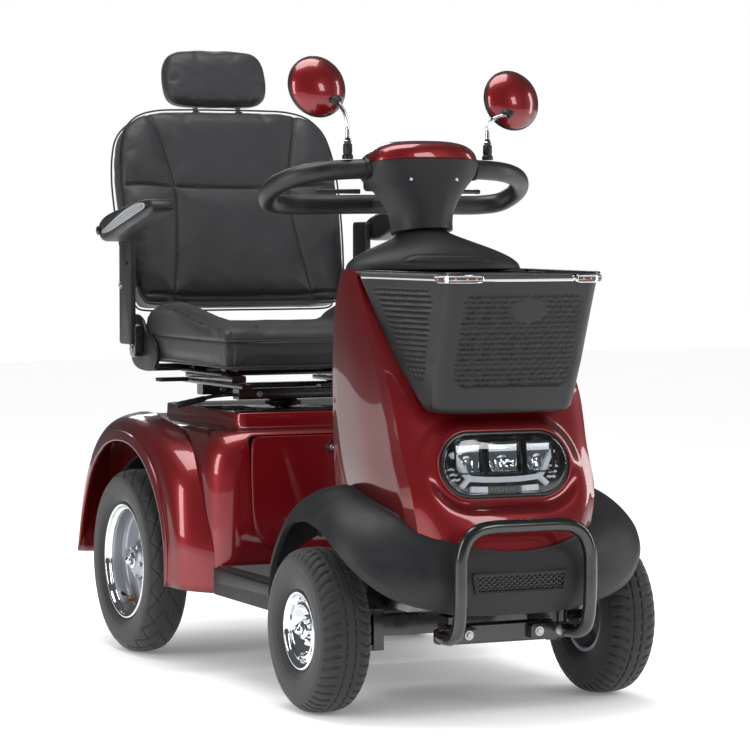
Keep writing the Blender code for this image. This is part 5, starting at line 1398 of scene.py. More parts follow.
class SCOOTER_OT_basket(bpy.types.Operator):
    """Builds the basket with its honeycomb panels, blank badge, rim, bright strip and turn lamps"""

    bl_idname = "scooter.basket"
    bl_label = "Basket"

    def execute(self, context):
        grid = basket_skin()
        x, y, z = grid[..., 0], grid[..., 1], grid[..., 2]
        step = np.gradient(grid, axis=1)
        rise = np.gradient(grid, axis=0)
        normal = unit(np.cross(step, rise))
        outside = np.sum(normal * np.stack([x, y + 0.66, np.zeros_like(x)], -1), -1)
        normal = normal * np.sign(outside.mean())
        pitch = sizes().honeycomb
        # the front panel: long cells with thin raised lines, inside a round-cornered recess
        front = (y < -0.745 - (z - 0.6) * 0.30) & (np.abs(x) < 0.150)
        width = 0.131 - 0.010 * smoothstep(0.70, 0.62, z)
        gap_x, gap_z = width - np.abs(x), np.minimum(z - 0.6520, 0.8400 - z)
        corner = 0.022
        reach = np.where((gap_x < corner) & (gap_z < corner),
                         corner - np.hypot(corner - gap_x, corner - gap_z), np.minimum(gap_x, gap_z))
        inside = np.where(front, reach, -1)
        cells = hexagons(x / 1.45, z, pitch * 0.98)
        oval = np.hypot((x - 0.012) / 0.0390, (z - 0.8050) / 0.0250)
        push = smoothstep(0.0, 0.0025, inside) * -0.0024
        lines = smoothstep(0.15, 0.05, cells) * smoothstep(0.001, 0.004, inside) * 0.0030
        lines = lines * (oval > 1.04)
        badge = smoothstep(1.03, 0.97, oval) * 0.0022 * (inside > 0)
        # the side panels: round dimples in the same pitch, inside a triangular recess
        flank = (np.abs(x) > 0.135) & ~front
        outline = [(-0.7300, 0.6850), (-0.7180, 0.6680), (-0.7020, 0.6640), (-0.6850, 0.6700), (-0.6680, 0.6900),
                   (-0.5350, 0.8340), (-0.5380, 0.8420), (-0.5460, 0.8450), (-0.7520, 0.8450), (-0.7620, 0.8420),
                   (-0.7680, 0.8340)]
        inner = np.where(flank, panel_mask(y, z, outline[::1]), -1)
        bumps = hexagons(y, z, pitch * 1.05)
        push = push + smoothstep(0.0, 0.0025, inner) * -0.0012
        dimple = smoothstep(0.10, 0.34, bumps) * smoothstep(0.001, 0.003, inner) * 0.0034
        grid = grid + (push + lines + badge + dimple)[..., None] * normal
        tub = surface("basket_tub", grid, wrap=True, outward=None, uv=False)
        mesh = tub.data
        bm = bmesh.new()
        bm.from_mesh(mesh)
        bottom = [e for e in bm.edges if e.is_boundary and all(v.co.z < 0.61 for v in e.verts)]
        bmesh.ops.contextual_create(bm, geom=bottom)
        bmesh.ops.recalc_face_normals(bm, faces=bm.faces)
        spot = min(bm.faces, key=lambda f: f.calc_center_median().y)
        if spot.normal.y > 0:
            bmesh.ops.reverse_faces(bm, faces=bm.faces)
        bm.to_mesh(mesh)
        bm.free()
        finish(tub, "chassis", MATERIALS["black_plastic"], "black_plastic", ["basket"], wall=0.0035, angle=60)
        # the rim: a flat flange with round edges, standing out over the strip
        top = basket_section(0.8775, 0.1660, 0.1930, -0.8490, -0.4670, 0.034)
        section = np.array([(-0.0055, -0.0030), (0.0040, -0.0030), (0.0050, -0.0022), (0.0052, 0.0004),
                            (0.0044, 0.0020), (0.0028, 0.0025), (-0.0045, 0.0025), (-0.0055, 0.0016)])
        out = unit((top - [0, -0.65, 0]) * [1, 1, 0])
        rim = surface("basket_rim", swept(top, section, closed=True, across=out), wrap_rows=True, wrap=True)
        finish(rim, "chassis", MATERIALS["gloss_black"], "black_plastic", angle=50)
        # the bright strip: round the front and sides, open at the rear, broken by the lamps
        level = basket_section(0.8680, 0.1658, 0.1922, -0.8458, -0.4745, 0.034)
        count = len(level)
        route = np.concatenate([level[14:count - 13]])
        section = np.array([(-0.0005, -0.0062), (0.0022, -0.0060), (0.0034, -0.0048), (0.0038, 0.0),
                            (0.0034, 0.0048), (0.0022, 0.0060), (-0.0005, 0.0062)])
        out = unit((route - [0, -0.65, 0]) * [1, 1, 0])
        strip = surface("basket_strip", swept(route, section, across=out), wrap=True, fill=True)
        finish(strip, "chassis", MATERIALS["chrome"], "chrome", ["basket_trim"], angle=40)
        for word, side in SIDES:
            line = curve([(side * 0.098, -0.8560), (side * 0.125, -0.8525), (side * 0.150, -0.8440),
                          (side * 0.1660, -0.8250), (side * 0.1720, -0.7960)], 10)
            path = np.column_stack([even(line, 44), np.full(44, 0.8670)])
            ends = np.sqrt(np.clip(1 - np.abs(np.linspace(-1, 1, 44)) ** 12, 0.02, 1))
            out = unit(np.column_stack([-np.gradient(path[:, 1]), np.gradient(path[:, 0])])) * side * -1
            out3 = np.column_stack([out, np.zeros(44)])
            out3 = out3 * np.sign(np.sum(out3 * (path - [0, -0.65, 0.867]), 1, keepdims=True))
            bezel = surface("turn_lamp_bezel_" + word, swept(path, superellipse(0.0062, 0.0086, 4, 24),
                                                             scale=ends, across=out3), wrap=True, fill=True)
            finish(bezel, "chassis", MATERIALS["chrome"], "chrome")
            cover = path + out3 * 0.0042
            glass = surface("turn_lamp_cover_" + word, swept(cover[2:-2], superellipse(0.0048, 0.0068, 3, 24),
                                                             scale=ends[2:-2], across=out3[2:-2]),
                            wrap=True, fill=True)
            finish(glass, "chassis", MATERIALS["lens"], "clear_lens", ["turn_lamp_" + word])
            spots = [surface("diode", lathed([(0.0001, 0.0016), (0.0016, 0.0013), (0.0022, 0.0), (0.0001, -0.001)],
                                             path[k] + out3[k] * 0.0066, out3[k], 12), wrap=True, fill=True)
                     for k in (7, 14, 22, 30, 37)]
            finish(joined("turn_lamp_diodes_" + word, spots), "chassis", MATERIALS["amber"], "clear_lens")
        return {"FINISHED"}


# ---------------------------------------------------------------- dash, floor and bumper

TILLER_FOOT = np.array([0.0, -0.4949, 0.170])
TILLER_TOP = np.array([0.0, -0.360, 1.000])
TILLER_LEAN = (TILLER_TOP[1] - TILLER_FOOT[1]) / (TILLER_TOP[2] - TILLER_FOOT[2])
TILLER_AXIS = unit(TILLER_TOP - TILLER_FOOT)


def on_tiller(z):
    return TILLER_FOOT + (TILLER_TOP - TILLER_FOOT) * (z - TILLER_FOOT[2]) / (TILLER_TOP[2] - TILLER_FOOT[2])


class SCOOTER_OT_dash(bpy.types.Operator):
    """Builds the domed dash cover, with a shallow tray line on its front, and the boot round the column"""

    bl_idname = "scooter.dash"
    bl_label = "Dash cover"

    def execute(self, context):
        base, hole = np.array([0.0, -0.425, 0.8800]), on_tiller(0.952)
        lifts = np.concatenate([[0.0, 0.012], np.sin(np.linspace(0.02, math.pi / 2, 60))])
        angle = np.linspace(0, 2 * math.pi, 192, endpoint=False)
        c, s = np.cos(angle), np.sin(angle)
        rows = []
        for lift in lifts:
            spread = math.sqrt(max(0.0, 1 - lift ** 2))
            mix = lift ** 2
            outer = np.stack([0.1955 * (0.40 + 0.60 * spread) * c, 0.084 * (0.90 + 0.10 * spread) * s], 1)
            place = outer * (1 - mix) + np.stack([0.053 * c, 0.053 * s], 1) * mix
            middle = base + (hole - base) * mix
            z = base[2] + (hole[2] - base[2]) * lift - TILLER_LEAN * place[:, 1] * mix
            rows.append(np.column_stack([middle[0] + place[:, 0], middle[1] + place[:, 1], z]))
        grid = np.array(rows)
        x, z, front = grid[..., 0], grid[..., 2], grid[..., 1] < -0.425
        # the tray: a recess with a raised rounded outline on the front of the cover
        outline = [(-0.104, 0.8930), (0.104, 0.8930), (0.096, 0.9000), (0.082, 0.9065), (0.070, 0.9090),
                   (-0.070, 0.9090), (-0.082, 0.9065), (-0.096, 0.9000)]
        inside = np.where(front, panel_mask(x, z, outline), -1)
        groove = np.exp(-((inside - 0.001) / 0.0016) ** 2) * 0.0016
        grid = grid + np.where(front, groove - 0.0012 * smoothstep(0.001, 0.004, inside), 0)[..., None] * [0, 0.9,
                                                                                                       -0.4]
        dome = surface("dash_cover", grid, wrap=True, outward=(0, 0, 1), uv=False)
        finish(dome, "chassis", MATERIALS["grey_plastic"], "dark_plastic", ["dash_dome"], wall=0.0028, angle=45)
        return {"FINISHED"}


class SCOOTER_OT_floor(bpy.types.Operator):
    """Builds the step-through floor, its ribbed mat and the moulded strip along each side"""

    bl_idname = "scooter.floor"
    bl_label = "Floor"

    def execute(self, context):
        half, tongue, front, rear = 0.326, 0.150, -0.330, -0.012

        def outline(grow):
            points = [(-half + grow, rear - grow), (-half + grow, front + grow), (-tongue + grow, front + grow),
                      (-tongue + grow, -0.420 + grow), (tongue - grow, -0.420 + grow), (tongue - grow,
                                                                                      front + grow),
                      (half - grow, front + grow), (half - grow, rear - grow)]
            return np.array(points)

        rows = []
        for grow, z in ((0.0010, 0.175), (0.0, 0.176), (0.0, 0.2120), (0.0030, 0.2145), (0.0035, 0.2310),
                        (0.0050, 0.2350), (0.0080, 0.2368), (0.0120, 0.2370)):
            ring = outline(grow)
            rows.append(np.column_stack([ring, np.full(len(ring), z)]))
        pan = surface("floor_tray", np.array(rows), wrap=True, outward=None, uv=False)
        bm = bmesh.new()
        bm.from_mesh(pan.data)
        top = [e for e in bm.edges if e.is_boundary and all(v.co.z > 0.23 for v in e.verts)]
        bmesh.ops.contextual_create(bm, geom=top)
        bmesh.ops.recalc_face_normals(bm, faces=bm.faces)
        if max(bm.faces, key=lambda f: f.calc_center_median().z).normal.z < 0:
            bmesh.ops.reverse_faces(bm, faces=bm.faces)
        bm.to_mesh(pan.data)
        bm.free()
        finish(pan, "chassis", MATERIALS["grey_plastic"], "dark_plastic", ["floor_pan"], wall=0.0035, bevel=0.0012)
        # the mat: long ribs, half round, with bare edges
        mats = []
        u = np.linspace(0, 1, 260)
        for x0, x1, y0, y1 in ((-0.300, 0.300, -0.312, -0.036), (-0.125, 0.125, -0.404, -0.322)):
            x = x0 + (x1 - x0) * u
            rib = np.maximum(np.cos(2 * math.pi * x / 0.012), 0.0) * 0.0016
            rib = rib * (np.abs(x - (x0 + x1) / 2) < (x1 - x0) / 2 - 0.008)
            lines = np.linspace(y0, y1, 12)
            fade = np.clip(np.minimum(lines - y0, y1 - lines) / 0.006, 0, 1)
            z = 0.2371 + 0.0012 + rib[None] * fade[:, None]
            z[:, [0, -1]] = 0.2370
            z[[0, -1]] = 0.2370
            mats.append(surface("mat", np.stack(np.broadcast_arrays(x[None], lines[:, None], z), -1),
                                outward=(0, 0, 1)))
        finish(joined("floor_mat", mats), "chassis", MATERIALS["tyre"], "dark_plastic", angle=70)
        for word, side in SIDES:
            # the strip: a long tapering step with a raised panel, lighter on its top edge
            strip_rows = []
            for y, low, high, out in ((-0.322, 0.206, 0.2290, 0.0010), (-0.290, 0.205, 0.2300, 0.0030),
                                      (-0.180, 0.203, 0.2310, 0.0034), (-0.060, 0.201, 0.2325, 0.0034),
                                      (-0.020, 0.200, 0.2330, 0.0030), (-0.014, 0.200, 0.2330, 0.0012)):
                x = 0.3262
                strip_rows.append([(side * (x - 0.001), y, low), (side * (x + out * 0.6), y, low + 0.0008),
                                   (side * (x + out), y, low + 0.004), (side * (x + out * 0.9), y, high - 0.006),
                                   (side * (x + out * 0.5), y, high - 0.001), (side * (x - 0.001), y, high)])
            strip = surface("floor_strip_" + word, np.array(strip_rows), wrap=True, fill=True)
            finish(strip, "chassis", MATERIALS["black_plastic"], "dark_plastic", bevel=0.0006)
        # ribs under the floor
        ribs = [surface("rib", slab(rounded_box(0.140, 0.0035, 0.002, 3), 0.018, 0.001, (0, y, 0.222),
                                    (1, 0, 0), (0, 1, 0)), wrap=True, fill=True) for y in (-0.27, -0.21, -0.15)]
        finish(joined("floor_ribs", ribs), "chassis", MATERIALS["grey_plastic"], "dark_plastic")
        return {"FINISHED"}


def hexagon(radius):
    angle = np.linspace(0, 2 * math.pi, 6, endpoint=False)
    return np.stack([radius * np.cos(angle), radius * np.sin(angle)], 1)


def bolt(place, direction, radius=0.0065, head=0.0045, washer=True, spin=0.0):
    """A hex-headed bolt seen from outside: a washer, a chamfered hexagonal head."""
    place, w = np.asarray(place, float), unit(direction)
    u = unit(np.cross(w, [0, 0, 1.0] if abs(w[2]) < 0.9 else [0, 1.0, 0]))
    v = np.cross(w, u)
    u, v = u * math.cos(spin) + v * math.sin(spin), v * math.cos(spin) - u * math.sin(spin)
    made = []
    shapes = [(hexagon(radius), 0.0, head, 0.0010)]
    if washer:
        shapes.append((circle(radius * 1.5, 24), -0.0004, 0.0012, 0.0003))
    for flat, low, high, edge in shapes:
        start = 0.0008 if flat.shape[0] == 6 else 0.0
        rows = []
        for grow, height in ((0.0, low + start), (0.0, high - edge), (edge, high)):
            ring = inset(flat, grow)
            rows.append(place + ring[:, :1] * u + ring[:, 1:] * v + height * w)
        made.append(surface("bolt", np.array(rows), wrap=True, fill=True))
    return made


class SCOOTER_OT_bumper(bpy.types.Operator):
    """Builds the bumper hoop, its feet and their bolts"""

    bl_idname = "scooter.bumper"
    bl_label = "Bumper"

    def execute(self, context):
        leg = 0.142
        half = [(leg - 0.004, -0.7505, 0.163), (leg - 0.001, -0.775, 0.1635), (leg, -0.802, 0.166),
                (leg, -0.828, 0.180), (leg, -0.840, 0.206), (leg, -0.8455, 0.250), (leg, -0.846, 0.300),
                (leg - 0.002, -0.846, 0.332), (leg - 0.014, -0.846, 0.362), (leg - 0.036, -0.846, 0.3790),
                (leg - 0.066, -0.846, 0.3848), (0.030, -0.846, 0.3855)]
        route = np.concatenate([np.array(half) * [-1, 1, 1], np.array(half)[::-1]])
        path = even(curve(route, 10), 200)
        hoop = surface("bumper_hoop", swept(path, circle(0.0135, 28)), wrap=True, fill=True)
        finish(hoop, "chassis", MATERIALS["steel"], "black_steel", ["bumper_bar"])
        fittings = []
        for word, side in SIDES:
            foot = surface("bumper_foot_" + word, slab(rounded_box(0.045, 0.0150, 0.006, 5), 0.0140, 0.0012,
                                                       (side * 0.105, -0.7450, 0.163), (1, 0, 0), (0, 0, 1)),
                           wrap=True, fill=True)
            finish(foot, "chassis", MATERIALS["steel"], "black_steel")
            for x in (0.078, 0.124):
                fittings += bolt((side * x, -0.7524, 0.163), (0, -1, 0), spin=0.4)
        finish(joined("bumper_bolts", fittings), "chassis", MATERIALS["zinc"], "chrome", angle=30)
        return {"FINISHED"}


# ---------------------------------------------------------------- wheels

FRONT_HUB = np.array([0.3185, -0.560, 0.165])
REAR_HUB = np.array([0.3385, 0.415, 0.207])


def wheel_net(profile, hub, side, count):
    """A (radius, height) profile turned about the axle; height runs outboard."""
    profile = np.asarray(profile, float)
    angle = np.linspace(0, 2 * math.pi, count, endpoint=False)
    r, h = profile[:, :1], profile[:, 1:]
    x = side * (hub[0] + h) * np.ones_like(angle)
    return np.stack([x, hub[1] + r * np.cos(angle), hub[2] + r * np.sin(angle)], -1), angle


def tyre_profile(radius, width, bead, steps):
    """From the outboard bead over the sidewall, shoulder and crown to the other bead, by (radius, height)."""
    half = width / 2
    side = [(bead, half * 0.70), (bead + 0.003, half * 0.80), (bead + 0.010, half * 0.90),
            (bead + 0.30 * (radius - bead), half * 0.985), (bead + 0.50 * (radius - bead), half),
            (bead + 0.72 * (radius - bead), half * 0.965), (radius - 0.0135, half * 0.85),
            (radius - 0.0055, half * 0.68), (radius - 0.0016, half * 0.42), (radius, 0.0)]
    whole = side + [(r, -h) for r, h in side[-2::-1]]
    return even(curve(whole, 8), steps)


def front_tread(angle, height, half):
    """Groove depth of the front tyre, 0 to 1: curved bars from the shoulder, centre ribs in zigzag."""
    share = np.abs(height) / half
    bars = 46
    phase = angle * bars / (2 * math.pi) + 2.1 * (share - 0.62) ** 2 * np.sign(height) + 0.9 * share
    bar = smoothstep(0.30, 0.42, np.abs((phase % 1) - 0.5))
    shoulder = smoothstep(0.34, 0.40, share) * smoothstep(0.955, 0.90, share)
    zig = 0.16 + 0.05 * np.abs(((angle * bars / (2 * math.pi)) % 1) * 2 - 1)
    centre = smoothstep(0.030, 0.012, np.abs(share - zig))
    return np.maximum(bar * shoulder, centre)


def rear_tread(angle, height, half):
    """Groove depth of the rear tyre, 0 to 1: long diagonal grooves that meet a wavy centre line."""
    share = np.abs(height) / half
    bars = 22
    turn = angle * bars / (2 * math.pi) + np.where(height > 0, 0.0, 0.5)
    phase = (turn + 1.5 * share ** 1.3) % 1
    long_bar = smoothstep(0.070, 0.035, np.abs(phase - 0.5)) * smoothstep(0.10, 0.16, share)
    cross = (turn - 0.9 * share + 0.2) % 1
    short = smoothstep(0.055, 0.025, np.abs(cross - 0.5)) * smoothstep(0.42, 0.50, share)
    groove = np.maximum(long_bar, short * 0.8) * smoothstep(0.95, 0.88, share)
    middle = smoothstep(0.040, 0.018, np.abs(height / half - 0.06 * np.sin(turn * 2 * math.pi)))
    return np.maximum(groove, middle * 0.8)


def tyre(name, hub, side, radius, width, bead, tread, count, steps, drop):
    """A tyre whose tread is cut by a depth function of the angle and the height over the tread."""
    profile = tyre_profile(radius, width, bead, steps)
    grid, angle = wheel_net(profile, hub, side, count)
    half = width / 2
    depth = tread(angle[None] * side, profile[:, 1:], half)
    over = smoothstep(radius - 0.034, radius - 0.020, profile[:, :1])
    radial = np.stack([np.zeros_like(angle), np.cos(angle), np.sin(angle)], -1)[None]
    tangent = np.gradient(profile, axis=0)
    normal = unit(np.column_stack([tangent[:, 1], -tangent[:, 0]]))
    normal = normal * np.sign(normal[len(normal) // 2, 0])
    outward = normal[:, :1, None] * radial + normal[:, 1:, None] * np.array([side, 0, 0])
    # two fine raised rings on the sidewall
    share = (profile[:, 0] - bead) / (radius - bead)
    rings = sum(np.exp(-((share - at) / 0.018) ** 2) * 0.0010 for at in (0.20, 0.62))
    grid = grid + outward * (rings[:, None, None] - (depth * over * drop)[..., None])
    inner = wheel_net([(bead + 0.004, -half * 0.60), (bead + 0.004, half * 0.60)], hub, side, count)[0]
    return surface(name, np.concatenate([grid, inner]), wrap_rows=True, wrap=True, uv=False)


def hub_nut(hub, side, at, radius, name):
    """A dome nut on its washer: a hexagon with a chamfer, and a polished cap."""
    centre = np.array([side * at, hub[1], hub[2]])
    out = (side, 0, 0)
    parts = [surface("washer", lathed([(0.0002, 0.0016), (radius * 1.45, 0.0016), (radius * 1.6, 0.0008),
                                       (radius * 1.6, -0.001), (0.0002, -0.001)], centre, out, 40), wrap=True,
                     fill=True)]
    parts += bolt(centre + np.array(out) * 0.0012, out, radius, 0.0075, washer=False)
    cap = [(0.0002, 0.0165), (radius * 0.30, 0.0160), (radius * 0.56, 0.0142), (radius * 0.76, 0.0110),
           (radius * 0.84, 0.0072), (0.0002, 0.0070)]
    parts.append(surface("cap", lathed(cap, centre, out, 40), wrap=True, fill=True))
    return joined(name, parts)


class SCOOTER_OT_front_wheels(bpy.types.Operator):
    """Builds the front tyres and the chromed, slotted hub caps with their nuts"""

    bl_idname = "scooter.front_wheels"
    bl_label = "Front wheels"

    def execute(self, context):
        depth = sizes().tread_depth
        for word, side in SIDES:
            body, node = "front_wheel_" + word, "front_tyre_" + word
            hub = FRONT_HUB
            outer = tyre(node + "_tread", hub, side, 0.165, 0.106, 0.0805, front_tread, 560, 96, depth)
            finish(outer, body, MATERIALS["tyre"], "tyre_rubber", [node], angle=50)
            # hub cap: a rolled rim, a ring with six slots, then a faceted cone up to the nut
            count = 288
            profile = np.array([(0.0800, 0.0180), (0.0800, 0.0395), (0.0795, 0.0425), (0.0775, 0.0440),
                                (0.0745, 0.0440), (0.0722, 0.0425), (0.0700, 0.0385), (0.0675, 0.0360),
                                (0.0640, 0.0352), (0.0600, 0.0352), (0.0560, 0.0356), (0.0525, 0.0368),
                                (0.0500, 0.0360), (0.0470, 0.0310), (0.0420, 0.0240), (0.0360, 0.0200),
                                (0.0300, 0.0190), (0.0250, 0.0205), (0.0215, 0.0255), (0.0190, 0.0330),
                                (0.0175, 0.0350), (0.0140, 0.0356), (0.0060, 0.0356)])
            profile = even(curve(profile, 4), 60)
            grid, angle = wheel_net(profile, hub, side, count)
            r = profile[:, :1]
            lobe = np.cos(6 * angle)[None]
            facet = smoothstep(0.022, 0.030, r) * smoothstep(0.050, 0.042, r)
            dish = facet * (0.0075 * np.abs(((6 * angle / (2 * math.pi)) % 1) - 0.5)[None] * 2 - 0.0035)
            arc = np.abs(((6 * angle / (2 * math.pi)) % 1) - 0.5)[None]
            soft = smoothstep(0.0048, 0.0034, np.hypot(np.maximum(arc - 0.20, 0) * 2 * math.pi / 6 * 0.060,
                                                       r - 0.0605))
            grid[..., 0] += side * (dish - soft * 0.0080)
            cap = surface("front_hub_cap_" + word, grid, wrap=True, outward=(side, 0, 0), uv=False)
            finish(cap, body, MATERIALS["chrome"], "wheel_alloy", ["front_rim_" + word], wall=0.0018, angle=36)
            nut = hub_nut(hub, side, 0.3185 + 0.0352, 0.0095, "front_hub_nut_" + word)
            finish(nut, body, MATERIALS["chrome"], "wheel_alloy", angle=30)
            back = [(0.0800, 0.0200), (0.0800, -0.0385), (0.0770, -0.0395), (0.0690, -0.0360), (0.0660, -0.0150),
                    (0.0560, 0.0020), (0.0300, 0.0040), (0.0260, -0.0200), (0.0240, -0.0370), (0.0104, -0.0380),
                    (0.0104, 0.0150), (0.0300, 0.0160), (0.0560, 0.0120), (0.0700, 0.0160)]
            disc = surface("front_wheel_disc_" + word, wheel_net(even(curve(back, 3, closed=True, sharp=(
                1, 2, 8, 9, 10)), 90, closed=True), hub, side, 96)[0], wrap_rows=True, wrap=True)
            finish(disc, body, MATERIALS["silver"], "wheel_alloy", angle=34)
        return {"FINISHED"}


class SCOOTER_OT_rear_wheels(bpy.types.Operator):
    """Builds the rear tyres, the dished silver rims with a chromed lip, their nuts and valves"""

    bl_idname = "scooter.rear_wheels"
    bl_label = "Rear wheels"

    def execute(self, context):
        depth = sizes().tread_depth * 0.7
        for word, side in SIDES:
            body, node = "rear_wheel_" + word, "rear_tyre_" + word
            hub = REAR_HUB
            outer = tyre(node + "_tread", hub, side, 0.207, 0.095, 0.1325, rear_tread, 640, 90, depth)
            finish(outer, body, MATERIALS["tyre"], "tyre_rubber", [node], angle=50)
            lip = np.array([(0.1315, 0.0250), (0.1318, 0.0335), (0.1312, 0.0372), (0.1290, 0.0392),
                            (0.1262, 0.0392), (0.1242, 0.0374), (0.1228, 0.0335), (0.1205, 0.0300),
                            (0.1180, 0.0285), (0.1166, 0.0262), (0.1170, 0.0240), (0.1260, 0.0235)])
            ring = surface("rear_rim_lip_" + word, wheel_net(even(curve(lip, 5, closed=True, sharp=(0, 11)), 64,
                                                                  closed=True), hub, side, 160)[0],
                           wrap_rows=True, wrap=True)
            finish(ring, body, MATERIALS["chrome"], "wheel_alloy", ["rear_rim_" + word], angle=40)
            # the disc: a wall inside the lip, a flat with five lobed recesses, and a boss
            profile = np.array([(0.1316, 0.0240), (0.1240, 0.0246), (0.1185, 0.0240), (0.1160, 0.0200),
                                (0.1150, 0.0100), (0.1140, -0.0020), (0.1110, -0.0052), (0.1000, -0.0058),
                                (0.0800, -0.0030), (0.0600, 0.0010), (0.0460, 0.0050), (0.0380, 0.0085),
                                (0.0330, 0.0130), (0.0290, 0.0165), (0.0240, 0.0180), (0.0104, 0.0184)])
            profile = even(curve(profile, 4), 84)
            count = 300
            grid, angle = wheel_net(profile, hub, side, count)
            r = profile[:, :1]
            phase = ((5 * angle / (2 * math.pi)) % 1)[None] - 0.5
            across = np.abs(phase) * 2 * math.pi / 5 * r
            spoke = smoothstep(0.011, 0.018, math.pi / 5 * r - across + 0.0)
            inside = smoothstep(0.0405, 0.0455, r) * smoothstep(0.1100, 0.1045, r) * spoke
            grid[..., 0] -= side * inside * 0.0105
            disc = surface("rear_wheel_disc_" + word, grid, wrap=True, outward=(side, 0, 0), uv=False)
            finish(disc, body, MATERIALS["silver"], "wheel_alloy", wall=0.0035, angle=36)
            nut = hub_nut(hub, side, 0.3385 + 0.0184, 0.0115, "rear_hub_nut_" + word)
            finish(nut, body, MATERIALS["chrome"], "wheel_alloy", angle=30)
            bolts = []
            for k in range(5):
                a = 2 * math.pi * (k + 0.5) / 5 + 0.2
                place = (side * (0.3385 + 0.0120), hub[1] + 0.0330 * math.cos(a), hub[2] + 0.0330 * math.sin(a))
                bolts += bolt(place, (side, 0, 0), 0.0042, 0.0036)
            finish(joined("rear_wheel_bolts_" + word, bolts), body, MATERIALS["zinc"], "wheel_alloy", angle=30)
            a = math.radians(-58 if side < 0 else -122)
            foot = np.array([side * (0.3385 + 0.0015), hub[1] + 0.1090 * math.cos(a),
                             hub[2] + 0.1090 * math.sin(a)])
            aim = unit(np.array([side * 0.8, -0.5 * math.cos(a), -0.5 * math.sin(a)]))
            stem = [(0.0002, 0.0225), (0.0022, 0.0225), (0.0026, 0.0218), (0.0026, 0.0060), (0.0044, 0.0050),
                    (0.0056, 0.0010), (0.0060, -0.0030), (0.0002, -0.0030)]
            valve = surface("valve_stem_" + word, lathed(stem, foot, aim, 24), wrap=True, fill=True)
            finish(valve, body, MATERIALS["brass"], "wheel_alloy", angle=40)
            cap = [(0.0002, 0.0300), (0.0030, 0.0298), (0.0036, 0.0288), (0.0036, 0.0195), (0.0002, 0.0190)]
            knob = surface("valve_cap_" + word, lathed(cap, foot, aim, 24), wrap=True, fill=True)
            finish(knob, body, MATERIALS["black_plastic"], "black_plastic", angle=40)
            drum = [(0.1316, 0.0240), (0.1316, -0.0340), (0.1285, -0.0345), (0.1200, -0.0300), (0.1180, -0.0080),
                    (0.0420, -0.0100), (0.0380, -0.0300), (0.0104, -0.0300), (0.0104, -0.0040), (0.0400, 0.0000),
                    (0.1100, -0.0120), (0.1200, 0.0180)]
            inner = surface("rear_wheel_drum_" + word, wheel_net(even(np.array(drum), 110, closed=True), hub, side,
                                                                 96)[0], wrap_rows=True, wrap=True)
            finish(inner, body, MATERIALS["silver"], "wheel_alloy", angle=30)
        return {"FINISHED"}


# ---------------------------------------------------------------- steering


def handle_path():
    half = [(0.060, -0.340, 1.0860), (0.104, -0.360, 1.086), (0.150, -0.352, 1.085), (0.205, -0.335, 1.081),
            (0.252, -0.303, 1.071), (0.281, -0.262, 1.054), (0.286, -0.228, 1.037), (0.270, -0.192, 1.019),
            (0.230, -0.172, 1.0125), (0.160, -0.165, 1.012), (0.060, -0.165, 1.0135)]
    half = np.array(half[1:])
    return even(curve(np.concatenate([half * [-1, 1, 1], half[::-1]]), 10), 300)


def tiller_ring(z, half_x, half_y, y, power, lean, count=96):
    ring = superellipse(half_x, half_y, power, count)
    return np.column_stack([ring[:, 0], ring[:, 1] + y, z - lean * ring[:, 1]])


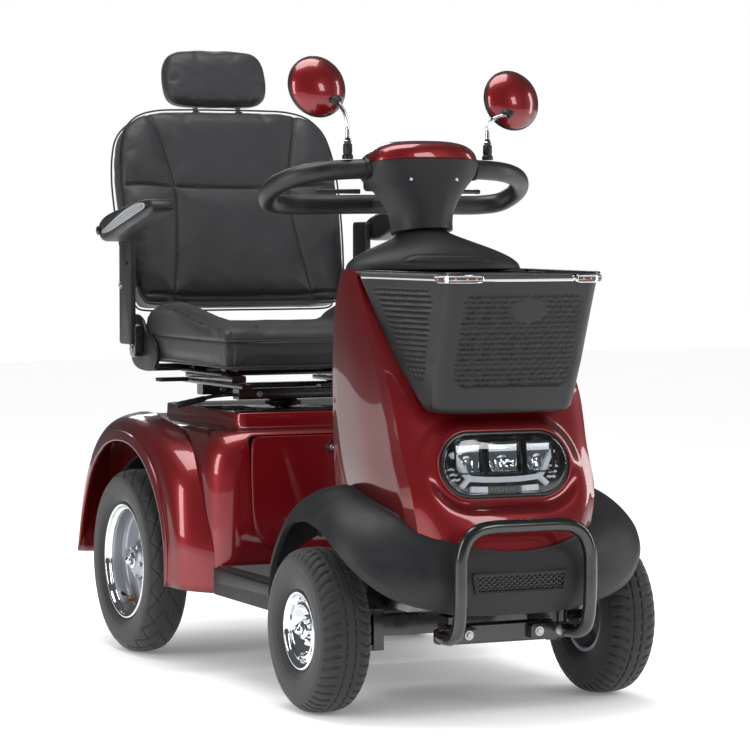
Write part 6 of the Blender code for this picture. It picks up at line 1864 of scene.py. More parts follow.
class SCOOTER_OT_console(bpy.types.Operator):
    """Builds the console on the column with its red cap, instrument panel and handlebar"""

    bl_idname = "scooter.console"
    bl_label = "Console and handlebar"

    def execute(self, context):
        foot = on_tiller(0.954)
        rows = [(foot[2], 0.060, 0.060, foot[1], 2.0, TILLER_LEAN), (foot[2] + 0.001, 0.0645, 0.0645, foot[1], 2.0,
                                                                     TILLER_LEAN),
                (0.962, 0.0650, 0.0645, -0.3663, 2.0, 0.14), (0.975, 0.0655, 0.0648, -0.3645, 2.0, 0.12),
                (1.000, 0.070, 0.068, -0.360, 2.2, 0.06), (1.035, 0.090, 0.074, -0.354, 2.5, 0.06),
                (1.065, 0.116, 0.080, -0.350, 2.8, 0.12), (1.086, 0.1235, 0.0828, -0.349, 3.0, 0.15),
                (1.0935, 0.1242, 0.083, -0.349, 3.0, 0.16), (1.0945, 0.1225, 0.0815, -0.349, 3.0, 0.16)]
        grid = net(np.array([tiller_ring(*row) for row in rows]), 8, 1, wrap=True, sharp_rows=(1, 8))
        shell = surface("console_shell", grid, wrap=True, fill=True, uv=False)
        for side in (-1, 1):
            spot = (side * 0.052, -0.4445, 1.066)
            cut(shell, surface("tool", lathed([(0.0052, -0.006), (0.0060, 0.02)], spot, (0, -1, 0.1), 32),
                               wrap=True, fill=True, uv=False))
        finish(shell, "steering", MATERIALS["grey_plastic"], "dark_plastic", ["console_housing"], angle=36)
        screws = []
        for side in (-1, 1):
            at = np.array([side * 0.052, -0.4260, 1.0645])
            screws.append(surface("screw", lathed([(0.0002, 0.0010), (0.0012, 0.0006), (0.0030, 0.0010),
                                                   (0.0042, 0.0), (0.0002, -0.002)], at, (0, -1, 0.1), 20),
                                  wrap=True, fill=True))
        finish(joined("console_screws", screws), "steering", MATERIALS["zinc"], "chrome")
        rows = [(1.0950, 0.1190, 0.0790, -0.350, 3.0, 0.16), (1.0958, 0.1212, 0.0808, -0.350, 3.0, 0.16),
                (1.0990, 0.1210, 0.0806, -0.350, 3.0, 0.16), (1.1090, 0.1185, 0.0788, -0.350, 2.9, 0.15),
                (1.1200, 0.1125, 0.0745, -0.351, 2.7, 0.13), (1.1310, 0.0990, 0.0635, -0.354, 2.5, 0.10),
                (1.1385, 0.0800, 0.0490, -0.357, 2.3, 0.07), (1.1425, 0.0560, 0.0335, -0.360, 2.2, 0.05),
                (1.1440, 0.0280, 0.0170, -0.361, 2.0, 0.03), (1.1444, 0.0004, 0.0003, -0.361, 2.0, 0.0)]
        grid = net(np.array([tiller_ring(*row) for row in rows]), 5, 1, wrap=True, sharp_rows=(1,))
        grid[..., 2] -= 0.0022 * np.exp(-((np.hypot(grid[..., 0] / 1.7, grid[..., 1] + 0.36) - 0.030)
                                          / 0.0022) ** 2)
        cap = surface("console_lid", grid, wrap=True, fill=True, uv=False)
        finish(cap, "steering", MATERIALS["paint"], "red_paint", ["console_cap"], angle=50)
        path = handle_path()
        handle = surface("handlebar_loop", swept(path, circle(0.0205, 32)), wrap=True, fill=True, uv=False)
        finish(handle, "steering", MATERIALS["soft_grip"], "grip_rubber", ["handlebar"])
        clamps = []
        for side in (-1, 1):
            near = path[np.argmin(np.abs(path[:, 0] - side * 0.1215) + (path[:, 1] > -0.3) * 9)]
            other = path[np.argmin(np.abs(path[:, 0] - side * 0.1300) + (path[:, 1] > -0.3) * 9)]
            clamps.append(surface("collar", lathed([(0.0206, -0.004), (0.0232, -0.0036), (0.0236, 0.0),
                                                    (0.0232, 0.0042), (0.0206, 0.0048)], near, other - near, 48),
                                  wrap=True, wrap_rows=True))
        finish(joined("handlebar_collars", clamps), "steering", MATERIALS["black_plastic"], "black_plastic")
        # bracket to the rear of the loop, and the instrument panel that faces the rider
        bracket = surface("handlebar_bracket", slab(rounded_box(0.030, 0.0650, 0.010, 6), 0.020, 0.003,
                                                    (0, -0.2360, 1.0135), (1, 0, 0), (0, 1, 0)),
                          wrap=True, fill=True)
        finish(bracket, "steering", MATERIALS["grey_plastic"], "dark_plastic")
        panel = surface("instrument_panel", slab(rounded_box(0.0850, 0.0168, 0.009, 6), 0.075, 0.004,
                                                 (0, -0.2936, 1.0570), (1, 0, 0), (0, 0, 1)), wrap=True, fill=True)
        finish(panel, "steering", MATERIALS["grey_plastic"], "dark_plastic")
        face = surface("instrument_face", slab(rounded_box(0.0790, 0.0130, 0.006, 6), 0.0012, 0.0004,
                                               (0, -0.2559, 1.0570), (1, 0, 0), (0, 0, 1)), wrap=True, fill=True)
        finish(face, "steering", MATERIALS["gloss_black"], "black_plastic")
        ticks = []
        for k in range(11):
            a = math.radians(-135 + 27 * k)
            at = np.array([0.0190 * math.sin(a), -0.2551, 1.0570 + 0.0125 * math.cos(a)])
            ticks.append(surface("tick", slab(rounded_box(0.0007, 0.0012, 0.0003, 2), 0.0004, 0.0001, at,
                                              (math.cos(a), 0, -math.sin(a)), (math.sin(a), 0, math.cos(a))),
                                 wrap=True, fill=True))
        # the ticks are white print; the glowing guide material also gives them a faint painted glow, as they light
        # nothing
        finish(joined("speed_dial_ticks", ticks), "steering", MATERIALS["guide"], "dark_plastic")
        return {"FINISHED"}


class SCOOTER_OT_controls(bpy.types.Operator):
    """Builds the two finger levers, the key, the speed dial and the horn button"""

    bl_idname = "scooter.controls"
    bl_label = "Controls"

    def execute(self, context):
        for word, side in SIDES:
            route = curve([(side * 0.104, -0.286, 1.040), (side * 0.130, -0.2775, 1.040),
                           (side * 0.160, -0.2650, 1.0400), (side * 0.190, -0.252, 1.040)], 10)
            share = np.linspace(0, 1, len(route))
            size = 1.0 - 0.18 * share + 0.16 * np.exp(-((share - 0.93) / 0.06) ** 2)
            size[0] = 0.85
            size[-1] = 0.55
            lever = surface("finger_lever_" + word, swept(route, superellipse(0.0066, 0.0052, 3, 28), scale=size,
                                                          across=(0.3 * side, 1, 0)), wrap=True, fill=True)
            finish(lever, "throttle_lever_" + word, MATERIALS["black_plastic"], "black_plastic",
                   ["throttle_lever_" + word])
        face = -0.2555
        key_at = np.array([-0.050, face, 1.057])
        barrel = [(0.0002, 0.0060), (0.0060, 0.0060), (0.0082, 0.0052), (0.0090, 0.0038), (0.0090, 0.0),
                  (0.0002, 0.0)]
        lock = surface("key_barrel", lathed(barrel, key_at, (0, 1, 0), 48), wrap=True, fill=True)
        finish(lock, "ignition_key", MATERIALS["chrome"], "chrome", ["ignition_key"], angle=40)
        blade = surface("key_blade", slab(rounded_box(0.0050, 0.0036, 0.001, 3), 0.0020, 0.0004,
                                          key_at + [0, 0.0095, 0], (0, 1, 0), (0, 0, 1)), wrap=True, fill=True)
        finish(blade, "ignition_key", MATERIALS["zinc"], "chrome")
        bow = surface("key_bow", slab(superellipse(0.0080, 0.0085, 2.8, 40), 0.0034, 0.0010,
                                      key_at + [0, 0.0180, 0], (0, 1, 0), (0, 0, 1)), wrap=True, fill=True)
        finish(bow, "ignition_key", MATERIALS["black_plastic"], "chrome")
        profile = np.array([(0.0146, 0.0), (0.0150, 0.0012), (0.0146, 0.0030), (0.0132, 0.0046), (0.0127, 0.0110),
                            (0.0120, 0.0132), (0.0100, 0.0140), (0.0060, 0.0136), (0.0003, 0.0136)])
        grid = lathed(even(profile, 40), (0.0, face, 1.057), (0, 1, 0), 120)
        offset = grid - [0.0, face, 1.057]
        radius = np.hypot(offset[..., 0], offset[..., 2])
        turn = np.arctan2(offset[..., 2], offset[..., 0])
        knurl = 1 - 0.05 * np.maximum(np.cos(20 * turn), 0) * ((radius > 0.0115) & (offset[..., 1] > 0.0045))
        grid[..., 0] = offset[..., 0] * knurl
        grid[..., 2] = 1.057 + offset[..., 2] * knurl
        dial = surface("speed_knob", grid, wrap=True, fill=True)
        finish(dial, "speed_dial", MATERIALS["black_plastic"], "black_plastic", ["speed_dial"], angle=40)
        mark = surface("speed_knob_mark", slab(rounded_box(0.0008, 0.0042, 0.0004, 3), 0.0006, 0.0002,
                                               (0, face + 0.0140, 1.0642), (1, 0, 0), (0, 0, 1)),
                       wrap=True, fill=True)
        # the mark is white print; the glowing guide material also gives it a faint painted glow, as it lights nothing
        finish(mark, "speed_dial", MATERIALS["guide"], "black_plastic")
        horn = [(0.0002, 0.0072), (0.0030, 0.0070), (0.0060, 0.0062), (0.0076, 0.0050), (0.0080, 0.0036),
                (0.0080, 0.0020), (0.0002, 0.0020)]
        button = surface("horn_push", lathed(horn, (0.050, face, 1.057), (0, 1, 0), 48), wrap=True, fill=True)
        finish(button, "horn_button", MATERIALS["red_lens"], "red_lens", ["horn_button"])
        ring = [(0.0083, 0.0), (0.0083, 0.0024), (0.0090, 0.0030), (0.0104, 0.0026), (0.0110, 0.0)]
        bezel = surface("horn_bezel", lathed(ring, (0.050, face, 1.057), (0, 1, 0), 48), wrap_rows=True, wrap=True)
        finish(bezel, "steering", MATERIALS["chrome"], "chrome")
        return {"FINISHED"}


class SCOOTER_OT_mirrors(bpy.types.Operator):
    """Builds the two round mirrors with their stems and sockets"""

    bl_idname = "scooter.mirrors"
    bl_label = "Mirrors"

    def execute(self, context):
        yaw, pitch = math.radians(4.0), math.radians(14.0)
        face = np.array([math.sin(yaw), -math.cos(yaw) * math.cos(pitch), math.sin(pitch)])
        for word, side in SIDES:
            arm, shell_body = "mirror_arm_" + word, "mirror_shell_" + word
            foot = np.array([side * 0.161, -0.350, 1.106])
            lift = -0.011 * side
            joint = np.array([side * 0.194, -0.376, 1.212 + lift])
            elbow = np.array([side * 0.161, -0.350, 1.182])
            boot = [(0.0100, 0.0), (0.0116, 0.0010), (0.0116, 0.0070), (0.0100, 0.0090), (0.0092, 0.0100),
                    (0.0092, 0.0130), (0.0098, 0.0140), (0.0094, 0.0300), (0.0080, 0.0320), (0.0064, 0.0325),
                    (0.0056, 0.0420), (0.0044, 0.0440)]
            socket = surface("mirror_boot_" + word, lathed(boot, foot, (0, 0, 1), 40), wrap=True, fill=True)
            finish(socket, arm, MATERIALS["black_plastic"], "chrome", ["mirror_arm_" + word], angle=40)
            nut = joined("mirror_nut_" + word, bolt(foot + [0, 0, 0.0325], (0, 0, 1), 0.0082, 0.0060, False))
            finish(nut, arm, MATERIALS["chrome"], "chrome", angle=30)
            route = curve([foot + [0, 0, 0.036], foot + [0, 0, 0.060], elbow - [0, 0, 0.004],
                           elbow * 0.65 + joint * 0.35 + [0, 0, 0.0045], joint], 10)
            stem = surface("mirror_stem_" + word, swept(route, circle(0.0042, 20)), wrap=True, fill=True)
            finish(stem, arm, MATERIALS["chrome"], "chrome")
            centre = np.array([side * 0.224, -0.339, 1.244 + lift])
            dome = curve([(0.0003, 0.0340), (0.0120, 0.0334), (0.0240, 0.0312), (0.0360, 0.0270),
                          (0.0470, 0.0208), (0.0560, 0.0128), (0.0612, 0.0060), (0.0632, 0.0012)], 6)
            shell = surface("mirror_dome_" + word, lathed(dome, centre, face, 96), wrap=True, fill=True)
            finish(shell, shell_body, MATERIALS["paint"], "red_paint", ["mirror_shell_" + word], angle=60)
            ring = [(0.0600, 0.0010), (0.0636, 0.0016), (0.0650, -0.0004), (0.0654, -0.0050), (0.0640, -0.0088),
                    (0.0612, -0.0096), (0.0596, -0.0086), (0.0592, -0.0060), (0.0560, -0.0050)]
            bezel = surface("mirror_bezel_" + word, lathed(ring, centre, face, 96), wrap_rows=True, wrap=True)
            finish(bezel, shell_body, MATERIALS["black_plastic"], "black_plastic", angle=50)
            pane = [(0.0002, -0.0078), (0.0300, -0.0073), (0.0590, -0.0062), (0.0594, -0.0040), (0.0002, -0.0040)]
            glass = surface("mirror_pane_" + word, lathed(pane, centre, face, 96), wrap=True, fill=True)
            finish(glass, shell_body, MATERIALS["mirror_glass"], "chrome", angle=30)
            # the clamp on the rim that holds the ball at the stem's end
            toward = unit(centre - joint)
            wedge_path = np.array([joint - toward * 0.004, joint + toward * 0.004, joint + toward * 0.012])
            wedge = surface("mirror_clamp_" + word, swept(even(wedge_path, 9), superellipse(0.0110, 0.0062, 3, 28),
                                                          scale=np.array([0.6, 0.86, 0.98, 1.0, 1.05, 1.1, 1.15,
                                                                          1.2, 1.1]), across=(1, 0, 0)),
                            wrap=True, fill=True)
            finish(wedge, shell_body, MATERIALS["black_plastic"], "black_plastic")
        return {"FINISHED"}


# ---------------------------------------------------------------- seat

RECLINE = np.array([0.0, 0.575, 0.680])
BACK_TILT = math.radians(17.0)
BACK_UP = np.array([0.0, math.sin(BACK_TILT), math.cos(BACK_TILT)])
BACK_FACE = np.array([0.0, -math.cos(BACK_TILT), math.sin(BACK_TILT)])
BACK_AT = np.array([0.0, 0.712, 1.004])
HEAD_AT = np.array([0.0, 0.812, 1.3165])


def pad_grid(outline, half_depth, crown, edge, count=200, rings=34):
    """A padded panel over an (across, up) outline, as (across, up, out) rows from the front's middle to the back's.

    The front swells by the crown times the square root of the distance in from the edge; the edge is a half
    circle of its own radius, and the back swells a third as much.
    """
    outline = even(outline, count, closed=True)
    rows = []
    for out, swell in ((1, crown), (-1, crown / 3)):
        part = []
        for share in np.linspace(0.02, 0.90, rings):
            height = half_depth - edge + edge + swell * math.sqrt(1 - share ** 2.6)
            part.append(np.column_stack([outline * share, np.full(count, out * height)]))
        bend = np.linspace(math.pi / 2, 0, 8)
        lip = swell * math.sqrt(1 - 0.90 ** 2.6)
        for a in bend:
            ring = inset(outline, edge * (1 - math.cos(a)))
            level = (half_depth - edge) + edge * math.sin(a) + lip * math.sin(a)
            part.append(np.column_stack([ring, np.full(count, out * level)]))
        rows.append(part if out > 0 else part[::-1][1:])
    return np.array(rows[0] + rows[1])


def line_distance(points, line):
    """Distance of each (across, up) point from a polyline."""
    line = np.asarray(line, float)
    best = np.full(len(points), 9.0)
    for a, b in zip(line[:-1], line[1:]):
        ab = b - a
        t = np.clip((points - a) @ ab / (ab @ ab), 0, 1)
        best = np.minimum(best, np.linalg.norm(points - a - t[:, None] * ab, axis=1))
    return best


def swell_up(obj, cap, voxel=0.006):
    """Blows the pad up a little as cloth under pressure, and keeps each point within the cap of its start."""
    remesh = obj.modifiers.new("voxels", "REMESH")
    remesh.mode = "VOXEL"
    remesh.voxel_size = voxel
    bake(obj)
    start = np.empty(len(obj.data.vertices) * 3, np.float32)
    obj.data.vertices.foreach_get("co", start)
    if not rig.quick():
        cloth = obj.modifiers.new("cloth", "CLOTH")
        cloth.settings.use_pressure = True
        cloth.settings.uniform_pressure_force = 4.0
        cloth.settings.effector_weights.gravity = 0.0
        cloth.settings.quality = 5
        cloth.collision_settings.use_collision = False
        scene = bpy.context.scene
        for step in range(1, 13):
            scene.frame_set(step)
        graph = bpy.context.evaluated_depsgraph_get()
        moved = np.empty_like(start)
        shape = obj.evaluated_get(graph).to_mesh()
        shape.vertices.foreach_get("co", moved)
        obj.evaluated_get(graph).to_mesh_clear()
        scene.frame_set(1)
        obj.modifiers.clear()
        gap = (moved - start).reshape(-1, 3)
        size = np.linalg.norm(gap, axis=1, keepdims=True)
        gap = gap / np.maximum(size, 1e-9) * cap * (1 - np.exp(-size / cap))
        obj.data.vertices.foreach_set("co", (start.reshape(-1, 3) + gap).ravel().astype(np.float32))
        obj.data.update()
    fine = obj.modifiers.new("fine", "SUBSURF")
    fine.levels = fine.render_levels = 1
    bake(obj)
    return obj


def local_points(obj, origin, x_axis, y_axis, z_axis):
    """The mesh's points in the frame of a pad."""
    points = np.empty(len(obj.data.vertices) * 3, np.float32)
    obj.data.vertices.foreach_get("co", points)
    points = points.reshape(-1, 3) - OFFSET - origin
    return points @ np.array([x_axis, y_axis, z_axis]).T


def carve(obj, origin, axes, push):
    """Moves the mesh's points along the pad's third axis and the others, by an array in the pad's frame."""
    local = local_points(obj, origin, *axes) + push
    world = local @ np.array(axes) + origin + OFFSET
    obj.data.vertices.foreach_set("co", world.ravel().astype(np.float32))
    obj.data.update()


def on_skin(obj, points, direction, lift=0.0):
    """Points dropped onto a mesh along a direction. Points that miss stay where they are."""
    graph = bpy.context.evaluated_depsgraph_get()
    d = Vector(direction)
    found = []
    for p in np.asarray(points, float) + OFFSET:
        hit, where, normal, _ = obj.ray_cast(Vector(p) - d * 0.2, d, distance=0.4, depsgraph=graph)
        found.append((np.array(where) + np.array(normal) * lift) if hit else p)
    return np.array(found) - OFFSET


def stitched(name, obj, line, direction, body, gap=0.0032, twin=True):
    """A row of stitches on each side of a seam line, each a small bead that lies on the skin."""
    pitch = sizes().stitch
    line = np.asarray(line, float)
    length = np.linalg.norm(np.diff(line, axis=0), axis=1).sum()
    count = max(int(length / pitch), 4)
    path = even(line, count)
    along = unit(np.gradient(path, axis=0))
    aside = unit(np.cross(along, direction))
    rows = [path + aside * gap] + ([path - aside * gap] if twin else [])
    centres = np.concatenate([on_skin(obj, row, direction, 0.0004) for row in rows])
    x = np.concatenate([along] * len(rows)) * pitch * 0.62
    up = -np.broadcast_to(unit(direction), x.shape)
    y = unit(np.cross(up, x)) * 0.0011
    made = copies(name, capsule(5, 2), (centres, x, y, up * 0.0011))
    finish(made, body, MATERIALS["thread"], "seat_foam")
    return made


def piping(name, path, body, closed=False):
    """A covered cord that stands along an edge of the upholstery."""
    made = surface(name, swept(path, circle(sizes().piping, 12), closed=closed), wrap_rows=closed, wrap=True,
                   fill=not closed)
    finish(made, body, MATERIALS["leather"], "seat_foam")
    return made


def pad_from(name, grid, origin, axes):
    """A closed pad from a grid in the pad's own frame."""
    world = grid @ np.array(axes) + origin
    return surface(name, world, wrap=True, fill=True, uv=False)


BACK_AXES = (np.array([1.0, 0, 0]), BACK_UP, BACK_FACE)


class SCOOTER_OT_headrest(bpy.types.Operator):
    """Builds the headrest pad and its two rods"""

    bl_idname = "scooter.headrest"
    bl_label = "Headrest"

    def execute(self, context):
        top = [(0.0, 0.0735), (0.060, 0.0730), (0.096, 0.0690), (0.119, 0.0560), (0.1310, 0.0300),
               (0.1345, 0.0), (0.1330, -0.0350), (0.1230, -0.0570), (0.1010, -0.0690), (0.060, -0.0730)]
        half = np.array(top)
        ring = np.concatenate([half, [(0.0, -0.0735)], (half[1:] * [-1, 1])[::-1]])[::-1]
        outline = curve(ring, 8, closed=True)
        pad = pad_from("headrest_cushion", pad_grid(inset(outline, 0.003), 0.026, 0.008, 0.022), HEAD_AT, BACK_AXES)
        swell_up(pad, 0.005)
        local = local_points(pad, HEAD_AT, *BACK_AXES)
        seam = np.exp(-(np.abs(local[:, 2] - 0.013) / 0.0022) ** 2)
        edge = smoothstep(0.75, 0.95, np.maximum(np.abs(local[:, 0]) / 0.132, np.abs(local[:, 1]) / 0.071))
        inward = -unit(np.column_stack([local[:, :2], np.zeros(len(local))]))
        folds = 0.0007 * np.sin(local[:, 0] * 90 + 3 * np.sin(local[:, 1] * 40)) * np.sin(local[:, 1] * 60)
        push = inward * (seam * edge * 0.0026)[:, None]
        push[:, 2] += folds
        carve(pad, HEAD_AT, BACK_AXES, push)
        finish(pad, "headrest", MATERIALS["leather"], "seat_foam", ["headrest"])
        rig.padded(pad, fill=0.9)
        rods = [surface("rod", lathed([(0.0002, 0.0), (0.0060, 0.0), (0.0060, 0.185), (0.0002, 0.185)],
                                      HEAD_AT + [side * 0.055, 0, 0] - BACK_UP * 0.200, BACK_UP, 28), wrap=True,
                        fill=True) for side in (-1, 1)]
        finish(joined("headrest_rods", rods), "headrest", MATERIALS["chrome"], "chrome")
        sockets = [surface("socket", lathed([(0.0064, 0.0), (0.0130, 0.0), (0.0132, 0.0040), (0.0110, 0.0068),
                                             (0.0064, 0.0070)],
                                            BACK_AT + BACK_UP * 0.2380 + [side * 0.055, 0, 0]
                                            + (HEAD_AT - BACK_AT - BACK_UP * ((HEAD_AT - BACK_AT) @ BACK_UP)),
                                            BACK_UP, 28), wrap=True, wrap_rows=True) for side in (-1, 1)]
        finish(joined("headrest_sockets", sockets), "backrest", MATERIALS["black_plastic"], "black_plastic")
        return {"FINISHED"}


# Seams of the backrest's face, as (across, up) lines
BACK_SEAMS = [[(-0.190, 0.232), (-0.166, 0.150), (-0.148, 0.060), (-0.146, -0.010), (-0.158, -0.110),
               (-0.176, -0.225)],
              [(-0.262, 0.052), (-0.148, 0.046), (0.0, 0.043), (0.148, 0.046), (0.262, 0.052)],
              [(-0.250, -0.214), (-0.120, -0.220), (0.0, -0.221), (0.120, -0.220), (0.250, -0.214)]]
BACK_SEAMS.append([(-x, z) for x, z in BACK_SEAMS[0]])


class SCOOTER_OT_backrest(bpy.types.Operator):
    """Builds the backrest pad with its sewn seams, side gussets and stitches"""

    bl_idname = "scooter.backrest"
    bl_label = "Backrest"

    def execute(self, context):
        half = [(0.0, 0.2440), (0.100, 0.2435), (0.170, 0.2400), (0.222, 0.2240), (0.258, 0.1880), (0.2740, 0.1400),
                (0.2815, 0.0800), (0.2825, 0.0200), (0.2800, -0.0500), (0.2745, -0.1250), (0.2660, -0.1950),
                (0.2560, -0.2280), (0.2350, -0.2420), (0.150, -0.2440)]
        ring = np.concatenate([half, [(0.0, -0.2440)], (np.array(half[1:]) * [-1, 1])[::-1]])[::-1]
        outline = curve(ring, 8, closed=True)
        pad = pad_from("backrest_cushion", pad_grid(inset(outline, 0.004), 0.0370, 0.004, 0.016, 260, 40), BACK_AT,
                       BACK_AXES)
        swell_up(pad, sizes().cloth_rise)
        local = local_points(pad, BACK_AT, *BACK_AXES)
        front = smoothstep(0.0, 0.02, local[:, 2])
        flat = local[:, :2]
        dip = np.zeros(len(local))
        nearest = np.full(len(local), 9.0)
        for k, seam in enumerate(BACK_SEAMS):
            d = line_distance(flat, curve(seam, 8))
            nearest = np.minimum(nearest, d)
            dip = np.maximum(dip, np.exp(-(d / 0.0042) ** 2) * 0.0060 + np.exp(-(d / 0.022) ** 2) * 0.0045)
        puff = 0.004 * smoothstep(0.0, 0.06, nearest)
        # side bolsters stand a little proud of the middle
        bolster = 0.0055 * smoothstep(0.150, 0.205, np.abs(local[:, 0]))
        creases = 0.0006 * np.sin(flat[:, 0] * 75 + 2.5 * np.sin(flat[:, 1] * 33)) * np.sin(flat[:, 1] * 48 + 1.0)
        push = np.zeros_like(local)
        push[:, 2] = front * (puff + bolster + creases - dip - 0.004)
        rim = np.exp(-(np.abs(np.abs(local[:, 2]) - 0.026) / 0.0025) ** 2)
        edge = 1 - smoothstep(0.0, 0.010, 0.2825 - np.abs(local[:, 0])) * smoothstep(0.0, 0.010,
                                                                                    0.244 - np.abs(local[:, 1]))
        push -= np.column_stack([unit(flat) * (rim * edge * 0.0028)[:, None], np.zeros(len(local))])
        carve(pad, BACK_AT, BACK_AXES, push)
        finish(pad, "backrest", MATERIALS["leather"], "seat_foam", ["backrest_pad"])
        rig.padded(pad, fill=0.85)
        for k, seam in enumerate(BACK_SEAMS[:2] + BACK_SEAMS[3:]):
            line = curve(seam, 10)
            line = line[4:-4]
            world = BACK_AT + line[:, :1] * BACK_AXES[0] + line[:, 1:] * BACK_UP + BACK_FACE * 0.045
            stitched("backrest_stitches_%d" % k, pad, world, -BACK_FACE, "backrest", 0.0048)
        for word, out in (("front", 0.0265), ("rear", -0.0290)):
            edge_line = inset(even(outline, 260, closed=True), 0.0030)
            path = BACK_AT + edge_line[:, :1] * BACK_AXES[0] + edge_line[:, 1:] * BACK_UP + BACK_FACE * out
            piping("backrest_piping_" + word, path, "backrest", closed=True)
        return {"FINISHED"}


# Side views of the seat cushion's outside, as (y, z), at its side and at its middle
CUSHION_SIDE = [(0.091, 0.654), (0.084, 0.690), (0.086, 0.724), (0.104, 0.742), (0.160, 0.7480), (0.240, 0.7560),
                (0.310, 0.7660), (0.400, 0.7830), (0.470, 0.7870), (0.540, 0.7780), (0.583, 0.752), (0.596, 0.705),
                (0.589, 0.654)]
CUSHION_MIDDLE = [(0.091, 0.654), (0.084, 0.690), (0.087, 0.722), (0.106, 0.739), (0.160, 0.7415), (0.240, 0.7410),
                  (0.310, 0.7400), (0.400, 0.7390), (0.470, 0.7390), (0.540, 0.7400), (0.583, 0.730),
                  (0.596, 0.700), (0.589, 0.654)]


class SCOOTER_OT_cushion(bpy.types.Operator):
    """Builds the seat cushion: raised bolsters, a lower middle, piping and corner seams"""

    bl_idname = "scooter.cushion"
    bl_label = "Seat cushion"

    def execute(self, context):
        side_view, middle_view = np.array(CUSHION_SIDE), np.array(CUSHION_MIDDLE)
        stations = np.array([-0.2560, -0.2590, -0.2600, -0.2560, -0.2400, -0.2150, -0.1850, -0.1650, -0.1400,
                             -0.0700, 0.0])
        stations = np.concatenate([stations, -stations[-2::-1]])
        rows = []
        for x in stations:
            share = abs(x) / 0.26
            mix = smoothstep(0.58, 0.80, share)
            view = middle_view + (side_view - middle_view) * mix
            rows.append(view)
        rows = np.array(rows)
        centre = np.array([0.34, 0.70])
        shrink = np.interp(np.arange(len(stations)), [0, 1, 2, 3, 4, 16, 17, 18, 19, 20],
                           [0.80, 0.91, 0.96, 0.985, 1.0, 1.0, 0.985, 0.96, 0.91, 0.80])
        moved = centre + (rows - centre) * (1 - (1 - shrink[:, None, None]) * np.array([0.22, 1.0]))
        grid = np.concatenate([np.repeat(stations[:, None, None], rows.shape[1], 1), moved], 2)
        grid = net(grid, 6, 5, wrap=True, sharp=(0, 12))
        pad = surface("seat_cushion_pad", grid, wrap=True, fill=True, uv=False)
        swell_up(pad, sizes().cloth_rise * 0.6)
        axes = (np.array([1.0, 0, 0]), np.array([0, 1.0, 0]), np.array([0, 0, 1.0]))
        local = local_points(pad, np.zeros(3), *axes)
        top = smoothstep(0.705, 0.735, local[:, 2])
        push = np.zeros_like(local)
        for x in (-0.172, 0.172):
            groove = np.exp(-((local[:, 0] - x) / 0.0038) ** 2) * 0.0055
            push[:, 2] -= groove * top * smoothstep(0.100, 0.125, local[:, 1])
        cross = np.exp(-((local[:, 1] - 0.205) / 0.004) ** 2) * 0.0045 * (np.abs(local[:, 0]) < 0.172)
        push[:, 2] -= cross * top
        push[:, 2] += 0.0006 * np.sin(local[:, 0] * 70 + 2 * np.sin(local[:, 1] * 30)) * np.sin(local[:, 1] * 52) * top
        # the seam round the sides, under the top panel
        ring = np.exp(-((local[:, 2] - 0.7140) / 0.0026) ** 2)
        front = smoothstep(0.100, 0.090, local[:, 1])
        flank = smoothstep(0.246, 0.254, np.abs(local[:, 0]))
        push[:, 1] += ring * front * 0.0030
        push[:, 0] -= np.sign(local[:, 0]) * ring * flank * 0.0030
        corner = np.exp(-((np.abs(local[:, 0]) - 0.240) / 0.0028) ** 2) * front
        push[:, 1] += corner * 0.0030
        carve(pad, np.zeros(3), axes, push)
        finish(pad, "seat_slide", MATERIALS["leather"], "seat_foam", ["seat_cushion"])
        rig.padded(pad, fill=0.85)
        for k, x in enumerate((-0.172, 0.172)):
            line = [(x, y, 0.80) for y in np.linspace(0.128, 0.540, 30)]
            stitched("cushion_stitches_%d" % k, pad, line, (0, 0, -1), "seat_slide", 0.0050)
        line = [(x, 0.205, 0.80) for x in np.linspace(-0.160, 0.160, 30)]
        stitched("cushion_stitches_2", pad, line, (0, 0, -1), "seat_slide", 0.0050)
        loop = rounded_box(0.2605, 0.2570, 0.030, 10) + [0, 0.3395]
        loop = even(loop, 260, closed=True)
        base = np.column_stack([loop, np.full(len(loop), 0.6575)])
        piping("cushion_piping_low", base, "seat_slide", closed=True)
        front_line = even(curve([(-0.2555, 0.115, 0.7140), (-0.2500, 0.0905, 0.7145), (-0.2350, 0.0842, 0.7150),
                                 (0.0, 0.0835, 0.7150), (0.2350, 0.0842, 0.7150), (0.2500, 0.0905, 0.7145),
                                 (0.2555, 0.115, 0.7140)], 20), 160)
        piping("cushion_piping_front", front_line, "seat_slide")
        return {"FINISHED"}


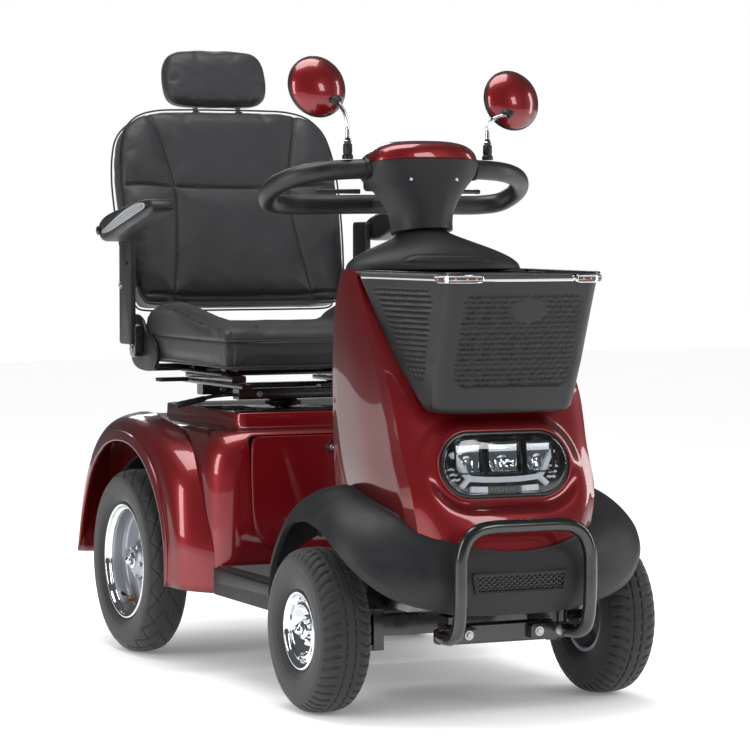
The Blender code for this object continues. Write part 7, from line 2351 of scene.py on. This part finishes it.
class SCOOTER_OT_armrests(bpy.types.Operator):
    """Builds the armrest pads with their grey inlays, and the arm bars and brackets of the backrest's frame"""

    bl_idname = "scooter.armrests"
    bl_label = "Armrests and back frame"

    def execute(self, context):
        view = [(0.580, 0.930), (0.602, 0.937), (0.612, 0.955), (0.604, 0.976), (0.560, 0.992), (0.470, 1.007),
                (0.360, 1.022), (0.285, 1.026), (0.262, 1.016), (0.266, 1.000), (0.330, 0.982), (0.450, 0.955),
                (0.535, 0.933)]
        outline = even(curve(view, 8, closed=True), 220, closed=True)
        middle_x, half = 0.3375, 0.030
        for word, side in SIDES:
            body = "armrest_" + word
            rows = []
            for a in np.linspace(-math.pi / 2, math.pi / 2, 17):
                depth = 0.011 * (1 - math.cos(a))
                x = (half - 0.011) * np.sign(a) + 0.011 * math.sin(a) if abs(a) > 1e-6 else 0.0
                ring = inset(outline, depth)
                rows.append(np.column_stack([np.full(len(ring), side * middle_x + x), ring]))
            pad = surface("armrest_pad_" + word, np.array(rows), wrap=True, fill=True, uv=False)
            finish(pad, body, MATERIALS["black_plastic"], "black_plastic", ["armrest_" + word], angle=50)
            # the inlay: a leaf on the outer face with lengthwise grooves
            spine = curve([(0.292, 1.0130), (0.360, 1.0040), (0.450, 0.9840), (0.540, 0.9600), (0.588, 0.9500)], 14)
            spine = even(spine, 90)
            share = np.linspace(0, 1, 90)
            wide = 0.0130 * np.sin(math.pi * np.clip(share, 0, 1) ** 0.80) ** 0.55 + 0.0002
            along = unit(np.gradient(spine, axis=0))
            aside = np.stack([-along[:, 1], along[:, 0]], 1)
            v = np.linspace(-1, 1, 41)
            flat = spine[:, None] + aside[:, None] * (wide[:, None] * v)[..., None]
            rise = 0.0030 * np.sqrt(np.clip(1 - v ** 2, 0, 1)) + 0.0009 * np.cos(v * math.pi * 5) * (np.abs(v) < 0.9)
            rise = rise[None] * smoothstep(0, 0.06, np.minimum(share, 1 - share))[:, None]
            x = side * (middle_x + half - 0.0004 + rise)
            leaf = surface("armrest_inlay_" + word, np.stack([x, flat[..., 0], flat[..., 1]], -1),
                           outward=(side, 0, 0))
            finish(leaf, body, MATERIALS["inlay"], "black_plastic", wall=0.0012, angle=60)
            pin = [(0.0002, -0.0300), (0.0080, -0.0300), (0.0080, 0.0), (0.0105, 0.0004), (0.0105, 0.0030),
                   (0.0085, 0.0045), (0.0002, 0.0050)]
            pivot = surface("armrest_pin_" + word, lathed(pin, (side * (middle_x + half), 0.602, 0.955),
                                                          (side, 0, 0), 36), wrap=True, fill=True)
            finish(pivot, body, MATERIALS["gloss_black"], "black_plastic", angle=40)
            # the arm bar with a round hole near its foot, its knuckle and the plate at the recline pin
            bar_view = rounded_box(0.0385, 0.1420, 0.010, 6) + [0.601, 0.8325]
            bar = surface("arm_bar_" + word, slab(bar_view - [0.601, 0.8325], 0.0140, 0.003,
                                                  (side * 0.2985, 0.601, 0.8325), (0, side, 0), (0, 0, 1)),
                          wrap=True, fill=True, uv=False)
            cut(bar, surface("tool", lathed([(0.0055, -0.03), (0.0055, 0.03)], (side * 0.2985, 0.5850, 0.8800),
                                            (1, 0, 0), 32), wrap=True, fill=True, uv=False))
            finish(bar, "backrest", MATERIALS["black_plastic"], "black_steel", angle=40)
            hinge = surface("recline_hinge_" + word, slab(rounded_box(0.019, 0.0390, 0.012, 6), 0.020, 0.002,
                                                          (side * 0.2855, 0.579, 0.7010), (0, side, 0),
                                                          (0, 0, 1)), wrap=True, fill=True)
            finish(hinge, "backrest", MATERIALS["steel"], "black_steel")
            fittings = bolt((side * 0.2955, 0.575, 0.680), (side, 0, 0), 0.0085, 0.0060)
            fittings += bolt((side * 0.3055, 0.628, 0.827), (side, 0, 0), 0.0055, 0.0040)
            finish(joined("arm_bar_bolts_" + word, fittings), "backrest", MATERIALS["zinc"], "black_steel",
                   angle=30)
        reach = 0.293
        cross_at = BACK_AT - BACK_UP * 0.190 + BACK_FACE * 0.016
        rod = surface("backrest_rod", lathed([(0.0002, -reach), (0.0070, -reach), (0.0070, reach),
                                              (0.0002, reach)], cross_at, (1, 0, 0), 24), wrap=True, fill=True)
        finish(rod, "backrest", MATERIALS["zinc"], "black_steel", ["backrest_frame"])
        return {"FINISHED"}


class SCOOTER_OT_seat_base(bpy.types.Operator):
    """Builds the recline covers, seat rails, tubes, levers and bolts under the seat"""

    bl_idname = "scooter.seat_base"
    bl_label = "Seat base"

    def execute(self, context):
        plate_view = np.array([(-0.084, -0.036), (-0.092, -0.004), (-0.066, 0.026), (-0.020, 0.042),
                               (0.010, 0.070), (0.058, 0.078), (0.070, 0.040), (0.082, 0.000), (0.064, -0.034),
                               (0.020, -0.048), (-0.050, -0.049)])
        outline = even(curve(plate_view, 8, closed=True), 140, closed=True)
        for word, side in SIDES:
            cover = surface("recline_cover_" + word, slab(outline * [side, 1] if side > 0 else (outline * [-1, 1])
                                                          [::-1] * [1, 1], 0.0100, 0.0030,
                                                          (side * 0.2675, RECLINE[1], RECLINE[2]), (0, side, 0)
                                                          if side > 0 else (0, -1, 0), (0, 0, 1)),
                            wrap=True, fill=True, uv=False)
            cut(cover, surface("tool", lathed([(0.0096, -0.03), (0.0096, 0.03)],
                                              (side * 0.2675, RECLINE[1], RECLINE[2]), (1, 0, 0), 36),
                               wrap=True, fill=True, uv=False))
            finish(cover, "seat_slide", MATERIALS["black_plastic"], "black_steel", angle=40)
        floor = 0.6145
        parts = []
        for x0, x1, y0, y1, z0, z1, edge in ((-0.200, 0.200, 0.270, 0.520, floor + 0.015, floor + 0.021, 0.002),
                                             (-0.262, 0.262, 0.552, 0.580, floor + 0.015, floor + 0.031, 0.003),
                                             (-0.100, 0.100, 0.500, 0.570, floor + 0.015, floor + 0.021, 0.002)):
            parts.append(surface("plate", slab(rounded_box((x1 - x0) / 2, (y1 - y0) / 2, 0.008, 5), z1 - z0,
                                               edge / 2, ((x0 + x1) / 2, (y0 + y1) / 2, (z0 + z1) / 2), (1, 0, 0),
                                               (0, 1, 0)), wrap=True, fill=True))
        for _, side in SIDES:
            parts.append(surface("rail", swept([(side * 0.165, 0.240, floor + 0.008),
                                                (side * 0.165, 0.530, floor + 0.008)],
                                               rounded_box(0.017, 0.0078, 0.0035, 4), across=(1, 0, 0)),
                                 wrap=True, fill=True))
            for y in (0.285, 0.480):
                parts.append(surface("riser", slab(rounded_box(0.017, 0.0125, 0.003, 4), 0.0165, 0.001,
                                                   (side * 0.165, y + 0.0125, 0.6432), (1, 0, 0), (0, 1, 0)),
                                     wrap=True, fill=True))
        finish(joined("seat_pan_steel", parts), "seat_slide", MATERIALS["steel"], "black_steel", ["seat_pan"])
        low, top = 0.577, 0.602
        parts = []
        for y in (0.247, 0.469):
            parts.append(surface("tube", swept([(-0.170, y, low + 0.0125), (0.170, y, low + 0.0125)],
                                               rounded_box(0.0185, 0.0122, 0.004, 4), across=(0, 1, 0)),
                                 wrap=True, fill=True))
        parts.append(surface("web", slab(rounded_box(0.070, 0.0975, 0.012, 5), 0.0080, 0.0015,
                                         (0, 0.3575, low + 0.0042), (1, 0, 0), (0, 1, 0)), wrap=True, fill=True))
        for _, side in SIDES:
            parts.append(surface("rail", swept([(side * 0.165, 0.190, top + 0.0058), (side * 0.165, 0.560,
                                                                                    top + 0.0058)],
                                               rounded_box(0.0130, 0.0060, 0.0025, 4), across=(1, 0, 0)),
                                 wrap=True, fill=True))
        finish(joined("swivel_frame_steel", parts), "seat_swivel", MATERIALS["steel"], "black_steel",
               ["swivel_frame"])
        fittings = []
        for _, side in SIDES:
            for y in (0.2475, 0.469):
                fittings += bolt((side * 0.120, y - 0.0188, low + 0.0125), (0, -1, 0), 0.0045, 0.0035)
        finish(joined("swivel_frame_bolts", fittings), "seat_swivel", MATERIALS["zinc"], "black_steel", angle=30)
        route = curve([(-0.085, 0.345, low + 0.008), (-0.190, 0.312, low + 0.006), (-0.262, 0.252, low),
                       (-0.335, 0.190, low - 0.005)], 14)
        lever = surface("swivel_handle", swept(route, circle(0.0045, 20)), wrap=True, fill=True)
        finish(lever, "swivel_lever", MATERIALS["steel"], "black_steel", ["swivel_lever"])
        grip_route = even(route, 60)[32:]
        share = np.linspace(0, 1, len(grip_route))
        size = 0.80 + 0.20 * smoothstep(0, 0.15, share) + 0.10 * np.sin(share * 26) * 0.3
        size[-1] = 0.6
        grip = surface("swivel_grip", swept(grip_route, circle(0.0070, 24), scale=size), wrap=True, fill=True)
        finish(grip, "swivel_lever", MATERIALS["soft_grip"], "grip_rubber")
        paddle = surface("slide_paddle", slab(rounded_box(0.0370, 0.0170, 0.008, 6), 0.0085, 0.0025,
                                              (-0.221, 0.515, 0.6112), (1, 0, 0), (0, 1, 0)), wrap=True, fill=True)
        finish(paddle, "slide_lever", MATERIALS["black_plastic"], "black_steel", ["slide_lever"])
        return {"FINISHED"}


class SCOOTER_OT_tail(bpy.types.Operator):
    """Builds the tail lamp, with its ribbed lens, and the trim plate round the seat post"""

    bl_idname = "scooter.tail"
    bl_label = "Tail lamp and post collar"

    def execute(self, context):
        u, v = np.meshgrid(np.linspace(-1, 1, 240), np.linspace(-1, 1, 24))
        x = u * 0.2270
        z = 0.400 + v * 0.0175 * np.sqrt(np.clip(1 - np.abs(u) ** 14, 0.05, 1))
        flute = 0.0006 * np.abs(np.sin(x / 0.008 * math.pi))
        y = 0.7110 - 0.0075 * np.maximum(np.abs(v) ** 5, np.abs(u) ** 30) - flute
        lens = surface("tail_lens", np.stack([x, y, z], -1), outward=(0, 1, 0))
        finish(lens, "chassis", MATERIALS["red_lens"], "red_lens", ["tail_lamp"], wall=0.002)
        frame_path = stadium(0.2295, 0.0198, 20)
        path = np.column_stack([frame_path[:, 0], np.full(len(frame_path), 0.7035), frame_path[:, 1] + 0.400])
        ring = surface("tail_frame", swept(path, rounded_box(0.0030, 0.0026, 0.0012, 3), closed=True,
                                           across=(0, 1, 0)), wrap_rows=True, wrap=True)
        finish(ring, "chassis", MATERIALS["gloss_black"], "black_plastic")
        collar = [(0.0225, 0.5600), (0.0400, 0.5600), (0.0420, 0.5612), (0.0415, 0.5640), (0.0330, 0.5660),
                  (0.0300, 0.5720), (0.0225, 0.5730)]
        boot = surface("post_collar", lathed(collar, (0, SEAT_AXIS_Y, 0), (0, 0, 1), 64), wrap_rows=True,
                       wrap=True)
        finish(boot, "chassis", MATERIALS["black_plastic"], "black_plastic", angle=40)
        return {"FINISHED"}


# ---------------------------------------------------------------- stage


def soft_box(name, size, location, target, power, colour="ffffff"):
    """A rectangular studio lamp that points at a target."""
    data = bpy.data.lights.new(name, "AREA")
    data.shape = "RECTANGLE"
    data.size, data.size_y = size
    data.energy = power
    data.color = linear(colour)[:3]
    lamp = bpy.data.objects.new(name, data)
    lamp.location = location
    lamp.rotation_euler = (Vector(target) - Vector(location)).to_track_quat("-Z", "Y").to_euler()
    bpy.context.scene.collection.objects.link(lamp)
    return lamp


class SCOOTER_OT_studio(bpy.types.Operator):
    """Builds the floor, the lights and the camera"""

    bl_idname = "scooter.studio"
    bl_label = "Studio"

    def execute(self, context):
        scene = context.scene
        mesh = bpy.data.meshes.new("studio_floor")
        reach = 14.0
        mesh.from_pydata([(-reach, -reach, 0), (reach, -reach, 0), (reach, reach, 0), (-reach, reach, 0)], [],
                         [(0, 1, 2, 3)])
        floor = bpy.data.objects.new("studio_floor", mesh)
        scene.collection.objects.link(floor)
        paper, tree, shader = material("seamless_paper", "fbfbfb", 0.9)
        tint = ramp(tree, noise(tree, object_place(tree), 400.0, 2.0), [(0.2, grey(0.93)), (0.8, grey(0.96))])
        tree.links.new(tint.outputs["Color"], shader.inputs["Base Color"])
        shader.inputs["Emission Color"].default_value = grey(1.0)
        shader.inputs["Emission Strength"].default_value = 0.13
        mesh.materials.append(paper)
        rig.stage(floor)
        world = bpy.data.worlds.new("studio")
        world.use_nodes = True
        sky = world.node_tree
        sky.nodes.clear()
        rays = add(sky, "ShaderNodeLightPath").outputs
        soft = add(sky, "ShaderNodeBackground", {"Color": grey(1.0), "Strength": 0.95})
        dim = add(sky, "ShaderNodeBackground", {"Color": grey(1.0), "Strength": 0.10})
        white = add(sky, "ShaderNodeBackground", {"Color": grey(1.0), "Strength": 1.0})
        glossy = add(sky, "ShaderNodeMixShader", Fac=rays["Is Glossy Ray"])
        mixed = add(sky, "ShaderNodeMixShader", Fac=rays["Is Camera Ray"])
        for node, first, second in ((glossy, soft, dim), (mixed, glossy, white)):
            sky.links.new(first.outputs[0], node.inputs[1])
            sky.links.new(second.outputs[0], node.inputs[2])
        add(sky, "ShaderNodeOutputWorld", Surface=mixed.outputs[0])
        scene.world = world
        soft_box("left_panel", (0.8, 2.2), (-3.4, -0.9, 1.6), (0, 0, 0.5), 42)
        soft_box("overhead_panel", (1.6, 2.2), (-0.3, 0.1, 3.4), (0, 0, 0.5), 62)
        soft_box("front_panel", (0.9, 1.3), (1.4, -4.2, 2.4), (0, -0.3, 0.6), 26)
        soft_box("right_panel", (0.5, 2.2), (3.2, -1.2, 1.5), (0, 0, 0.6), 26)
        soft_box("rear_panel", (1.2, 1.2), (0.8, 3.6, 2.2), (0, 0.3, 0.7), 24)
        data = bpy.data.cameras.new("camera")
        data.lens = 150.06
        data.sensor_width = 36.0
        data.clip_end = 60.0
        camera = bpy.data.objects.new("camera", data)
        camera.location = (-2.7859, -6.2486, 0.9908)
        camera.rotation_euler = (math.radians(90.0 - 2.930), 0.0, math.radians(-24.471))
        scene.collection.objects.link(camera)
        scene.camera = camera
        scene.view_settings.view_transform = "Standard"
        scene.view_settings.look = "None"
        return {"FINISHED"}


# ---------------------------------------------------------------- panel


class SCOOTER_PT_sidebar(bpy.types.Panel):
    """Lists the settings and the steps that build the scooter"""

    bl_idname = "SCOOTER_PT_sidebar"
    bl_label = "Mobility scooter"
    bl_space_type = "VIEW_3D"
    bl_region_type = "UI"
    bl_category = "Scooter"

    def draw(self, context):
        for group in (context.scene.scooter_colours, context.scene.scooter_sizes):
            for name in group.__annotations__:
                self.layout.prop(group, name)
        for step in STEPS:
            self.layout.operator(step.bl_idname)


STEPS = tuple(kind for name, kind in list(globals().items()) if name.startswith("SCOOTER_OT_"))
SETTINGS = (ScooterColours, ScooterSizes)


def register():
    for kind in SETTINGS + STEPS + (SCOOTER_PT_sidebar,):
        bpy.utils.register_class(kind)
    bpy.types.Scene.scooter_colours = bpy.props.PointerProperty(type=ScooterColours)
    bpy.types.Scene.scooter_sizes = bpy.props.PointerProperty(type=ScooterSizes)


def unregister():
    del bpy.types.Scene.scooter_sizes
    del bpy.types.Scene.scooter_colours
    for kind in reversed(SETTINGS + STEPS + (SCOOTER_PT_sidebar,)):
        bpy.utils.unregister_class(kind)


def plain(box):
    return [[float(value) for value in corner] for corner in box]


def main():
    register()
    for step in STEPS:
        group, name = step.bl_idname.split(".")
        getattr(getattr(bpy.ops, group), name)()
    with open("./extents.json", "w") as file:
        json.dump({"cad": plain(CAD_BOX), "visual": plain(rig.bounds())}, file)


if __name__ == "__main__":
    main()
